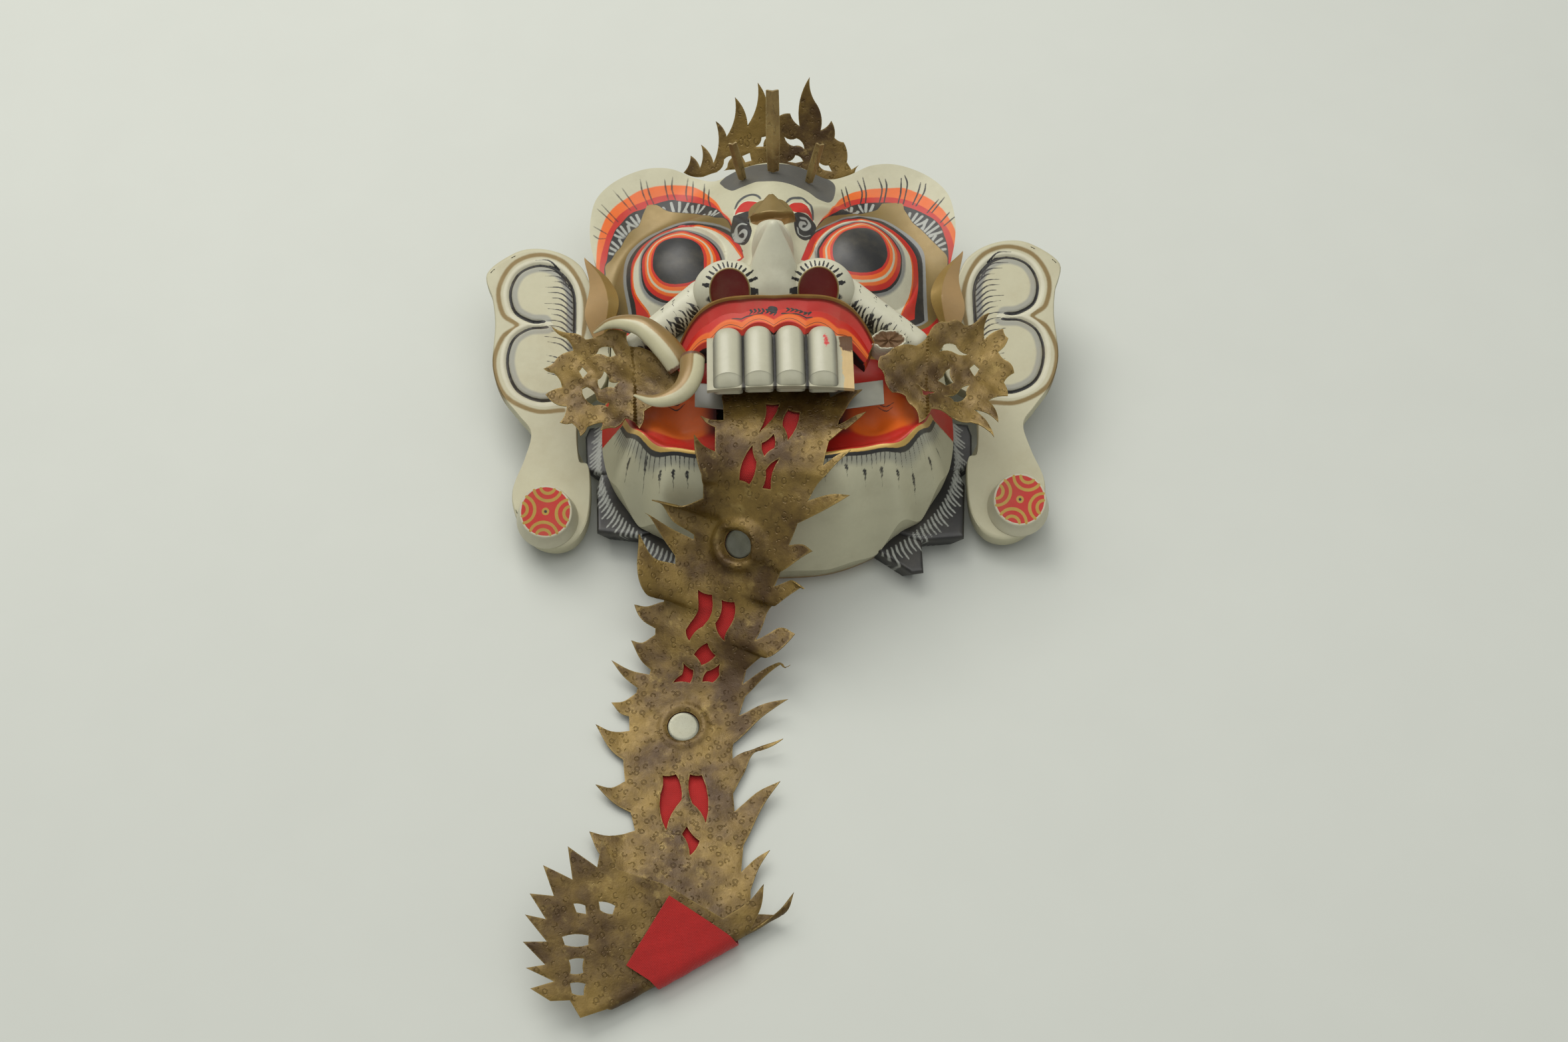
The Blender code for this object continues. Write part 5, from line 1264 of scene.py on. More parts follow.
@dataclass
class CarvedFace:
    """The face's skin in two dense patches, its side wall and its hollow back."""

    across: int = 396
    along: int = 200
    eye_hollow: float = 20.0

    def plan(self, u: Array, v: Array) -> tuple[Array, Array]:
        """Plan points of a square grid bent over the face's outline.

        The square goes to a disc by x = u sqrt(1 - v^2/2), y = v sqrt(1 - u^2/2), and the disc's radius is
        then a share of the outline's.
        """
        dx, dy = u * np.sqrt(1 - v * v / 2), v * np.sqrt(1 - u * u / 2)
        xy = plan_ring(np.arctan2(dy, dx).ravel(), np.hypot(dx, dy).ravel())
        return xy[:, 0], xy[:, 1]

    def patch(self, low: float, high: float) -> Surface:
        """One half of the painted skin, without the mouth's opening."""
        u, v = np.meshgrid(np.linspace(-1, 1, self.across + 1), np.linspace(low, high, self.along + 1))
        x, y = self.plan(u, v)
        z = skin(x, y)
        faces = grid_faces(self.along + 1, self.across + 1)
        cx, cy = x[faces].mean(axis=1), y[faces].mean(axis=1)
        faces = faces[~inside_loop(cx, cy, np.array(MOUTH_HOLE, float))]
        used, faces = np.unique(faces, return_inverse=True)
        faces = faces.reshape(-1, 4)
        points = np.column_stack([x, y, z])[used]
        return Surface(points, [faces], FacePaint().fields(points[:, 0], points[:, 1]))

    def ceiling(self, x: Array, y: Array) -> Array:
        """Height of the hollow's roof: a wall under the plain skin, higher behind the eyes."""
        z = skin_base(x, y) - WALL - 5
        for side in EYES:
            z = z + self.eye_hollow * smoothstep(1.0, 0.2, eye_reach(x, y, side))
        return np.maximum(z, 10)

    def shell(self) -> Surface:
        """Side wall, rear rim and hollow: rings from the skin's border in to the middle of the hollow."""
        u = np.linspace(-1, 1, self.across + 1)
        v = np.linspace(-1, 1, 2 * self.along + 1)
        ones_u, ones_v = np.ones(len(u)), np.ones(len(v))
        border_u = np.concatenate([u[:-1], ones_v[:-1], u[:0:-1], -ones_v[:-1]])
        border_v = np.concatenate([-ones_u[:-1], v[:-1], ones_u[:-1], v[:0:-1]])
        x, y = self.plan(border_u, border_v)
        angle = np.arctan2(y - FACE_MIDDLE[1], x - FACE_MIDDLE[0])
        edge = skin(x, y)
        rings = [np.column_stack([x, y, edge])]
        for drop, inset in ((0.98, 0.9985), (0.82, 0.992), (0.66, 0.985), (0.33, 0.968), (0.03, 0.956),
                            (0.0, 0.952)):
            rings.append(np.column_stack([plan_ring(angle, inset), edge * drop]))
        inner = RIM_INSET - WALL / edge_radius(angle)
        rings.append(np.column_stack([plan_ring(angle, inner + 0.004), np.zeros(len(angle))]))
        shares = [(1.0, 0.02), (0.998, 0.25), (0.995, 0.45), (0.985, 0.65), (0.97, 0.8), (0.94, 0.94),
                  (0.9, 1.0)]
        shares += [(s, 1.0) for s in np.linspace(0.85, 0.05, 17)]
        for share, lift in shares:
            xy = plan_ring(angle, inner * share)
            rings.append(np.column_stack([xy, self.ceiling(xy[:, 0], xy[:, 1]) * lift]))
        points = np.vstack(rings)
        faces = grid_faces(len(rings), len(angle), True)[:, ::-1]
        middle = points[faces].mean(axis=1)
        roof = (middle[:, 2] > 20) & inside_loop(middle[:, 0], middle[:, 1], np.array(MOUTH_HOLE, float))
        faces = faces[~roof]
        outer = np.repeat(np.arange(len(rings)) < 5, len(angle))
        return Surface(points, [faces], {"side": np.where(outer, -4.0, 4.0)})

    def mouth_wall(self) -> Surface:
        """Wall of the mouth's opening, from the skin down to the hollow's roof."""
        loop = spline(MOUTH_HOLE, 1, True)
        corners = np.vstack([a + (b - a) * np.linspace(0, 1, 24, endpoint=False)[:, None]
                             for a, b in zip(loop, np.roll(loop, -1, axis=0))])
        middle = corners.mean(axis=0)
        rings = []
        for share, level in ((1.03, 1.0), (0.985, 1.0), (0.985, 0.5), (0.985, 0.0), (1.03, 0.0)):
            xy = middle + (corners - middle) * share
            top, low = skin(xy[:, 0], xy[:, 1]) + 0.25, self.ceiling(xy[:, 0], xy[:, 1]) - 0.25
            rings.append(np.column_stack([xy, low + (top - low) * level]))
        points = np.vstack(rings)
        return Surface(points, [grid_faces(len(rings), len(corners), True)])

    def build(self) -> None:
        """Makes the skin's two patches, the shell and the mouth's wall."""
        painted = PaintedWood("skin_paint", CREAM, FacePaint.coats(), roughness=0.5, clear=0.06).build()
        for name, low, high in (("face_skin_lower", -1.0, 0.0), ("face_skin_upper", 0.0, 1.0)):
            self.patch(low, high).make(name, painted, ("face",), Slot.WOOD.value)
        bare = PaintedWood("bare_wood", RAW_WOOD, (Coat("side", CREAM, soft=3.0, wobble=6.0),), roughness=0.7,
                           grime=0.5, grain=1.0, bump=0.5).build()
        self.shell().make("face_shell", bare, ("face",), Slot.WOOD.value)
        # The opening's wall is the mouth's red paint darkened as painted shade.
        deep = PaintedWood("mouth_red_and_shade", srgb(70, 18, 12), (), roughness=0.6).build()
        self.mouth_wall().make("mouth_wall", deep, ("face",), Slot.WOOD.value)


def ellipsoid(middle: Point, radii: Point, turn: float, around: int = 96, up: int = 48) -> Surface:
    """Closed ellipsoid in rings of latitude, turned about the X axis.

    Args:
        middle: its centre.
        radii: its three radii.
        turn: angle in radians.
        around: points in a ring.
        up: steps from pole to pole.

    Returns:
        The surface.
    """
    phi = math.pi * np.arange(1, up) / up
    theta = 2 * math.pi * np.arange(around) / around
    rings = [np.column_stack([radii[0] * math.sin(p) * np.cos(theta), radii[1] * math.sin(p) * np.sin(theta),
                              np.full(around, -radii[2] * math.cos(p))]) for p in phi]
    made = lofted(rings)
    made.points[-2], made.points[-1] = (0, 0, -radii[2]), (0, 0, radii[2])
    c, s = math.cos(turn), math.sin(turn)
    made.points = made.points @ np.array([[1, 0, 0], [0, c, s], [0, -s, c]]) + np.array(middle, float)
    return made


def carve(target: bpy.types.Object, others: Sequence[tuple[bpy.types.Object, str]]) -> Array:
    """Joins bodies to a piece or cuts them out of it, and keeps the result as its mesh.

    Args:
        target: the piece.
        others: bodies, each with UNION or DIFFERENCE, removed afterwards.

    Returns:
        The new mesh's points in the carver's millimetres.
    """
    for other, operation in others:
        step = target.modifiers.new(other.name, "BOOLEAN")
        step.operation = operation
        step.solver = "EXACT"
        step.object = other
    bpy.context.view_layer.update()
    mesh = bpy.data.meshes.new_from_object(target.evaluated_get(bpy.context.evaluated_depsgraph_get()))
    target.modifiers.clear()
    target.data = mesh
    for other, _ in others:
        bpy.data.objects.remove(other)
    flat = np.empty(len(mesh.vertices) * 3, np.float32)
    mesh.vertices.foreach_get("co", flat)
    return flat.reshape(-1, 3).astype(float) / MM - (0.0, ROW_SHIFT, 0.0)


@dataclass
class Snout:
    """Pointed nose with flared, lashed nostrils."""

    stations: tuple[Point, ...] = (
        (162, 10, 99), (150, 12.5, 108), (138, 13.5, 122), (127, 12.5, 139), (120, 10.5, 148),
        (116, 9.5, 151), (111, 14, 147), (104, 18, 140), (96, 19.5, 133), (88, 20.5, 127), (82, 21, 119),
    )
    wing: tuple[Point, Point, float] = ((27.5, 97.0, 108.0), (22.0, 17.0, 21.0), -20.0)
    nostril: tuple[Point, Point, float] = ((26.5, 87.0, 126.0), (13.5, 9.6, 22.0), -33.0)

    def bridge(self) -> Surface:
        """Arched sections carried along the nose; each arch is half a superellipse over a flat foot."""
        curve = spline(self.stations, 6)
        theta = np.linspace(0, math.pi, 49)
        rings = []
        for y, half, top in curve:
            arch = np.column_stack([-1 + half * np.cos(theta), np.full(49, y),
                                    88 + (top - 88) * np.sin(theta) ** 0.75])
            rings.append(np.vstack([arch, [(-1 - half, y, 80), (-1 + half, y, 80)]]))
        return lofted(rings)

    def socket(self, points: Array, side: int) -> Array:
        """Points in a nostril's own frame as shares of its radii, so that its hollow is the unit ball."""
        (mx, my, mz), radii, turn = self.nostril
        c, s = math.cos(math.radians(turn)), math.sin(math.radians(turn))
        return (points - (-1 + mx * side, my, mz)) @ np.array([[1, 0, 0], [0, c, -s], [0, s, c]]) / radii

    def rim(self, mesh: bpy.types.Mesh, local: Array) -> Array:
        """Indices of the points that a nostril's hollow shares with the skin around it.

        Args:
            mesh: the carved nose.
            local: its points in the nostril's frame.

        Returns:
            The points that lie both on a face of the hollow and on a face outside it.
        """
        reach = np.linalg.norm(local, axis=1)
        starts = np.empty(len(mesh.polygons), np.int32)
        corners = np.empty(len(mesh.loops), np.int32)
        mesh.polygons.foreach_get("loop_start", starts)
        mesh.loops.foreach_get("vertex_index", corners)
        most = np.maximum.reduceat(reach[corners], starts)
        each = np.repeat(most, np.diff(np.append(starts, len(corners))))
        return np.intersect1d(corners[each < 1.002], corners[each > 1.006])

    def lashes(self, mesh: bpy.types.Mesh, points: Array) -> tuple[Array, Array, Array]:
        """Distance to the nearer nostril's rim, the angle of its nearest point and the hollow's depth."""
        away, turn, deep = np.full(len(points), 99.0), np.zeros(len(points)), np.full(len(points), 9.0)
        for side in (-1, 1):
            local = self.socket(points, side)
            rim = self.rim(mesh, local)
            if not len(rim):
                continue
            for part in np.array_split(np.arange(len(points)), 12):
                gap = np.linalg.norm(points[part, None] - points[None, rim], axis=2)
                near = gap.argmin(axis=1)
                least = gap[np.arange(len(part)), near]
                nearer = least < away[part]
                at = part[nearer]
                away[at] = least[nearer]
                turn[at] = np.arctan2(local[rim, 0], local[rim, 1])[near[nearer]]
            deep = np.minimum(deep, np.linalg.norm(local, axis=1) - 1)
        return away, turn, deep

    def build(self) -> None:
        """Joins the bridge and the wings, cuts the nostrils and measures the paint's fields."""
        paint = self.finish()
        nose = self.bridge().make("snout", paint, ("face",), Slot.WOOD.value)
        others = []
        for side in (-1, 1):
            (x, y, z), radii, turn = self.wing
            body = ellipsoid((-1 + x * side, y, z), radii, math.radians(turn))
            others.append((body.make(f"wing_{side}", paint), "UNION"))
        for side in (-1, 1):
            (x, y, z), radii, turn = self.nostril
            body = ellipsoid((-1 + x * side, y, z), radii, math.radians(turn), 120, 60)
            others.append((body.make(f"nostril_{side}", paint), "DIFFERENCE"))
        points = carve(nose, others)
        nose.data.materials.clear()
        nose.data.materials.append(paint)
        away, angle, deep = self.lashes(nose.data, points)
        fields = {
            "socket": np.where(deep < 0.004, -away - 0.01, away),
            "lash_turn": angle / (2 * math.pi) * 38.0 + 80.0,
            "smudge": stroke_field(points[:, 0], points[:, 1], [np.array([(0, 154.9), (0.4, 149.4)])], 1.2),
        }
        for key, values in fields.items():
            numbers = nose.data.attributes.new(key, "FLOAT", "POINT").data
            numbers.foreach_set("value", values.astype(np.float32))
        nose.data.shade_smooth()
        nose.data.set_sharp_from_angle(angle=math.radians(50))

    @staticmethod
    def finish() -> bpy.types.Material:
        """Bone white with lashes round the nostrils, a gold inner edge and a red hollow darkened as painted
        shade.
        """
        made = PaintedWood("snout_paint", BONE, (
            Coat("smudge", SMOKE, soft=0.8, strength=0.6), Coat("socket", OCHRE_GOLD, grow=0.7, metal=0.3),
            # The hollow's red is darkened as painted shade inside the nostril.
            Coat("socket", srgb(96, 10, 5), grow=-0.5),
        ), roughness=0.5, clear=0.06).build()
        n = Nodes(made.node_tree)
        shader = made.node_tree.nodes["Principled BSDF"]
        under = shader.inputs["Base Color"].links[0].from_socket
        lashes = n.group(GROUPS.lashes, Count=n.read("lash_turn"), Along=n.read("socket"), Start=0.9, End=7.0,
                         Width=0.25).outputs[0]
        mask = n.minus(1.0, n.step(lashes, -0.03, 0.03))
        n.feed(shader.inputs["Base Color"], n.mix(mask, under, INK))
        return made


@dataclass
class CheekRidge:
    """Swelling from a nostril out to the cheek, brushed with short dark hairs."""

    side: int
    start: Point = (44.0, 99.0, 101.0)
    end: Point = (86.0, 71.0, 88.0)
    radii: tuple[float, float] = (11.0, 8.5)

    def build(self, finish: bpy.types.Material) -> None:
        """Circles carried along a line, drawn in to a dome at each end."""
        start = np.array(self.start) * (self.side, 1, 1) - (1, 0, 0)
        end = np.array(self.end) * (self.side, 1, 1) - (1, 0, 0)
        along = unit(end - start)
        side = unit(np.cross(along, (0, 0, 1)))
        up = np.cross(side, along)
        theta = 2 * math.pi * np.arange(64) / 64
        circle = np.cos(theta)[:, None] * side + np.sin(theta)[:, None] * up
        cap = np.linspace(0.06, 1.0, 10) * math.pi / 2
        thin, thick = self.radii
        rings = [start - along * thin * math.cos(a) + circle * thin * math.sin(a) for a in cap]
        for t in np.linspace(0, 1, 50)[1:-1]:
            rings.append(start + (end - start) * t + circle * (thin * (1 - t) + thick * t))
        rings += [end + along * thick * math.cos(a) + circle * thick * math.sin(a) for a in cap[::-1]]
        body = lofted(rings)
        x, y = body.points[:, 0], body.points[:, 1]
        low = unit(np.array([along[1], -along[0]]))
        low = low if low[1] < 0 else -low
        hairs = []
        for i, t in enumerate(np.linspace(0.02, 0.97, 24)):
            foot = (start + (end - start) * (t + 0.012 * math.sin(i * 5.1)))[:2]
            bend = along[:2] * (1.2 + 1.4 * math.sin(i * 1.7))
            a = foot + low * 9.8
            b = foot + low * (3.4 + 2.4 * math.sin(i * 2.3)) + bend
            hairs.append(spline([a, (a + b) / 2 - bend * 0.6, b], 4))
        body.fields["hairs"] = stroke_field(x, y, hairs, 0.62, (1.0, 0.3))
        squiggle = np.array([(0, 0), (1.2, -1.2), (-0.8, -2.2), (0.9, -3.2), (-0.3, -4.4), (0.8, -6.2)])
        marks = []
        for t in (0.12, 0.34, 0.5, 0.7, 0.86):
            at = (start + (end - start) * t)[:2]
            marks.append(spline(squiggle * (1.0, 1.0 + 0.3 * math.sin(9 * t)) + at - low * 6.5, 4))
        body.fields["marks"] = stroke_field(x, y, marks, 0.3, (0.8, 0.6))
        body.make(f"cheek_ridge_{'left' if self.side < 0 else 'right'}", finish, ("face",), Slot.WOOD.value)


@dataclass
class UpperJaw:
    """Upper lip with its gold edge, painted bands and the gum over the teeth."""

    half: float = 59.0

    def build(self) -> None:
        """A bowed lip section from corner to corner, painted in bands by the share from gold to gum."""
        phis = np.linspace(-1, 1, 241)
        shares = np.linspace(0.0, 1.0, 71)
        lift = np.interp(shares, (0.0, 0.03, 0.14, 0.4, 0.62, 0.8, 0.94, 1.0),
                         (0.3, 1.5, -1.2, -2.2, 0.6, 1.2, -1.0, -3.0))
        rings = []
        for phi in phis:
            gold = np.array([self.half * phi, 63 + 21 * (1 - phi**6), 100 + 21 * (1 - phi**4)])
            gum = np.array([-1 + 54 * phi, 50 + 7.6 * (1 - abs(phi) ** 3), 96 + 20 * (1 - phi**2)])
            gum[1] += 5.2 * abs(math.sin(math.pi * (gum[0] + 1.9) / 18.8)) * (1 - phi**4)
            out = np.array([0.35 * phi, -0.45, 0.85])
            front = gold + (gum - gold) * shares[:, None] + out * lift[:, None]
            rings.append(np.vstack([gold + (0, 3, -34), gold + (0, 3, -4), gold + (0, 1.2, -0.8), front,
                                    gum + (0, 1.8, -7), [gum[0], gum[1] + 2, 66]]))
        body = lofted(rings)
        count = len(rings[0])
        share = np.concatenate([np.tile(np.concatenate([[-0.3, -0.1, 0.0], shares, [1.1, 1.3]]), len(phis)),
                                [0, 0]])
        phi = np.concatenate([np.repeat(phis, count), [-1, 1]])
        x = -1 + 56 * phi
        scallop = 0.055 * np.abs(np.sin(math.pi * (x + 1.9) / 18.8)) * (1 - phi**4)
        body.fields = {"band": share * 30.0, "scallop": (share + scallop) * 30.0}
        u, v = x, share * 30.0
        marks = []
        for k in range(7):
            marks.append(spline([(-16 + k * 2.4, 11.5), (-15.2 + k * 2.4, 13.4), (-16.4 + k * 2.4, 15.0)], 3))
        for k in range(6):
            marks.append(spline([(6 + k * 2.6, 11.4 + 0.3 * k), (7.2 + k * 2.6, 12.6), (5.6 + k * 2.6, 14.4)],
                                3))
        spiral = np.linspace(0, 4.2 * math.pi, 40)
        marks.append(np.column_stack([-3 + (0.4 + 0.19 * spiral) * np.cos(spiral), 11 + (0.4 + 0.19 * spiral)
                                      * np.sin(spiral)]))
        for s in (-1, 1):
            marks.append(spline([(-3 + s * 6, 15.6), (-3 + s * 11, 17.0), (-3 + s * 16, 15.9),
                                 (-3 + s * 24, 16.8)], 4))
        body.fields["marks"] = stroke_field(u, v, marks, 0.75, (0.9, 0.6))
        finish = PaintedWood("lip_paint", VERMILION, (
            Coat("band", srgb(104, 30, 18), grow=4.0, soft=1.5),
            Coat("band", srgb(140, 106, 50), grow=2.4, metal=0.3),
            Coat("marks", INK),
        ), roughness=0.55, clear=0.03).build()
        self.lay_gum(finish)
        body.make("upper_jaw", finish, ("face",), Slot.WOOD.value)

    @staticmethod
    def lay_gum(finish: bpy.types.Material) -> None:
        """Lays the orange band, its thin dark line, the red gum and the dark edge over the teeth."""
        n = Nodes(finish.node_tree)
        shader = finish.node_tree.nodes["Principled BSDF"]
        colour = shader.inputs["Base Color"].links[0].from_socket
        read = n.read("scallop")
        for start, paint, soft in ((18.6, TANGERINE, 0.9), (22.6, INK, 0.15), (23.0, TANGERINE, 0.15),
                                   (24.6, srgb(206, 62, 48), 0.6), (28.6, INK, 0.4)):
            away = n.minus(start, read)
            colour = n.group(GROUPS.coat, Under=colour, Paint=paint, Distance=away, Grow=0.0, Soft=soft,
                             Wobble=0.4).outputs["Colour"]
        n.feed(shader.inputs["Base Color"], colour)


@dataclass
class Teeth:
    """Four upright teeth on one block, broken off at the viewer's right."""

    middles: tuple[float, ...] = (-29.4, -11.3, 7.5, 26.7)
    half: float = 8.9
    low: float = 16.5
    high: float = 60.5
    bow: float = 3.0

    def tooth(self, middle: float) -> Surface:
        """Rounded sections carried up a tooth, narrowing to its root and to its bevelled foot."""
        stations = [(self.low + 0.5, 0.72, 2.6), (self.low + 1.2, 0.93, 3.6), (self.low + 3.2, 0.99, 5.4)]
        stations += [(self.low + 6.9, 1.0, 7.9), (self.low + 7.6, 1.0, 8.3), (self.low + 14, 1.0, 8.4)]
        stations += [(self.high - 16, 1.0, 8.4), (self.high - 9, 1.0, 8.2), (self.high - 5.5, 0.93, 7.7)]
        stations += [(self.high - 3, 0.78, 6.6), (self.high - 1.2, 0.52, 4.6), (self.high, 0.2, 1.8)]
        sag = self.bow * ((middle + 1) / 40.0) ** 2
        curve = spline(stations, 4)
        theta = np.linspace(0, math.pi, 37)
        rings = []
        for y, wide, tall in curve:
            droop = 2.6 * max(0.0, 1 - abs(y - self.low - 7.2) / 5.5)
            arch = np.column_stack([middle + self.half * wide * np.cos(theta),
                                    y - droop * (1 - np.sin(theta)),
                                    118.6 - sag + tall * np.sin(theta) ** 0.8])
            rings.append(np.vstack([arch, [(middle - self.half * wide, y, 114 - sag),
                                           (middle + self.half * wide, y, 114 - sag)]]))
        body = lofted(rings)
        x, y = body.points[:, 0], body.points[:, 1]
        body.fields = {
            # gap: distance in from a tooth's side; it carries the painted shade where the teeth meet and the
            # thin black outline at the edge.
            "gap": self.half - np.abs(x - middle),
            "root": self.high - 0.6 - y - 0.075 * (x - middle) ** 2,
            "stain": np.hypot(x - 29, (y - 46) / 2.4) - 1.6,
        }
        return body

    def block(self) -> Surface:
        """The bar of gum wood behind the teeth: a seven-cornered section bowed along the teeth."""
        rings = []
        for x in np.linspace(-42, 45, 61):
            sag = self.bow * ((x + 1) / 40.0) ** 2
            section = np.array([
                (x, self.low + 14, 106 - sag), (x, self.low + 0.5, 117 - sag), (x, self.low, 120.5 - sag),
                (x, self.high - 6, 120 - sag), (x, self.high + 1, 112 - sag), (x, self.high + 6, 106 - sag),
                (x, self.high + 6, 96 - sag), (x, self.high - 8, 100 - sag)])
            closed = np.vstack([section, section[:1]])
            steps = np.linspace(0, 1, 7)[:-1]
            rings.append(np.array([a + (b - a) * t for a, b in zip(closed[:-1], closed[1:]) for t in steps]))
        body = lofted(rings)
        x, y = body.points[:, 0], body.points[:, 1]
        ragged = 38.0 + 0.8 * np.sin(y * 0.9) + 0.5 * np.sin(y * 2.3)
        # stub: the part above and beyond the break, painted dark brown as the shade of the hollow left by the
        # lost root.
        body.fields = {"break": ragged - x, "stub": np.maximum(ragged - x, 44.0 - y),
                       "seam": np.min([np.abs(x - m) for m in (-20.4, -1.9, 17.1)], axis=0) - 1.2}
        return body

    def build(self) -> None:
        """Makes the teeth and their block."""
        ivory = PaintedWood("tooth_paint", srgb(176, 173, 150), (
            # Painted shade: grey deepening toward each tooth's sides, where the teeth meet; the black line at
            # the very edge is the painted outline.
            Coat("gap", srgb(104, 103, 94), grow=2.2, soft=1.8, strength=0.8),
            Coat("gap", INK, grow=0.35, soft=0.35),
            Coat("root", INK, grow=0.5, soft=0.5),
            Coat("stain", srgb(196, 60, 60), soft=0.6, cover=0.3, wobble=5.0),
        ), roughness=0.4, clear=0.15).build()
        for i, middle in enumerate(self.middles):
            self.tooth(middle).make(f"tooth_{i + 1}", ivory, ("face",), Slot.WOOD.value)
        bar = PaintedWood("tooth_block_paint", srgb(172, 168, 144), (
            Coat("seam", INK, soft=0.6), Coat("break", srgb(196, 168, 118), wobble=2.5),
            # Painted shade: dark brown over the break's upper part, for the hollow where the root broke away.
            Coat("stub", srgb(84, 50, 22), soft=0.6, wobble=4.0),
        ), roughness=0.6, grain=1.0, bump=0.35).build()
        self.block().make("tooth_block", bar, ("face",), Slot.WOOD.value)


@dataclass
class BeardLocks:
    """Dark slabs along the jaw, brushed with pale strokes."""

    foot: float = 0.94
    slabs: tuple[tuple[str, tuple[Point, ...], float], ...] = (
        ("right_high", ((100, 62), (121, 58), (123, 50), (121.5, 25), (100, 22)), 19),
        ("right_side", ((98, 27), (113, 24), (116, 12), (113, -27), (86, -29), (66, -20), (80, 5)), 20),
        ("right_low", ((84, -8), (87, -24), (87, -50), (80, -51), (60, -35), (56, -22)), 18),
        ("left_high", ((-100, 64), (-119, 61), (-121.5, 54), (-120, 28), (-100, 22)), 19),
        ("left_side", ((-98, 27), (-111, 25), (-113.5, 14), (-112.5, -18), (-87, -22), (-66, -16), (-80, 5)),
         20),
        ("left_low", ((-82, -8), (-86.5, -20), (-86.5, -46), (-78, -49), (-60, -41), (-56, -22)), 18),
    )

    @staticmethod
    def strokes() -> list[Array]:
        """Slanting strokes side by side along the jaw, in two rows outside the chin's edge."""
        angle = np.radians(np.concatenate([np.linspace(-24, -76, 400), np.linspace(-104, -156, 400)]))
        angle = np.concatenate([angle, np.radians(np.linspace(-24, -10, 80)),
                                np.radians(np.linspace(190, 204, 80))])
        made = []
        edge = plan_ring(angle, 1.0)
        travelled = 0.0
        for i in range(1, len(edge)):
            jump = math.hypot(*(edge[i] - edge[i - 1]))
            travelled += jump if jump < 3 else 0.0
            if travelled < 3.1:
                continue
            travelled = 0.0
            side = math.copysign(1, edge[i][0])
            out = unit(edge[i] - np.array(FACE_MIDDLE))
            slant = unit(out * 0.6 + np.array([0.25 * side, -0.9]))
            a = edge[i] + out * 2.2
            b = a + slant * (11.5 + 2.0 * math.sin(i))
            made.append(spline([a, (a + b) / 2 + np.array([slant[1], -slant[0]]) * 0.8 * side, b], 3))
        return made

    def build(self) -> None:
        """Plan outlines drawn up to a rounded top, in rings that close on the slab's middle."""
        finish = PaintedWood("lock_paint", INK, (Coat("stroke", CHALK, soft=0.35, wobble=0.7, cover=0.55),),
                             roughness=0.42, tint=srgb(120, 112, 96), grime=0.18, clear=0.1).build()
        strokes = self.strokes()
        for name, corners, tall in self.slabs:
            loop = np.array(corners, float)
            plan = np.vstack([a + (b - a) * np.linspace(0, 1, max(4, int(math.hypot(*(b - a)))),
                                                        endpoint=False)[:, None]
                              for a, b in zip(loop, np.roll(loop, -1, axis=0))])
            middle = loop.mean(axis=0)
            below = np.array(FACE_MIDDLE) + (plan - np.array(FACE_MIDDLE)) * self.foot
            rings = [np.column_stack([below, np.zeros(len(plan))])]
            for share, level in ((1.0, tall - 2.5), (0.99, tall - 1.2), (0.965, tall - 0.3), (0.93, tall)):
                rings.append(np.column_stack([middle + (plan - middle) * share, np.full(len(plan), level)]))
            for share in np.linspace(0.88, 0.05, 22):
                rings.append(np.column_stack([middle + (plan - middle) * share,
                                              np.full(len(plan), tall + 0.2)]))
            body = lofted(rings)
            body.fields["stroke"] = stroke_field(body.points[:, 0], body.points[:, 1], strokes, 0.8,
                                                 (0.6, 0.5))
            body.make(f"beard_lock_{name}", finish, ("face",), Slot.WOOD.value)


@dataclass
class BrokenTusk:
    """Stub of the lost upper tusk at the viewer's right: a fibrous break in an off-white rim."""

    start: Point = (69.0, 67.0, 84.0)
    end: Point = (68.0, 65.0, 97.0)

    def build(self) -> None:
        """Circles carried up the stub, with a ragged hollow in its top."""
        start, end = np.array(self.start), np.array(self.end)
        theta = 2 * math.pi * np.arange(72) / 72
        rough = 0.5 * np.sin(7 * theta) + 0.35 * np.sin(13 * theta + 1)
        rings = []
        radii = [(0.0, 10.4, 0.0), (0.5, 9.6, 0.0), (1.0, 9.0, 2.0), (1.0, 8.4, 3.2), (1.0, 7.4, 3.0)]
        radii += [(1.0, 6.2, 1.6), (1.0, 4.4, 1.2), (1.0, 2.6, 1.6), (1.0, 1.0, 1.4)]
        for share, radius, lift in radii:
            middle = start + (end - start) * share
            ring = middle + np.column_stack([radius * np.cos(theta) * 1.25, radius * np.sin(theta) * 0.85,
                                             np.full(72, lift) + rough * (share > 0.6)])
            rings.append(ring)
        body = lofted(rings)
        reach = np.hypot((body.points[:, 0] - end[0]) / 1.25, (body.points[:, 1] - end[1]) / 0.85)
        body.fields["break"] = np.where(body.points[:, 2] > 97, reach - 7.6, 4.0)
        finish = PaintedWood("stub_paint", BONE, (Coat("break", srgb(98, 66, 34), soft=0.5, wobble=2.0),),
                             roughness=0.7, grain=1.0, bump=0.6).build()
        body.make("tusk_stub", finish, ("face",), Slot.WOOD.value)


# Ears, plugs, leaves and tusks

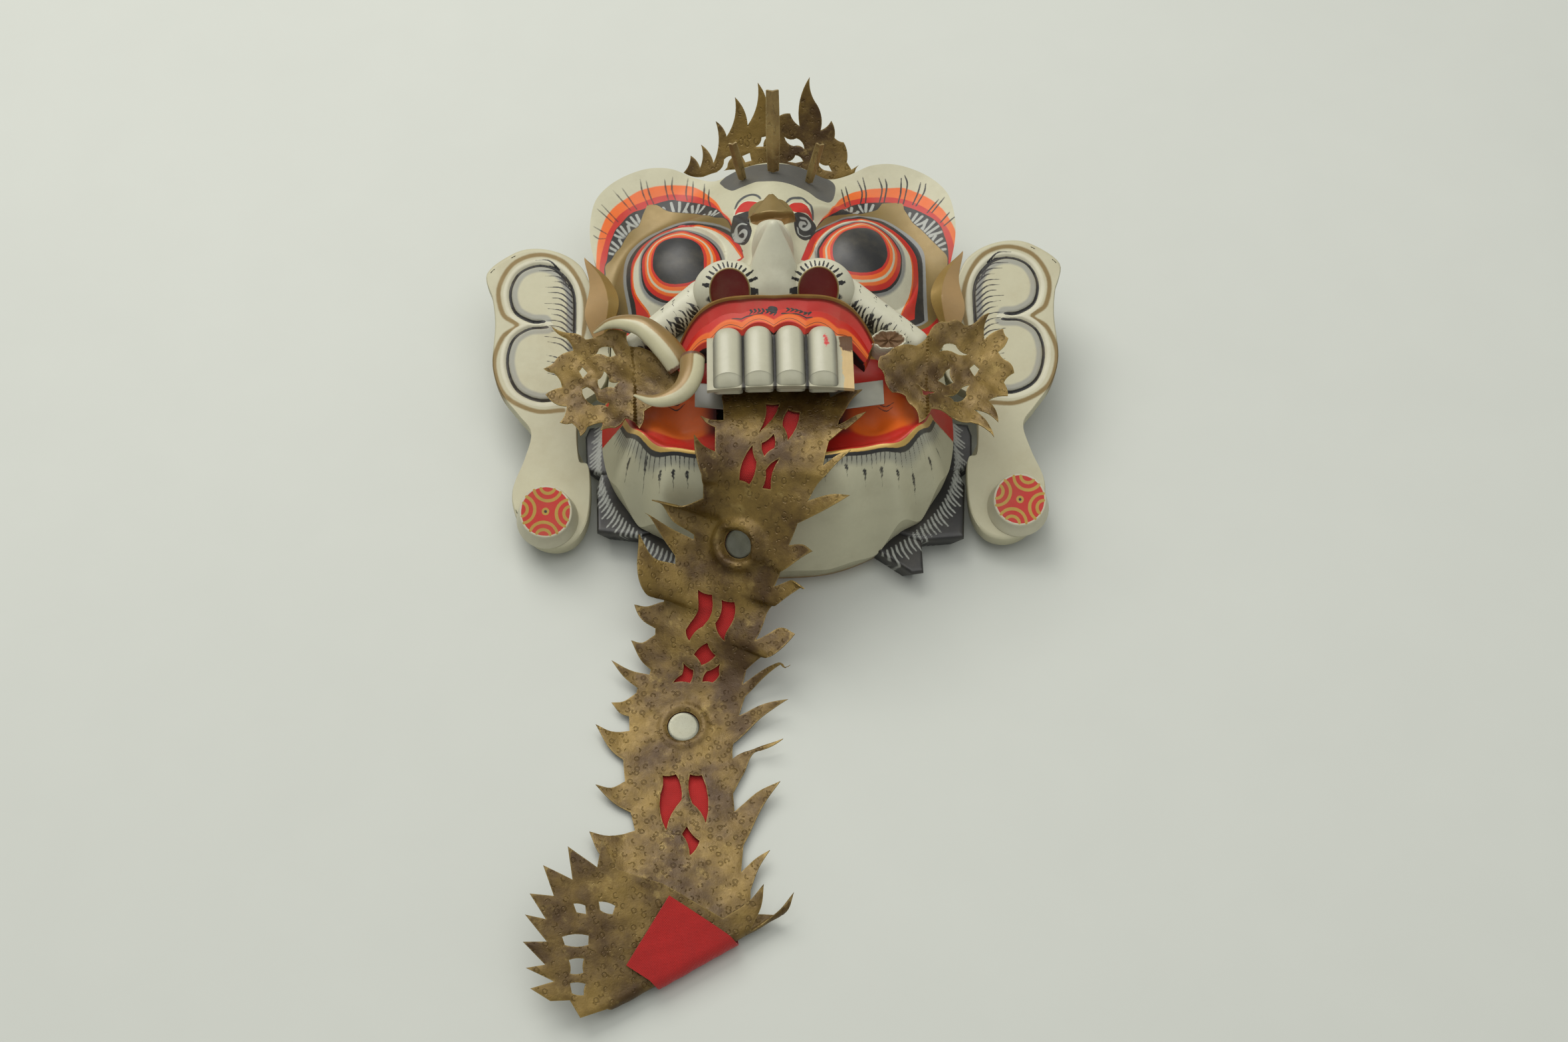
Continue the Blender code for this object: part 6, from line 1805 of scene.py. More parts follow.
EAR_TILT = math.radians(12.0)
EAR_ORIGIN = (-6.0, 24.0)
EAR_THICK = 11.0
EAR_EDGE = [
    (117, 146), (124, 160), (136, 169), (152, 173), (167, 170), (184, 156), (180, 138), (178, 120),
    (179, 92), (173, 73), (162, 58), (154, 46), (158, 28), (165, 8), (162, -9), (152, -24), (138, -29),
    (125, -24), (117.5, -8), (117.5, 22), (124, 28), (124, 62), (107, 80), (105.5, 120), (112, 136),
]
LOBES = [
    [(127, 112), (128, 141), (137, 156), (150, 161), (163, 156), (169, 143), (166, 129), (156, 122),
     (147, 121)],
    [(145, 118), (157, 117), (167, 109), (170, 93), (164, 76), (150, 68), (134, 69)],
]
LOBE_GOLD = [(127, 98), (121, 118), (122, 141), (133, 161), (150, 168), (167, 162), (176, 145), (173, 127),
             (164, 119), (173, 111), (178, 93), (171, 72), (152, 61), (134, 61)]
GROOVE = (2.3, 1.6)
PLUG_AT = {"left": (-142.9, -10.5), "right": (147.3, -8.5)}
PLUG = (19.0, 16.4, 13.0)
PLUG_TILT = math.radians(26.0)


def cut_flat(outline: Array, holes: Sequence[Array], spacing: float,
             extra: Array | None = None) -> tuple[Array, Array]:
    """Triangles of a flat outline with holes, over its own corners and a staggered grid inside.

    Args:
        outline: corners in order.
        holes: corners of each opening.
        spacing: step of the grid.
        extra: points kept as well.

    Returns:
        Flat points and triangles, facing up.
    """
    loops = [np.asarray(outline, float)] + [np.asarray(hole, float) for hole in holes]
    low, high = loops[0].min(axis=0), loops[0].max(axis=0)
    gx, gy = np.meshgrid(np.arange(low[0], high[0], spacing), np.arange(low[1], high[1], spacing * 0.866))
    gx = gx + spacing / 2 * (np.arange(gx.shape[0]) % 2)[:, None]
    grid = np.column_stack([gx.ravel(), gy.ravel()])
    if extra is not None:
        grid = np.vstack([grid, extra])
    field_in = region_field(grid[:, 0], grid[:, 1], loops[0], 1.0)
    keep = field_in < -spacing * 0.45
    for hole in loops[1:]:
        keep &= region_field(grid[:, 0], grid[:, 1], hole, spacing) > spacing * 0.45
    flat = np.vstack(loops + [grid[keep]])
    edges = []
    start = 0
    for loop in loops:
        edges += [(start + i, start + (i + 1) % len(loop)) for i in range(len(loop))]
        start += len(loop)
    made = delaunay_2d_cdt([Vector(p) for p in flat], edges, [], 0, 1e-6)
    flat = np.array([tuple(v) for v in made[0]])
    faces = np.array([tuple(f) for f in made[2]])
    centre = flat[faces].mean(axis=1)
    inside = inside_loop(centre[:, 0], centre[:, 1], loops[0])
    for hole in loops[1:]:
        inside &= ~inside_loop(centre[:, 0], centre[:, 1], hole)
    used, faces = np.unique(faces[inside], return_inverse=True)
    flat, faces = flat[used], faces.reshape(-1, 3)
    area = flat[faces]
    a, b = area[:, 1] - area[:, 0], area[:, 2] - area[:, 0]
    turn = a[:, 0] * b[:, 1] - a[:, 1] * b[:, 0]
    faces[turn < 0] = faces[turn < 0][:, ::-1]
    return flat, faces


def border_edges(faces: Array) -> Array:
    """Edges that only one triangle has, in its direction."""
    ends = np.vstack([faces[:, [0, 1]], faces[:, [1, 2]], faces[:, [2, 0]]])
    key = np.sort(ends, axis=1)
    _, first, count = np.unique(key, axis=0, return_index=True, return_counts=True)
    return ends[first[count == 1]]


def dense_loop(loop: Array, step: float) -> Array:
    """The loop with points at no more than a step along its straight sides."""
    parts = []
    for a, b in zip(loop, np.roll(loop, -1, axis=0)):
        count = max(1, int(math.ceil(math.hypot(*(b - a)) / step)))
        parts.append(a + (b - a) * (np.arange(count) / count)[:, None])
    return np.vstack(parts)


def edge_field(flat: Array, loops: Sequence[Array]) -> Array:
    """Distance of flat points to the nearest cut edge, up to 8 mm."""
    return np.minimum.reduce([np.abs(region_field(flat[:, 0], flat[:, 1], np.asarray(loop, float), 8.0))
                              for loop in loops] + [np.full(len(flat), 8.0)])


def leather_sheet(outline: Array, holes: Sequence[Array], place: Callable[[Array, Array], Array],
                  spacing: float, thick: float = LEATHER, extra: Array | None = None) -> Surface:
    """Cut sheet with a thickness: flat triangles placed in space, then both faces set apart along the normal.

    Args:
        outline: flat corners.
        holes: flat corners of each opening.
        place: point in space of flat coordinates.
        spacing: step of the triangles.
        thick: thickness.
        extra: flat points kept as well.

    Returns:
        The closed surface with the field "edge".
    """
    outline = dense_loop(np.asarray(outline, float), spacing)
    holes = [dense_loop(np.asarray(hole, float), spacing) for hole in holes]
    flat, faces = cut_flat(outline, holes, spacing, extra)
    step = 0.05
    middle = place(flat[:, 0], flat[:, 1])
    du = place(flat[:, 0] + step, flat[:, 1]) - middle
    dv = place(flat[:, 0], flat[:, 1] + step) - middle
    normal = unit(np.cross(du, dv))
    edge = edge_field(flat, [outline, *holes])
    round_off = 0.25 * (1 - smoothstep(0.0, 0.8, edge))[:, None] * thick
    points = np.vstack([middle + normal * (thick / 2 - round_off), middle - normal * (thick / 2 - round_off)])
    n = len(flat)
    border = border_edges(faces)
    walls = np.column_stack([border[:, 1], border[:, 0], border[:, 0] + n, border[:, 1] + n])
    blocks = turned_out(points, [faces, faces[:, ::-1] + n, walls])
    return Surface(points, blocks, {"edge": np.tile(edge, 2)})


def on_ear(x: Array, y: Array, lift: Array | float) -> Array:
    """Points at plan places, lifted from the front plane of the ear board."""
    c, s = math.cos(EAR_TILT), math.sin(EAR_TILT)
    along = (np.asarray(y, float) - EAR_ORIGIN[0]) / c
    return np.column_stack([np.asarray(x, float), EAR_ORIGIN[0] + along * c - lift * s,
                            EAR_ORIGIN[1] + along * s + lift * c])


def signed_chain(x: Array, y: Array, chain: Array) -> Array:
    """Distance to an open chain, positive on its left side."""
    best = np.full(np.shape(x), 1e9)
    for a, b in zip(chain[:-1], chain[1:]):
        d = b - a
        t = np.clip(((x - a[0]) * d[0] + (y - a[1]) * d[1]) / max(d @ d, 1e-9), 0, 1)
        away = np.hypot(x - a[0] - t * d[0], y - a[1] - t * d[1])
        side = np.where(d[0] * (y - a[1]) - d[1] * (x - a[0]) >= 0, 1.0, -1.0)
        best = np.where(away < np.abs(best), away * side, best)
    return best


@dataclass
class Ear:
    """Flat carved board with a sunk double curl, painted along the groove."""

    side: int
    middle: tuple[float, float] = (142.0, 70.0)
    spacing: float = 0.85

    def build(self, finish: bpy.types.Material) -> None:
        """Dense front with the groove in it, then rings down the board's edge to its back."""
        edge = dense_loop(spline(EAR_EDGE, 6, True), 1.6)
        middle = np.array(self.middle)
        front = middle + (edge - middle) * 0.975
        flat, faces = cut_flat(front, [], self.spacing)
        x, y = flat[:, 0], flat[:, 1]
        chains = [spline(lobe, 8) for lobe in LOBES]
        signed = [signed_chain(x, y, chain) for chain in chains]
        away = np.minimum(*[np.abs(s) for s in signed])
        ends = np.minimum.reduce([np.hypot(x - c[k][0], y - c[k][1]) for c in chains for k in (0, -1)])
        lift = -GROOVE[1] * (1 - smoothstep(0.0, GROOVE[0], away)) * smoothstep(0.0, 4.0, ends)
        n = len(front)
        rings = [front, middle + (edge - middle) * 0.993, edge, edge, middle + (edge - middle) * 0.99,
                 middle + (edge - middle) * 0.5]
        levels = [0.0, -0.4, -1.5, -EAR_THICK + 1.0, -EAR_THICK, -EAR_THICK]
        parts = [on_ear(self.side * x, y, lift)]
        parts += [on_ear(self.side * r[:, 0], r[:, 1], level) for r, level in zip(rings[1:], levels[1:])]
        parts.append(on_ear([self.side * middle[0]], [middle[1]], -EAR_THICK))
        points = np.vstack(parts)
        count = len(flat)
        index = np.vstack([np.arange(n)] + [count + n * k + np.arange(n) for k in range(5)])
        j, k = np.arange(n), (np.arange(n) + 1) % n
        walls = np.vstack([np.column_stack([a[j], b[j], b[k], a[k]]) for a, b in zip(index[:-1], index[1:])])
        fan = np.column_stack([index[-1][j], np.full(n, len(points) - 1), index[-1][k]])
        blocks = turned_out(points, [faces, walls, fan])
        px, py = points[:, 0] * self.side, np.concatenate([y, *[r[:, 1] for r in rings[1:]], [middle[1]]])
        reach = [signed_chain(px, py, chain) for chain in chains]
        bands = {
            "ink": [np.abs(r + 0.4) - 1.0 for r in reach],
            "grey": [np.abs(r + 3.2) - 1.9 for r in reach],
            "cream": [np.abs(r - 2.4) - 1.7 for r in reach],
        }
        fields = {key: np.minimum(*values) for key, values in bands.items()}
        fields["gold"] = chain_distance(px, py, spline(LOBE_GOLD, 8)) - 1.5
        fields["shade"] = stroke_field(px, py, [np.array([(128.5, 98), (129.5, 112), (130.5, 140),
                                                          (136, 152)])], 2.6, (1.0, 0.4))
        hairs = []
        for i, at in enumerate(np.arange(99, 158, 3.9)):
            foot = np.array([129.0 + max(0.0, (at - 142) * 0.55), at])
            tip = foot + (15.5 + 2.5 * math.sin(i * 2.1), 8.5 - 0.03 * (at - 99))
            hairs.append(spline([foot, foot + (7.0, 6.4), tip], 5))
        for at in np.arange(80, 96, 4.0):
            hairs.append(spline([(133, at - 1), (137.5, at + 4.2), (145, at + 6.5)], 5))
        fields["hair"] = stroke_field(px, py, hairs, 0.55, (1.0, 0.4))
        word = "left" if self.side < 0 else "right"
        Surface(points, blocks, fields).make(f"ear_{word}_board", finish, (f"ear_{word}",), Slot.EAR.value)


@dataclass
class EarPlug:
    """Tapered plug with a tilted painted disc."""

    word: str
    turn: float

    def build(self, finish: bpy.types.Material) -> None:
        """Circles from the board to the disc's rim, then inward over the disc."""
        x, y = PLUG_AT[self.word]
        theta = 2 * math.pi * np.arange(128) / 128
        ring = np.column_stack([np.cos(theta), np.sin(theta)])
        middle = on_ear([x], [y], GAP + PLUG[2])[0]
        root = on_ear([x], [y], 0)[0]
        c, s = math.cos(PLUG_TILT), math.sin(PLUG_TILT)
        rings = [on_ear(x + PLUG[0] * ring[:, 0], y + PLUG[0] * ring[:, 1], GAP)]
        stations = [(0.2, 18.4), (0.45, 17.6), (0.7, 16.9), (0.82, 16.4), (0.95, 16.3), (0.995, 15.9),
                    (1.0, 15.4)]
        stations += [(1.0, r) for r in np.linspace(14.8, 0.7, 24)]
        for share, radius in stations:
            tilt = smoothstep(0.0, 0.8, share)
            flat = on_ear(x + ring[:, 0] * radius, y + ring[:, 1] * radius, GAP) - on_ear([x], [y], GAP)
            leaning = np.column_stack([ring[:, 0], ring[:, 1] * c, ring[:, 1] * s]) * radius
            rings.append(root * (1 - share) + middle * share + flat * (1 - tilt) + leaning * tilt)
        body = lofted(rings)
        radius = np.concatenate([[PLUG[0]] * 128, *[np.full(128, r) for _, r in stations], [PLUG[0], 0.0]])
        share = np.concatenate([[0.0] * 128, *[np.full(128, k) for k, _ in stations], [0.0, 1.0]])
        angle = np.concatenate([np.tile(theta, len(rings)), [0.0, 0.0]]) + self.turn
        u, v = radius * np.cos(angle), radius * np.sin(angle)
        top = share > 0.9
        body.fields["disc"] = np.where(top, radius - 14.9, 3.0)
        arcs = []
        for quarter in range(4):
            turn = quarter * math.pi / 2
            spin = np.array([[math.cos(turn), math.sin(turn)], [-math.sin(turn), math.cos(turn)]])
            sweep = np.linspace(-1.25, 1.25, 15)
            outer = np.column_stack([15.2 - 8.6 * np.cos(sweep), 8.6 * np.sin(sweep)])
            inner = np.column_stack([15.2 - 4.0 * np.cos(sweep), 4.4 * np.sin(sweep)])
            arcs += [outer @ spin, inner @ spin]
        gold = np.minimum(stroke_field(u, v, arcs, 1.0, (0.9, 0.9)), np.hypot(u, v) - 2.3)
        body.fields["gold"] = np.where(top, gold, 3.0)
        body.fields["hole"] = np.where(top, radius - 0.9, 3.0)
        body.make(f"plug_{self.word}", finish, (f"ear_plug_{self.word}",), Slot.PLUG.value)


@dataclass
class TempleLeaf:
    """Pointed gilded leaf folded along its length."""

    side: int
    spine: tuple[Point, ...] = ((120, 152, 77), (109, 136, 75), (105, 120, 70), (109, 105, 53))
    inner: tuple[Point, ...] = ((119.4, 151.2, 76.6), (104, 138, 70), (98.5, 121, 67), (107, 105, 54))
    outer: tuple[Point, ...] = ((120.2, 150.8, 76.6), (117, 135, 69), (120, 117, 62), (114, 104, 52))

    def build(self, finish: bpy.types.Material) -> None:
        """Bowed cross sections carried down three curves: both edges and the fold between them."""
        lines = [spline(line, 14) * (self.side, 1, 1) for line in (self.inner, self.spine, self.outer)]
        count = len(lines[0])
        share = np.linspace(0, 1, 13)[:, None]
        tops = []
        for i in range(count):
            near, mid, far = (line[i] for line in lines)
            left = near + (mid - near) * share
            right = mid + (far - mid) * share
            tops.append(np.vstack([left, right[1:]]))
        rings = []
        for i, top in enumerate(tops):
            rings.append(np.vstack([top, (top - np.array([0, 0, 1.5 if i else 0.6]))[::-1]]))
        body = lofted(rings)
        across = np.tile(np.concatenate([np.linspace(-1, 1, 25), np.linspace(1, -1, 25)]), count)
        width = np.repeat([np.linalg.norm(top[0] - top[-1]) / 2 for top in tops], 50)
        body.fields["fold"] = np.concatenate([across * width, [0, 0]])
        word = "left" if self.side < 0 else "right"
        body.make(f"leaf_{word}", finish, (f"temple_leaf_{word}",), Slot.LEAF.value)


@dataclass
class Tusk:
    """Curved tusk: round and pale outside, flat and brown on its inner face."""

    name: str
    path: tuple[Point, ...]
    root_cut: float

    def build(self, finish: bpy.types.Material) -> None:
        """Cut ellipses carried along a curve that narrows to the tip."""
        curve = spline(self.path, 16)
        middle, half = curve[:, :3], curve[:, 3]
        along = unit(np.gradient(middle, axis=0))
        theta = 2 * math.pi * np.arange(64) / 64
        rings = []
        for p, t, h in zip(middle, along, half):
            side = unit(np.cross(t, (0, 0, 1)))
            up = np.cross(side, t)
            ring = p + h * (np.cos(theta)[:, None] * side + self.root_cut
                            * np.maximum(np.sin(theta), -0.9)[:, None] * up)
            rings.append(ring)
        body = lofted(rings)
        run = np.concatenate([[0], np.cumsum(np.linalg.norm(np.diff(middle, axis=0), axis=1))])
        body.fields["root"] = np.concatenate([np.repeat(run, 64), [0, run[-1]]]) - 2.2
        side = np.concatenate([np.tile(np.cos(theta), len(rings)), [0, 0]])
        wide = np.concatenate([np.repeat(half, 64), [half[0], half[-1]]])
        top = np.concatenate([np.tile(np.sin(theta), len(rings)), [0, 0]])
        body.fields["inner"] = np.where(top > -0.2, (-side - 0.12) * wide, 6.0)
        body.make(f"{self.name}_horn", finish, (self.name,), Slot.TUSK.value)


# Gilded leather

CREST_BASE = (0.0, 234.2, 58.0)
CREST_LEAN = math.radians(40.0)
CREST_TIPS = [
    (-58, 3), (-53, 14), (-47, 6), (-46, 21), (-38, 9), (-36, 36), (-29, 26), (-23, 51), (-15, 33),
    (-8, 60), (-2, 42), (5, 38), (13, 40), (19, 32), (26, 63), (31, 45), (33, 29), (40, 35), (42, 24),
    (48, 21), (50, 8), (53, 3), (58, 6), (55, 0), (0, 0), (-45, 0),
]
CREST_HOLES = [
    [(-10, 19), (-6, 25), (-1, 26), (-5, 19)], [(9, 25), (17, 24), (22, 17), (15, 19)],
    [(-36, 3), (-31, 11), (-24, 13), (-29, 6)], [(-19, 13), (-14, 15), (-13, 10), (-17, 9)],
    [(11, 9), (16, 13), (21, 9), (16, 8)], [(31, 9), (38, 6), (40, 2), (35, 3)],
]
SPIKES = {
    "crest_spike_mid": ((1, 218), (1, 240, 133), 4.6),
    "crest_spike_left": ((-19, 216), (-25, 221, 105), 3.2),
    "crest_spike_right": ((24, 214), (31, 219, 105), 3.2),
}


def curved(loop: Sequence[Point], steps: int = 8, sway: float = 0.10) -> Array:
    """The loop with each long side swayed into a soft arc, in and out by turns."""
    points = np.asarray(loop, float)
    made = []
    for i, (a, b) in enumerate(zip(points, np.roll(points, -1, axis=0))):
        d = b - a
        t = (np.arange(steps) / steps)[:, None]
        bend = np.array([-d[1], d[0]]) * sway * (1 if i % 2 else -1) * (math.hypot(*d) > 6)
        made.append(a + d * t + bend * 4 * t * (1 - t))
    return np.vstack(made)


def plane_frame(origin: Point, normal: Point) -> tuple[Array, Array, Array, Array]:
    """Origin, sideways, upward and outward vectors of a tilted plane."""
    out = unit(np.array(normal, float))
    up = unit(np.array([0.0, 1.0, 0.0]) - out[1] * out)
    return np.array(origin, float), np.cross(up, out), up, out


@dataclass
class Crest:
    """Pierced fan of flames that leans behind the crown."""

    def place(self, a: Array, b: Array) -> Array:
        """Point of the leaning sheet: it curls forward with its height and back with its width."""
        normal = (0.0, -math.sin(CREST_LEAN), math.cos(CREST_LEAN))
        origin, side, up, out = plane_frame(CREST_BASE, normal)
        ripple = 0.35 * np.sin(a * 0.21) * smoothstep(5, 30, b)
        curl = 0.0035 * np.clip(b - 5, 0, None) ** 2 - 0.0012 * a**2 + ripple
        return origin + a[:, None] * side + b[:, None] * up + curl[:, None] * out

    def build(self, finish: bpy.types.Material) -> None:
        """Cuts and bends the fan."""
        holes = [curved(hole, 4, 0.16) for hole in CREST_HOLES]
        leather_sheet(curved(CREST_TIPS), holes, self.place, 1.3).make("crest_fan", finish, ("crest",),
                                                                       Slot.LEATHER.value)


@dataclass
class Spike:
    """Narrow strip folded into a V."""

    name: str
    root: tuple[float, float]
    tip: Point
    half: float

    def build(self, finish: bpy.types.Material) -> None:
        """V sections carried from the forehead to the tip."""
        root = np.array(self.root)
        foot = np.array([*self.root, float(skin(root[:1], root[1:])[0]) + 1.2])
        tip = np.array(self.tip, float)
        along = unit(tip - foot)
        side = unit(np.cross(along, (0, -1, 0.2)))
        front = np.cross(side, along)
        rings, edge = [], []
        for share in np.linspace(0, 1, 41):
            p = foot + (tip - foot) * share
            w = self.half * float(np.interp(share, (0, 0.35, 0.8, 1.0), (0.8, 1.0, 0.95, 0.9)))
            v = np.linspace(-1, 1, 15)[:, None]
            face = p + side * w * v + front * w * 0.7 * (1 - np.abs(v))
            back = p + side * (w - 0.9) * v + front * ((w * 0.7 - 0.6) * (1 - np.abs(v)) - 0.9)
            rings.append(np.vstack([face, back[::-1]]))
            edge.append(np.tile(w * (1 - np.abs(v[:, 0])), 2))
        body = lofted(rings)
        body.fields["edge"] = np.concatenate([*edge, [0, 0]])
        body.make(f"{self.name}_strip", finish, (self.name,), Slot.LEATHER.value)


@dataclass
class Rosette:
    """Pierced disc of curling flames that stands at a corner of the mouth."""

    name: str
    origin: Point
    normal: Point
    tips: tuple[Point, ...]
    holes: tuple[tuple[Point, ...], ...]

    def place(self, a: Array, b: Array) -> Array:
        """Point of the sheet: a shallow cup with a five-fold wave and small dents."""
        origin, side, up, out = plane_frame(self.origin, self.normal)
        away = np.hypot(a, b)
        cup = 0.0042 * np.clip(away, 0, 45) ** 2 * np.where(a * np.sign(origin[0]) < -22, 0.35, 1.0)
        wave = 1.3 * np.sin(5 * np.arctan2(b, a)) * np.clip(away / 30, 0, 1)
        dent = 0.45 * np.sin(a * 0.42 + 1.0) * np.sin(b * 0.37)
        return origin + a[:, None] * side + b[:, None] * up + (cup + wave + dent)[:, None] * out

    def build(self, finish: bpy.types.Material) -> None:
        """Cuts and bends the disc."""
        body = leather_sheet(curved(self.tips), [curved(hole, 4, 0.14) for hole in self.holes], self.place,
                             1.3)
        body.make(f"{self.name}_disc", finish, (self.name,), Slot.LEATHER.value)


ROSETTES = (
    Rosette("rosette_left", (-108, 50, 87.9), (-0.15, -0.27, 0.9), (
        (-27, 34), (-15, 29), (-7, 24), (8, 28), (19, 25), (20, 16), (35, 9), (45, 2), (50, -6), (49, -19),
        (39, -23), (27, -27), (24, -38), (16, -31), (9, -36), (0, -36), (2, -31), (-8, -33), (-12, -39),
        (-17, -30), (-24, -29), (-20, -18), (-30, -13), (-33, -9), (-23, -5), (-27, 4), (-33, 7), (-25, 13),
        (-15, 18), (-19, 26)),
            (((-4, 13), (1, 17), (9, 17), (11, 12), (4, 13)), ((-12, 4), (-10, 7), (-7, 3), (-10, 0)),
             ((-1, -2), (3, 3), (6, -4), (12, -5), (9, -9), (1, -9)),
             ((-11, -7), (-8, -6), (-2, -15), (6, -18), (5, -21), (-4, -19)))),
    Rosette("rosette_right", (112, 50, 88.2), (0.15, -0.27, 0.9), (
        (-51, 3), (-44, 8), (-29, 12), (-20, 23), (-13, 29), (-6, 30), (1, 27), (9, 31), (16, 36), (14, 20),
        (25, 27), (28, 21), (22, 12), (28, 6), (32, -1), (26, -7), (28, -16), (16, -20), (21, -35),
        (7, -26), (18, -45), (5, -35), (-8, -32), (-20, -29), (-27, -38), (-30, -28), (-35, -21),
        (-43, -19), (-48, -9), (-52, -4)),
            (((-14, 10), (-11, 15), (-4, 15), (4, 10), (-4, 10)), ((5, 1), (8, 4), (11, 1), (8, -4)),
             ((-15, -9), (-11, -5), (-7, 0), (-5, -9), (-10, -12)),
             ((-11, -19), (-2, -15), (5, -10), (3, -17), (-5, -22)), ((-28, -12), (-17, -17), (-24, -19)))),
)


# Tongue

TONGUE_PATH = [
    (-3, 44, 92), (-4, 22, 98), (-9, -2, 100), (-13, -23, 94.5), (-15, -34, 83), (-20, -46, 65),
    (-26, -54, 50), (-36, -70, 38), (-40, -84, 28), (-46, -95, 20), (-52, -113, 10), (-58, -138, 5),
    (-62, -161, 4), (-61, -180, 4), (-59, -208, 4), (-58, -240, 5), (-57, -280, 5), (-56, -320, 5),
    (-56, -440, 5),
]
FLAMES_LEFT = [
    ((24, -30), None, None), ((44, -25), (44, -39), (49, -29)), ((65, -26), (57, -40), (76, -32)),
    ((97, -29), (114, -55), (129, -28)), ((132, -27), (128, -56), (144, -32)),
    ((147, -30), (142, -54), (168, -34)),
    ((174, -33), (179, -48), (185, -31)), ((188, -30), (194, -43), (207, -27)),
    ((210, -27), (207, -51), (219, -32)),
    ((222, -32), (231, -45), (237, -33)), ((245, -31), (245, -51), (258, -33)),
    ((271, -33), (273, -50), (291, -31)),
    ((304, -29), (305, -55), (327, -42)),
]
FAN = [
    (345, -34), (372, -36), (396, -38), (420, -43), (430, -55), (440, -50), (449, -56), (462, -56),
    (453, -46), (470, -48), (462, -41), (479, -37), (468, -30), (486, -24), (475, -20), (490, -13),
    (478, -7), (492, 4), (474, 6), (486, 20), (466, 19), (472, 34), (456, 24),
]
FLAMES_RIGHT = [
    ((430, 31), None, None), ((392, 33), (384, 62), (376, 38)), ((374, 36), (366, 68), (360, 35)),
    ((345, 36), (322, 48), (334, 31)), ((317, 33), (282, 57), (296, 29)), ((285, 29), (238, 60), (263, 31)),
    ((245, 31), (209, 58), (225, 31)), ((212, 32), (172, 56), (204, 29)), ((194, 29), (165, 50), (170, 29)),
    ((161, 30), (119, 50), (134, 30)), ((122, 30), (106, 43), (108, 28)), ((96, 29), (79, 56), (84, 32)),
    ((80, 34), (53, 53), (64, 38)), ((47, 39), (24, 57), (34, 42)), ((30, 42), (12, 54), (18, 35)),
    ((8, 32), None, None),
]
TONGUE_TOP = [(3, 18), (2, -14), (8, -28)]
CUTS = [
    [(26, -3), (25, 5), (49, -3)], [(28, 11), (29, 18), (51, 15), (41, 10)],
    [(55, 0), (48, 6), (57, 8), (63, 3)], [(57, -5), (67, -1), (81, -4), (79, -10)],
    [(63, 12), (82, 9), (82, 4), (71, 5)], [(154, -13), (155, -4), (176, -4), (186, -9), (181, -13)],
    [(157, 2), (157, 10), (169, 11), (179, 12), (171, 2)], [(184, 2), (190, 9), (198, 2), (193, -4)],
    [(199, -9), (202, -2), (210, -2), (212, -12), (206, -8)],
    [(194, 13), (201, 14), (207, 11), (208, 5), (201, 6)],
    [(269, -11), (269, -3), (286, -1), (305, -11), (281, -13)], [(270, 5), (271, 12), (302, 12), (289, 5)],
    [(303, 1), (313, 8), (322, 2), (308, -2)], [(466.5, -4.9), (460.3, -2.3), (457.5, -5.9), (462.5, -7.9)],
    [(455.2, 3.5), (446.2, 6.5), (445.0, 1.8), (452.0, 0.0)],
    [(462.1, -23.4), (450.0, -15.1), (447.5, -19.4), (458.4, -26.3)],
    [(452.2, -32.1), (445.5, -27.1), (441.7, -33.5), (447.6, -37.8)],
    [(444.9, -42.3), (437.3, -38.0), (434.9, -43.6), (441.2, -46.2)],
]
BOSS = (121.0, -1.0, 15.0, 5.0)
MIRRORS = {"mirror_upper": (121.0, -1.0, 9.0, 4.4), "mirror_lower": (238.0, 0.0, 9.4, 0.0)}
CREASE = ((-26.0, -277.0), (-117.0, -329.0))
CREASE_RADIUS = 4.0
CREASE_OPEN = math.radians(24.0)
LINING = (20.0, 424.0, -18.0, 27.0)
LINING_DROP = 2.9


def along_path() -> tuple[Array, Array, Array]:
    """Even samples of the strip's middle line: distances, points and directions."""
    curve = spline(TONGUE_PATH, 24)
    run = np.concatenate([[0], np.cumsum(np.linalg.norm(np.diff(curve, axis=0), axis=1))])
    even = np.arange(0, run[-1], 1.0)
    points = np.column_stack([np.interp(even, run, curve[:, k]) for k in range(3)])
    return even, points, unit(np.gradient(points, axis=0))


PATH = along_path()


def fold_over(points: Array, out: Array, lift: Array | float) -> Array:
    """Rolls what lies past the crease over a small radius and back up over the strip, then adds the lift."""
    a, b = np.array(CREASE[0]), np.array(CREASE[1])
    line = unit(b - a)
    past = np.array([line[1], -line[0]])
    past = -past if past[1] > 0 else past
    s, t = (points[:, :2] - a) @ past, (points[:, :2] - a) @ line
    turn = math.pi - CREASE_OPEN
    theta = np.clip(s / CREASE_RADIUS, 0, turn)
    beyond = np.clip(s - turn * CREASE_RADIUS, 0, None)
    across = np.where(s > 0, CREASE_RADIUS * np.sin(theta) - beyond * math.cos(CREASE_OPEN), s)
    rise = np.where(s > 0, CREASE_RADIUS * (1 - np.cos(theta)) + beyond * math.sin(CREASE_OPEN), 0.0)
    xy = a + t[:, None] * line + across[:, None] * past
    turned = np.column_stack([-np.sin(theta)[:, None] * past, np.cos(theta)])
    normal = np.where((s > 0)[:, None], turned, out)
    return np.column_stack([xy, points[:, 2] + rise]) + normal * np.asarray(lift, float).reshape(-1, 1)


def strip_place(t: Array, w: Array, lift: Array | float = 0.0) -> Array:
    """Points of the strip at distances along and across, lifted off its plane."""
    even, points, ahead = PATH
    p = np.column_stack([np.interp(t, even, points[:, k]) for k in range(3)])
    d = np.column_stack([np.interp(t, even, ahead[:, k]) for k in range(3)])
    side = unit(np.column_stack([-d[:, 1], d[:, 0], np.zeros(len(d))]))
    return fold_over(p + side * np.asarray(w, float)[:, None], np.cross(d, side), lift)


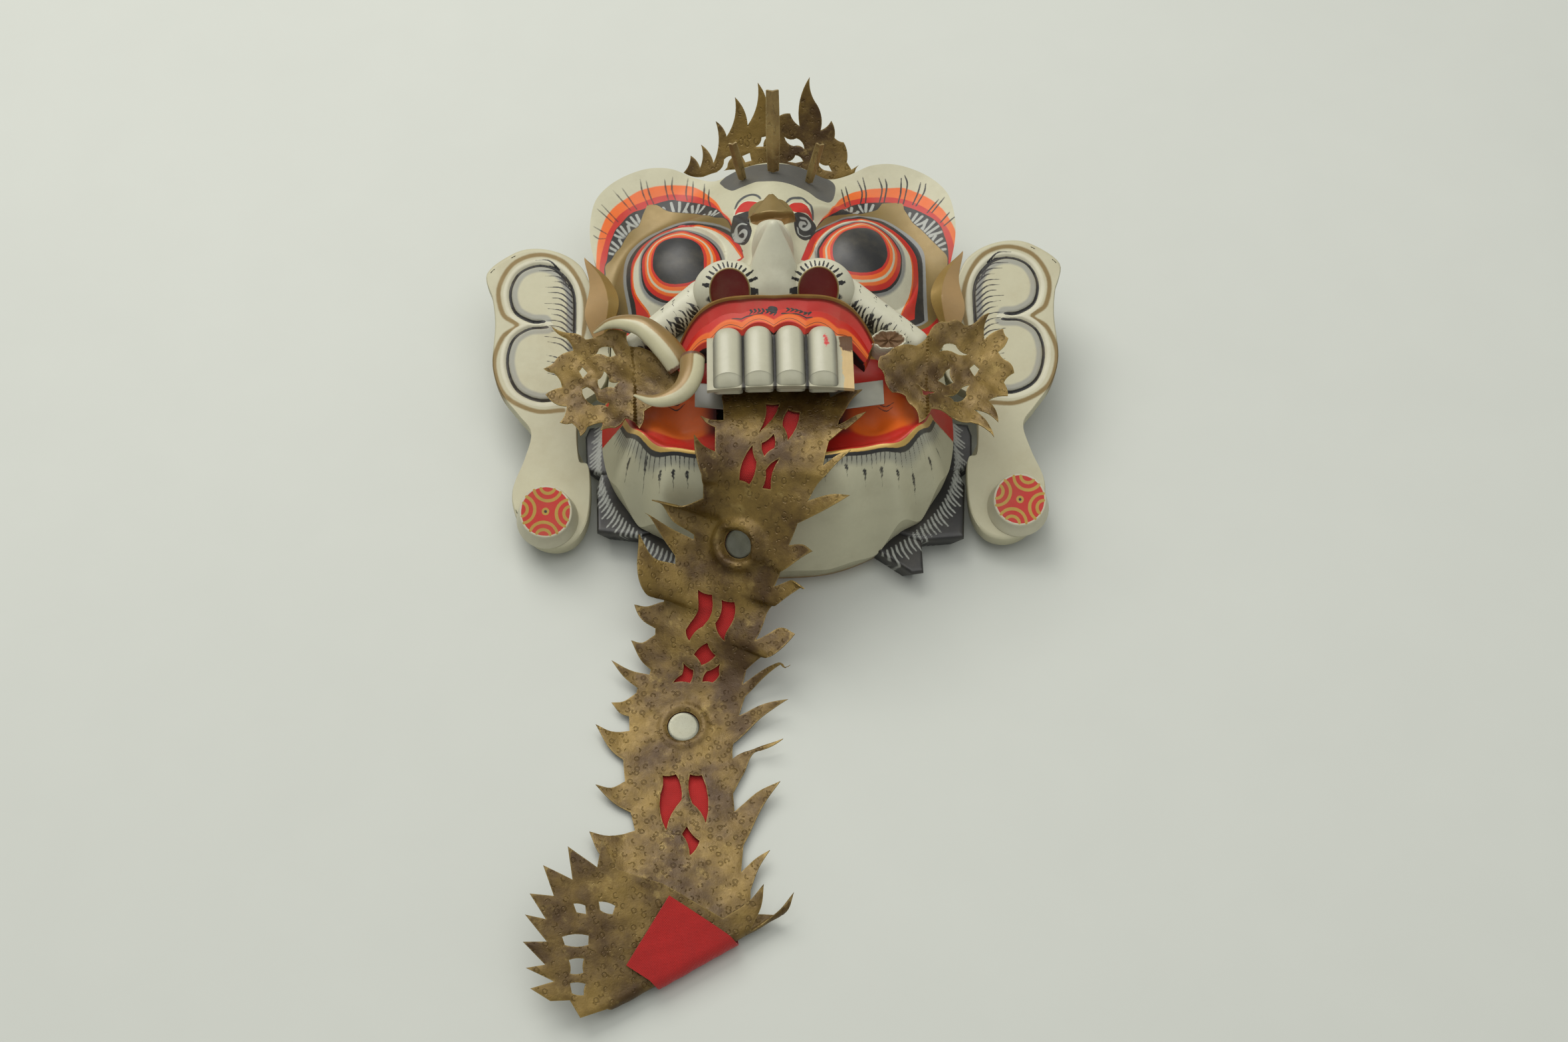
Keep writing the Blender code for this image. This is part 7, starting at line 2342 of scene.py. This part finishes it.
@dataclass
class Tongue:
    """Pierced strip of gilded leather with flame edges, its end folded over, with its cloth and mirrors."""

    spacing: float = 1.7

    @staticmethod
    def relief(t: Array, w: Array) -> Array:
        """Raised cup round the upper glass, ring and scales round the lower, flames curled up."""
        cup = np.hypot(t - BOSS[0], w - BOSS[1])
        low = MIRRORS["mirror_lower"]
        ring = np.hypot(t - low[0], w - low[1])
        lift = BOSS[3] * np.exp(-(((cup - 13.5) / 3.5) ** 2)) + 1.6 * np.exp(-(((ring - 12.5) / 2.6) ** 2))
        angle = np.arctan2(w - low[1], t - low[0])
        scales = 0.5 * np.abs(np.sin(7 * angle)) * np.exp(-(((ring - 18.5) / 2.5) ** 2))
        rays = np.abs(np.sin(9 * np.arctan2(w - BOSS[1], t - BOSS[0])))
        rays = 0.35 * rays * np.exp(-(((cup - 15) / 3) ** 2))
        curl = np.clip(np.abs(w) - 36, 0, None) * 0.22 * ((t > 36) & (t < 350))
        clear = np.clip(-w - 18, 0, None) * 0.45 * smoothstep(50, 70, t) * (1 - smoothstep(150, 175, t))
        dents = 0.3 * np.sin(t * 0.31) * np.sin(w * 0.27 + 0.5)
        return lift + scales + rays + curl + clear + dents

    @staticmethod
    def outline() -> Array:
        """Edge of the strip: flames down both sides and the fan at its end."""
        outline = []
        for start, tip, end in FLAMES_LEFT + [(p, None, None) for p in FAN] + FLAMES_RIGHT:
            start = np.array(start, float)
            if tip is None:
                outline.append(start[None])
                continue
            tip, end = np.array(tip, float), np.array(end, float)
            upper = start + (tip - start) * 0.5 + (end - start) * 0.14
            lower = end + (tip - end) * 0.5 + (end - start) * 0.12
            outline += [spline([start, upper, tip], 4), spline([tip, lower, end], 4)[1:]]
        outline.append(np.array(TONGUE_TOP, float))
        return np.vstack(outline)

    def leather(self, finish: bpy.types.Material) -> None:
        """Cuts the strip, bends it along its path and rolls its end over."""
        theta = np.arange(48) * math.pi / 24
        holes = [curved(cut, 4, 0.08) for cut in CUTS]
        for at in MIRRORS.values():
            radius = at[2] + GAP
            holes.append(np.column_stack([at[0] + radius * np.cos(theta), at[1] + radius * np.sin(theta)]))
        body = leather_sheet(self.outline(), holes, lambda t, w: strip_place(t, w, self.relief(t, w)),
                             self.spacing)
        body.make("tongue_leather", finish, ("tongue",), Slot.LEATHER.value)

    def cloth(self, finish: bpy.types.Material) -> None:
        """Red cloth behind the strip, with a fine weave of threads pushed up and down."""
        start, end, near, far = LINING
        rows, columns = 420, 48
        t, w = np.meshgrid(np.linspace(start, end, rows + 1), np.linspace(near, far, columns + 1),
                           indexing="ij")
        t, w = t.ravel(), w.ravel()
        sag = 0.18 * np.sin(t * 0.5 + 0.8 * np.sin(w * 0.2)) * np.sin(w * 0.35)
        top = strip_place(t, w, sag - LINING_DROP + 0.4)
        low = strip_place(t, w, sag - LINING_DROP - 0.4)
        points = np.vstack([top, low])
        n = len(top)
        face = grid_faces(rows + 1, columns + 1)
        index = np.arange(n).reshape(rows + 1, columns + 1)
        edge = np.concatenate([index[0, :-1], index[:-1, -1], index[-1, :0:-1], index[:0:-1, 0]])
        after = np.roll(edge, -1)
        walls = np.column_stack([after, edge, edge + n, after + n])
        blocks = turned_out(points, [face, face[:, ::-1] + n, walls])
        made = Surface(points, blocks).make("tongue_cloth", finish, ("tongue_lining",), Slot.CLOTH.value)

    @staticmethod
    def glass(name: str, finish: bpy.types.Material) -> None:
        """A round glass set in its ring."""
        along, across, radius, height = MIRRORS[name]
        theta = 2 * math.pi * np.arange(96) / 96
        rings = []
        for lift, share in ((-0.6, 0.98), (-0.6, 1.0), (0.2, 1.0), (0.5, 0.96), (0.58, 0.8), (0.62, 0.5),
                            (0.64, 0.2)):
            rings.append(strip_place(along + radius * share * np.cos(theta),
                                     across + radius * share * np.sin(theta),
                                     np.full(96, lift + height * 0.1)))
        lofted(rings).make(f"{name}_glass", finish, (name,), Slot.GLASS.value)

    def build(self, gilt: bpy.types.Material) -> None:
        """Makes the strip, its cloth and its mirrors."""
        self.leather(gilt)
        self.cloth(Cloth("red_weave").build())
        silver = Glass("old_mirror").build()
        for name in MIRRORS:
            self.glass(name, silver)


@dataclass
class MouthStrip:
    """Stiff pale strip behind the teeth."""

    path: tuple[Point, ...] = ((-50, 34, 89), (-20, 29, 91), (8, 27, 91.5), (36, 29, 90.5), (64, 35, 87))

    def build(self) -> None:
        """Flat rounded section carried along a curve."""
        curve = spline(self.path, 16)
        theta = 2 * math.pi * np.arange(48) / 48
        c, s = np.cos(theta), np.sin(theta)
        wide, thick = (np.sign(v) * np.abs(v) ** 0.5 for v in (c, s))
        section = np.column_stack([np.zeros(48), 9 * wide, 0.5 * thick])
        made, n, shader = new_finish("pale_film")
        n.feed(shader.inputs["Base Color"],
               n.mix(n.noise(60.0, 3.0), srgb(104, 102, 90), srgb(150, 150, 136)))
        n.feed(shader.inputs["Roughness"], n.plus(0.28, n.times(n.noise(40.0), 0.2)))
        lofted([p + section for p in curve]).make("mouth_film", made, ("mouth_strip",), Slot.STRIP.value)


# Stage

@dataclass
class Stage:
    """Pale floor, soft lights and the camera of the reference view."""

    distance: float = 1.5
    elevation: float = 57.0
    yaw: float = 1.3
    lens: float = 54.94
    floor: Colour = srgb(196, 198, 190)

    def lay_floor(self) -> None:
        """A wide pale cloth-like floor under the mask."""
        half = 3.0
        mesh = bpy.data.meshes.new("floor")
        mesh.from_pydata([(-half, -half, 0), (half, -half, 0), (half, half, 0), (-half, half, 0)], [],
                         [(0, 1, 2, 3)])
        made, n, shader = new_finish("floor_paper")
        n.feed(shader.inputs["Base Color"],
               n.group(GROUPS.mottle, Colour=self.floor, Amount=0.05, Scale=2.5).outputs[0])
        shader.inputs["Roughness"].default_value = 0.85
        mesh.materials.append(made)
        plane = bpy.data.objects.new("floor", mesh)
        bpy.context.scene.collection.objects.link(plane)

    @staticmethod
    def lamp(name: str, at: Point, aim: Point, size: float, power: float, colour: Colour) -> None:
        """A square area light that looks at a point."""
        light = bpy.data.lights.new(name, "AREA")
        light.size = size
        light.energy = power
        light.color = colour
        made = bpy.data.objects.new(name, light)
        made.location = at
        made.rotation_euler = (Vector(aim) - Vector(at)).to_track_quat("-Z", "Y").to_euler()
        bpy.context.scene.collection.objects.link(made)

    def light(self) -> None:
        """Soft daylight from above and behind the crown, with a weak fill."""
        self.lamp("window", (-0.7, 1.3, 1.9), (0, 0, 0), 1.6, 36.0, (1.0, 0.985, 0.95))
        self.lamp("ceiling", (0.3, -0.2, 2.6), (0, 0, 0), 2.4, 26.0, (1.0, 1.0, 0.98))
        world = bpy.data.worlds.new("room")
        world.use_nodes = True
        world.node_tree.nodes["Background"].inputs["Color"].default_value = (0.92, 0.95, 0.94, 1.0)
        world.node_tree.nodes["Background"].inputs["Strength"].default_value = 0.42
        bpy.context.scene.world = world

    def aim(self) -> None:
        """Places the camera at the reference angle."""
        data = bpy.data.cameras.new("view")
        data.lens = self.lens
        data.sensor_width = 36.0
        camera = bpy.data.objects.new("view", data)
        up = math.radians(self.elevation)
        turn = math.radians(-self.yaw)
        spin = np.array([[math.cos(turn), -math.sin(turn), 0], [math.sin(turn), math.cos(turn), 0],
                         [0, 0, 1]])
        shift = np.array([0.0, ROW_SHIFT * MM, 0.0])
        offset = np.array([0.003, 0.0, 0.0])
        eye = spin @ (offset + (0.0, -self.distance * math.cos(up), self.distance * math.sin(up))) + shift
        aim = spin @ offset + shift
        camera.location = eye
        camera.rotation_euler = (Vector(aim) - Vector(eye)).to_track_quat("-Z", "Y").to_euler()
        bpy.context.scene.collection.objects.link(camera)
        bpy.context.scene.camera = camera

    def build(self) -> None:
        """Floor, lights and camera."""
        bpy.context.scene.view_settings.view_transform = "Standard"
        self.lay_floor()
        self.light()
        self.aim()


@dataclass
class Mask:
    """All pieces of the mask."""

    def carving(self) -> None:
        """The face and what is carved on it."""
        CarvedFace().build()
        Snout().build()
        hairs = PaintedWood("ridge_paint", BONE, (Coat("hairs", INK), Coat("marks", INK)), roughness=0.44,
                            clear=0.12).build()
        for side in (-1, 1):
            CheekRidge(side).build(hairs)
        UpperJaw().build()
        Teeth().build()
        BeardLocks().build()
        BrokenTusk().build()

    def ears(self) -> None:
        """Ear boards, plugs, leaves and tusks."""
        board = PaintedWood("ear_coat", srgb(182, 177, 148), (
            Coat("gold", srgb(120, 100, 58), soft=0.7, metal=0.3),
            Coat("cream", srgb(196, 192, 168), soft=0.5),
            Coat("shade", INK, soft=1.6, strength=0.7), Coat("grey", SMOKE, soft=0.9, strength=0.7),
            Coat("hair", INK), Coat("ink", INK, soft=0.3)), roughness=0.55, tint=srgb(150, 128, 90),
                            grime=0.2).build()
        plug = PaintedWood("plug_coat", srgb(188, 183, 158), (
            Coat("disc", VERMILION), Coat("gold", srgb(164, 132, 54), metal=0.3, gloss=0.4),
            Coat("hole", INK, soft=0.3)), roughness=0.5).build()
        leaf = PaintedWood("leaf_coat", srgb(166, 134, 88), (
            Coat("fold", srgb(150, 124, 66), soft=0.4, metal=0.35, gloss=0.4),), roughness=0.42, grime=0.15,
                           bump=0.2).build()
        horn = PaintedWood("tusk_coat", srgb(184, 178, 144), (
            Coat("inner", srgb(134, 106, 56), soft=0.6, metal=0.25),
            Coat("root", srgb(92, 54, 22), soft=0.8, wobble=2.0),
        ), roughness=0.36, clear=0.25).build()
        for side, word, turn in ((-1, "left", 0.1), (1, "right", 0.35)):
            Ear(side).build(board)
            EarPlug(word, turn).build(plug)
            TempleLeaf(side).build(leaf)
        Tusk("tusk_upper", (
            (-58, 44, 103, 8.0), (-64, 52, 108, 8.4), (-72, 61, 111, 8.0), (-81, 69, 112, 6.8),
            (-92, 74, 110, 5.2), (-102, 76, 106, 3.4), (-111, 73.5, 101, 0.9)), 0.72).build(horn)
        Tusk("tusk_lower", (
            (-50.5, 43, 114, 7.4), (-51.5, 28, 117, 7.2), (-56, 17, 118, 6.6), (-64, 11, 118, 5.4),
            (-74, 11, 116, 3.6), (-85, 18, 112, 0.9)), 0.8).build(horn)

    def build(self) -> None:
        """Makes every piece."""
        self.carving()
        self.ears()
        gilt = GiltLeather("gilt_hide").build()
        Crest().build(gilt)
        pale = GiltLeather("spike_hide", srgb(158, 136, 84), srgb(196, 180, 130), srgb(100, 76, 36)).build()
        for name, (root, tip, half) in SPIKES.items():
            Spike(name, root, tip, half).build(pale)
        for rosette in ROSETTES:
            rosette.build(gilt)
        Tongue().build(gilt)
        MouthStrip().build()


def main() -> None:
    """Builds the mask on its stage."""
    logging.basicConfig(level=logging.INFO, format="%(name)s: %(message)s")
    Mask().build()
    Stage().build()


if __name__ == "__main__":
    main()
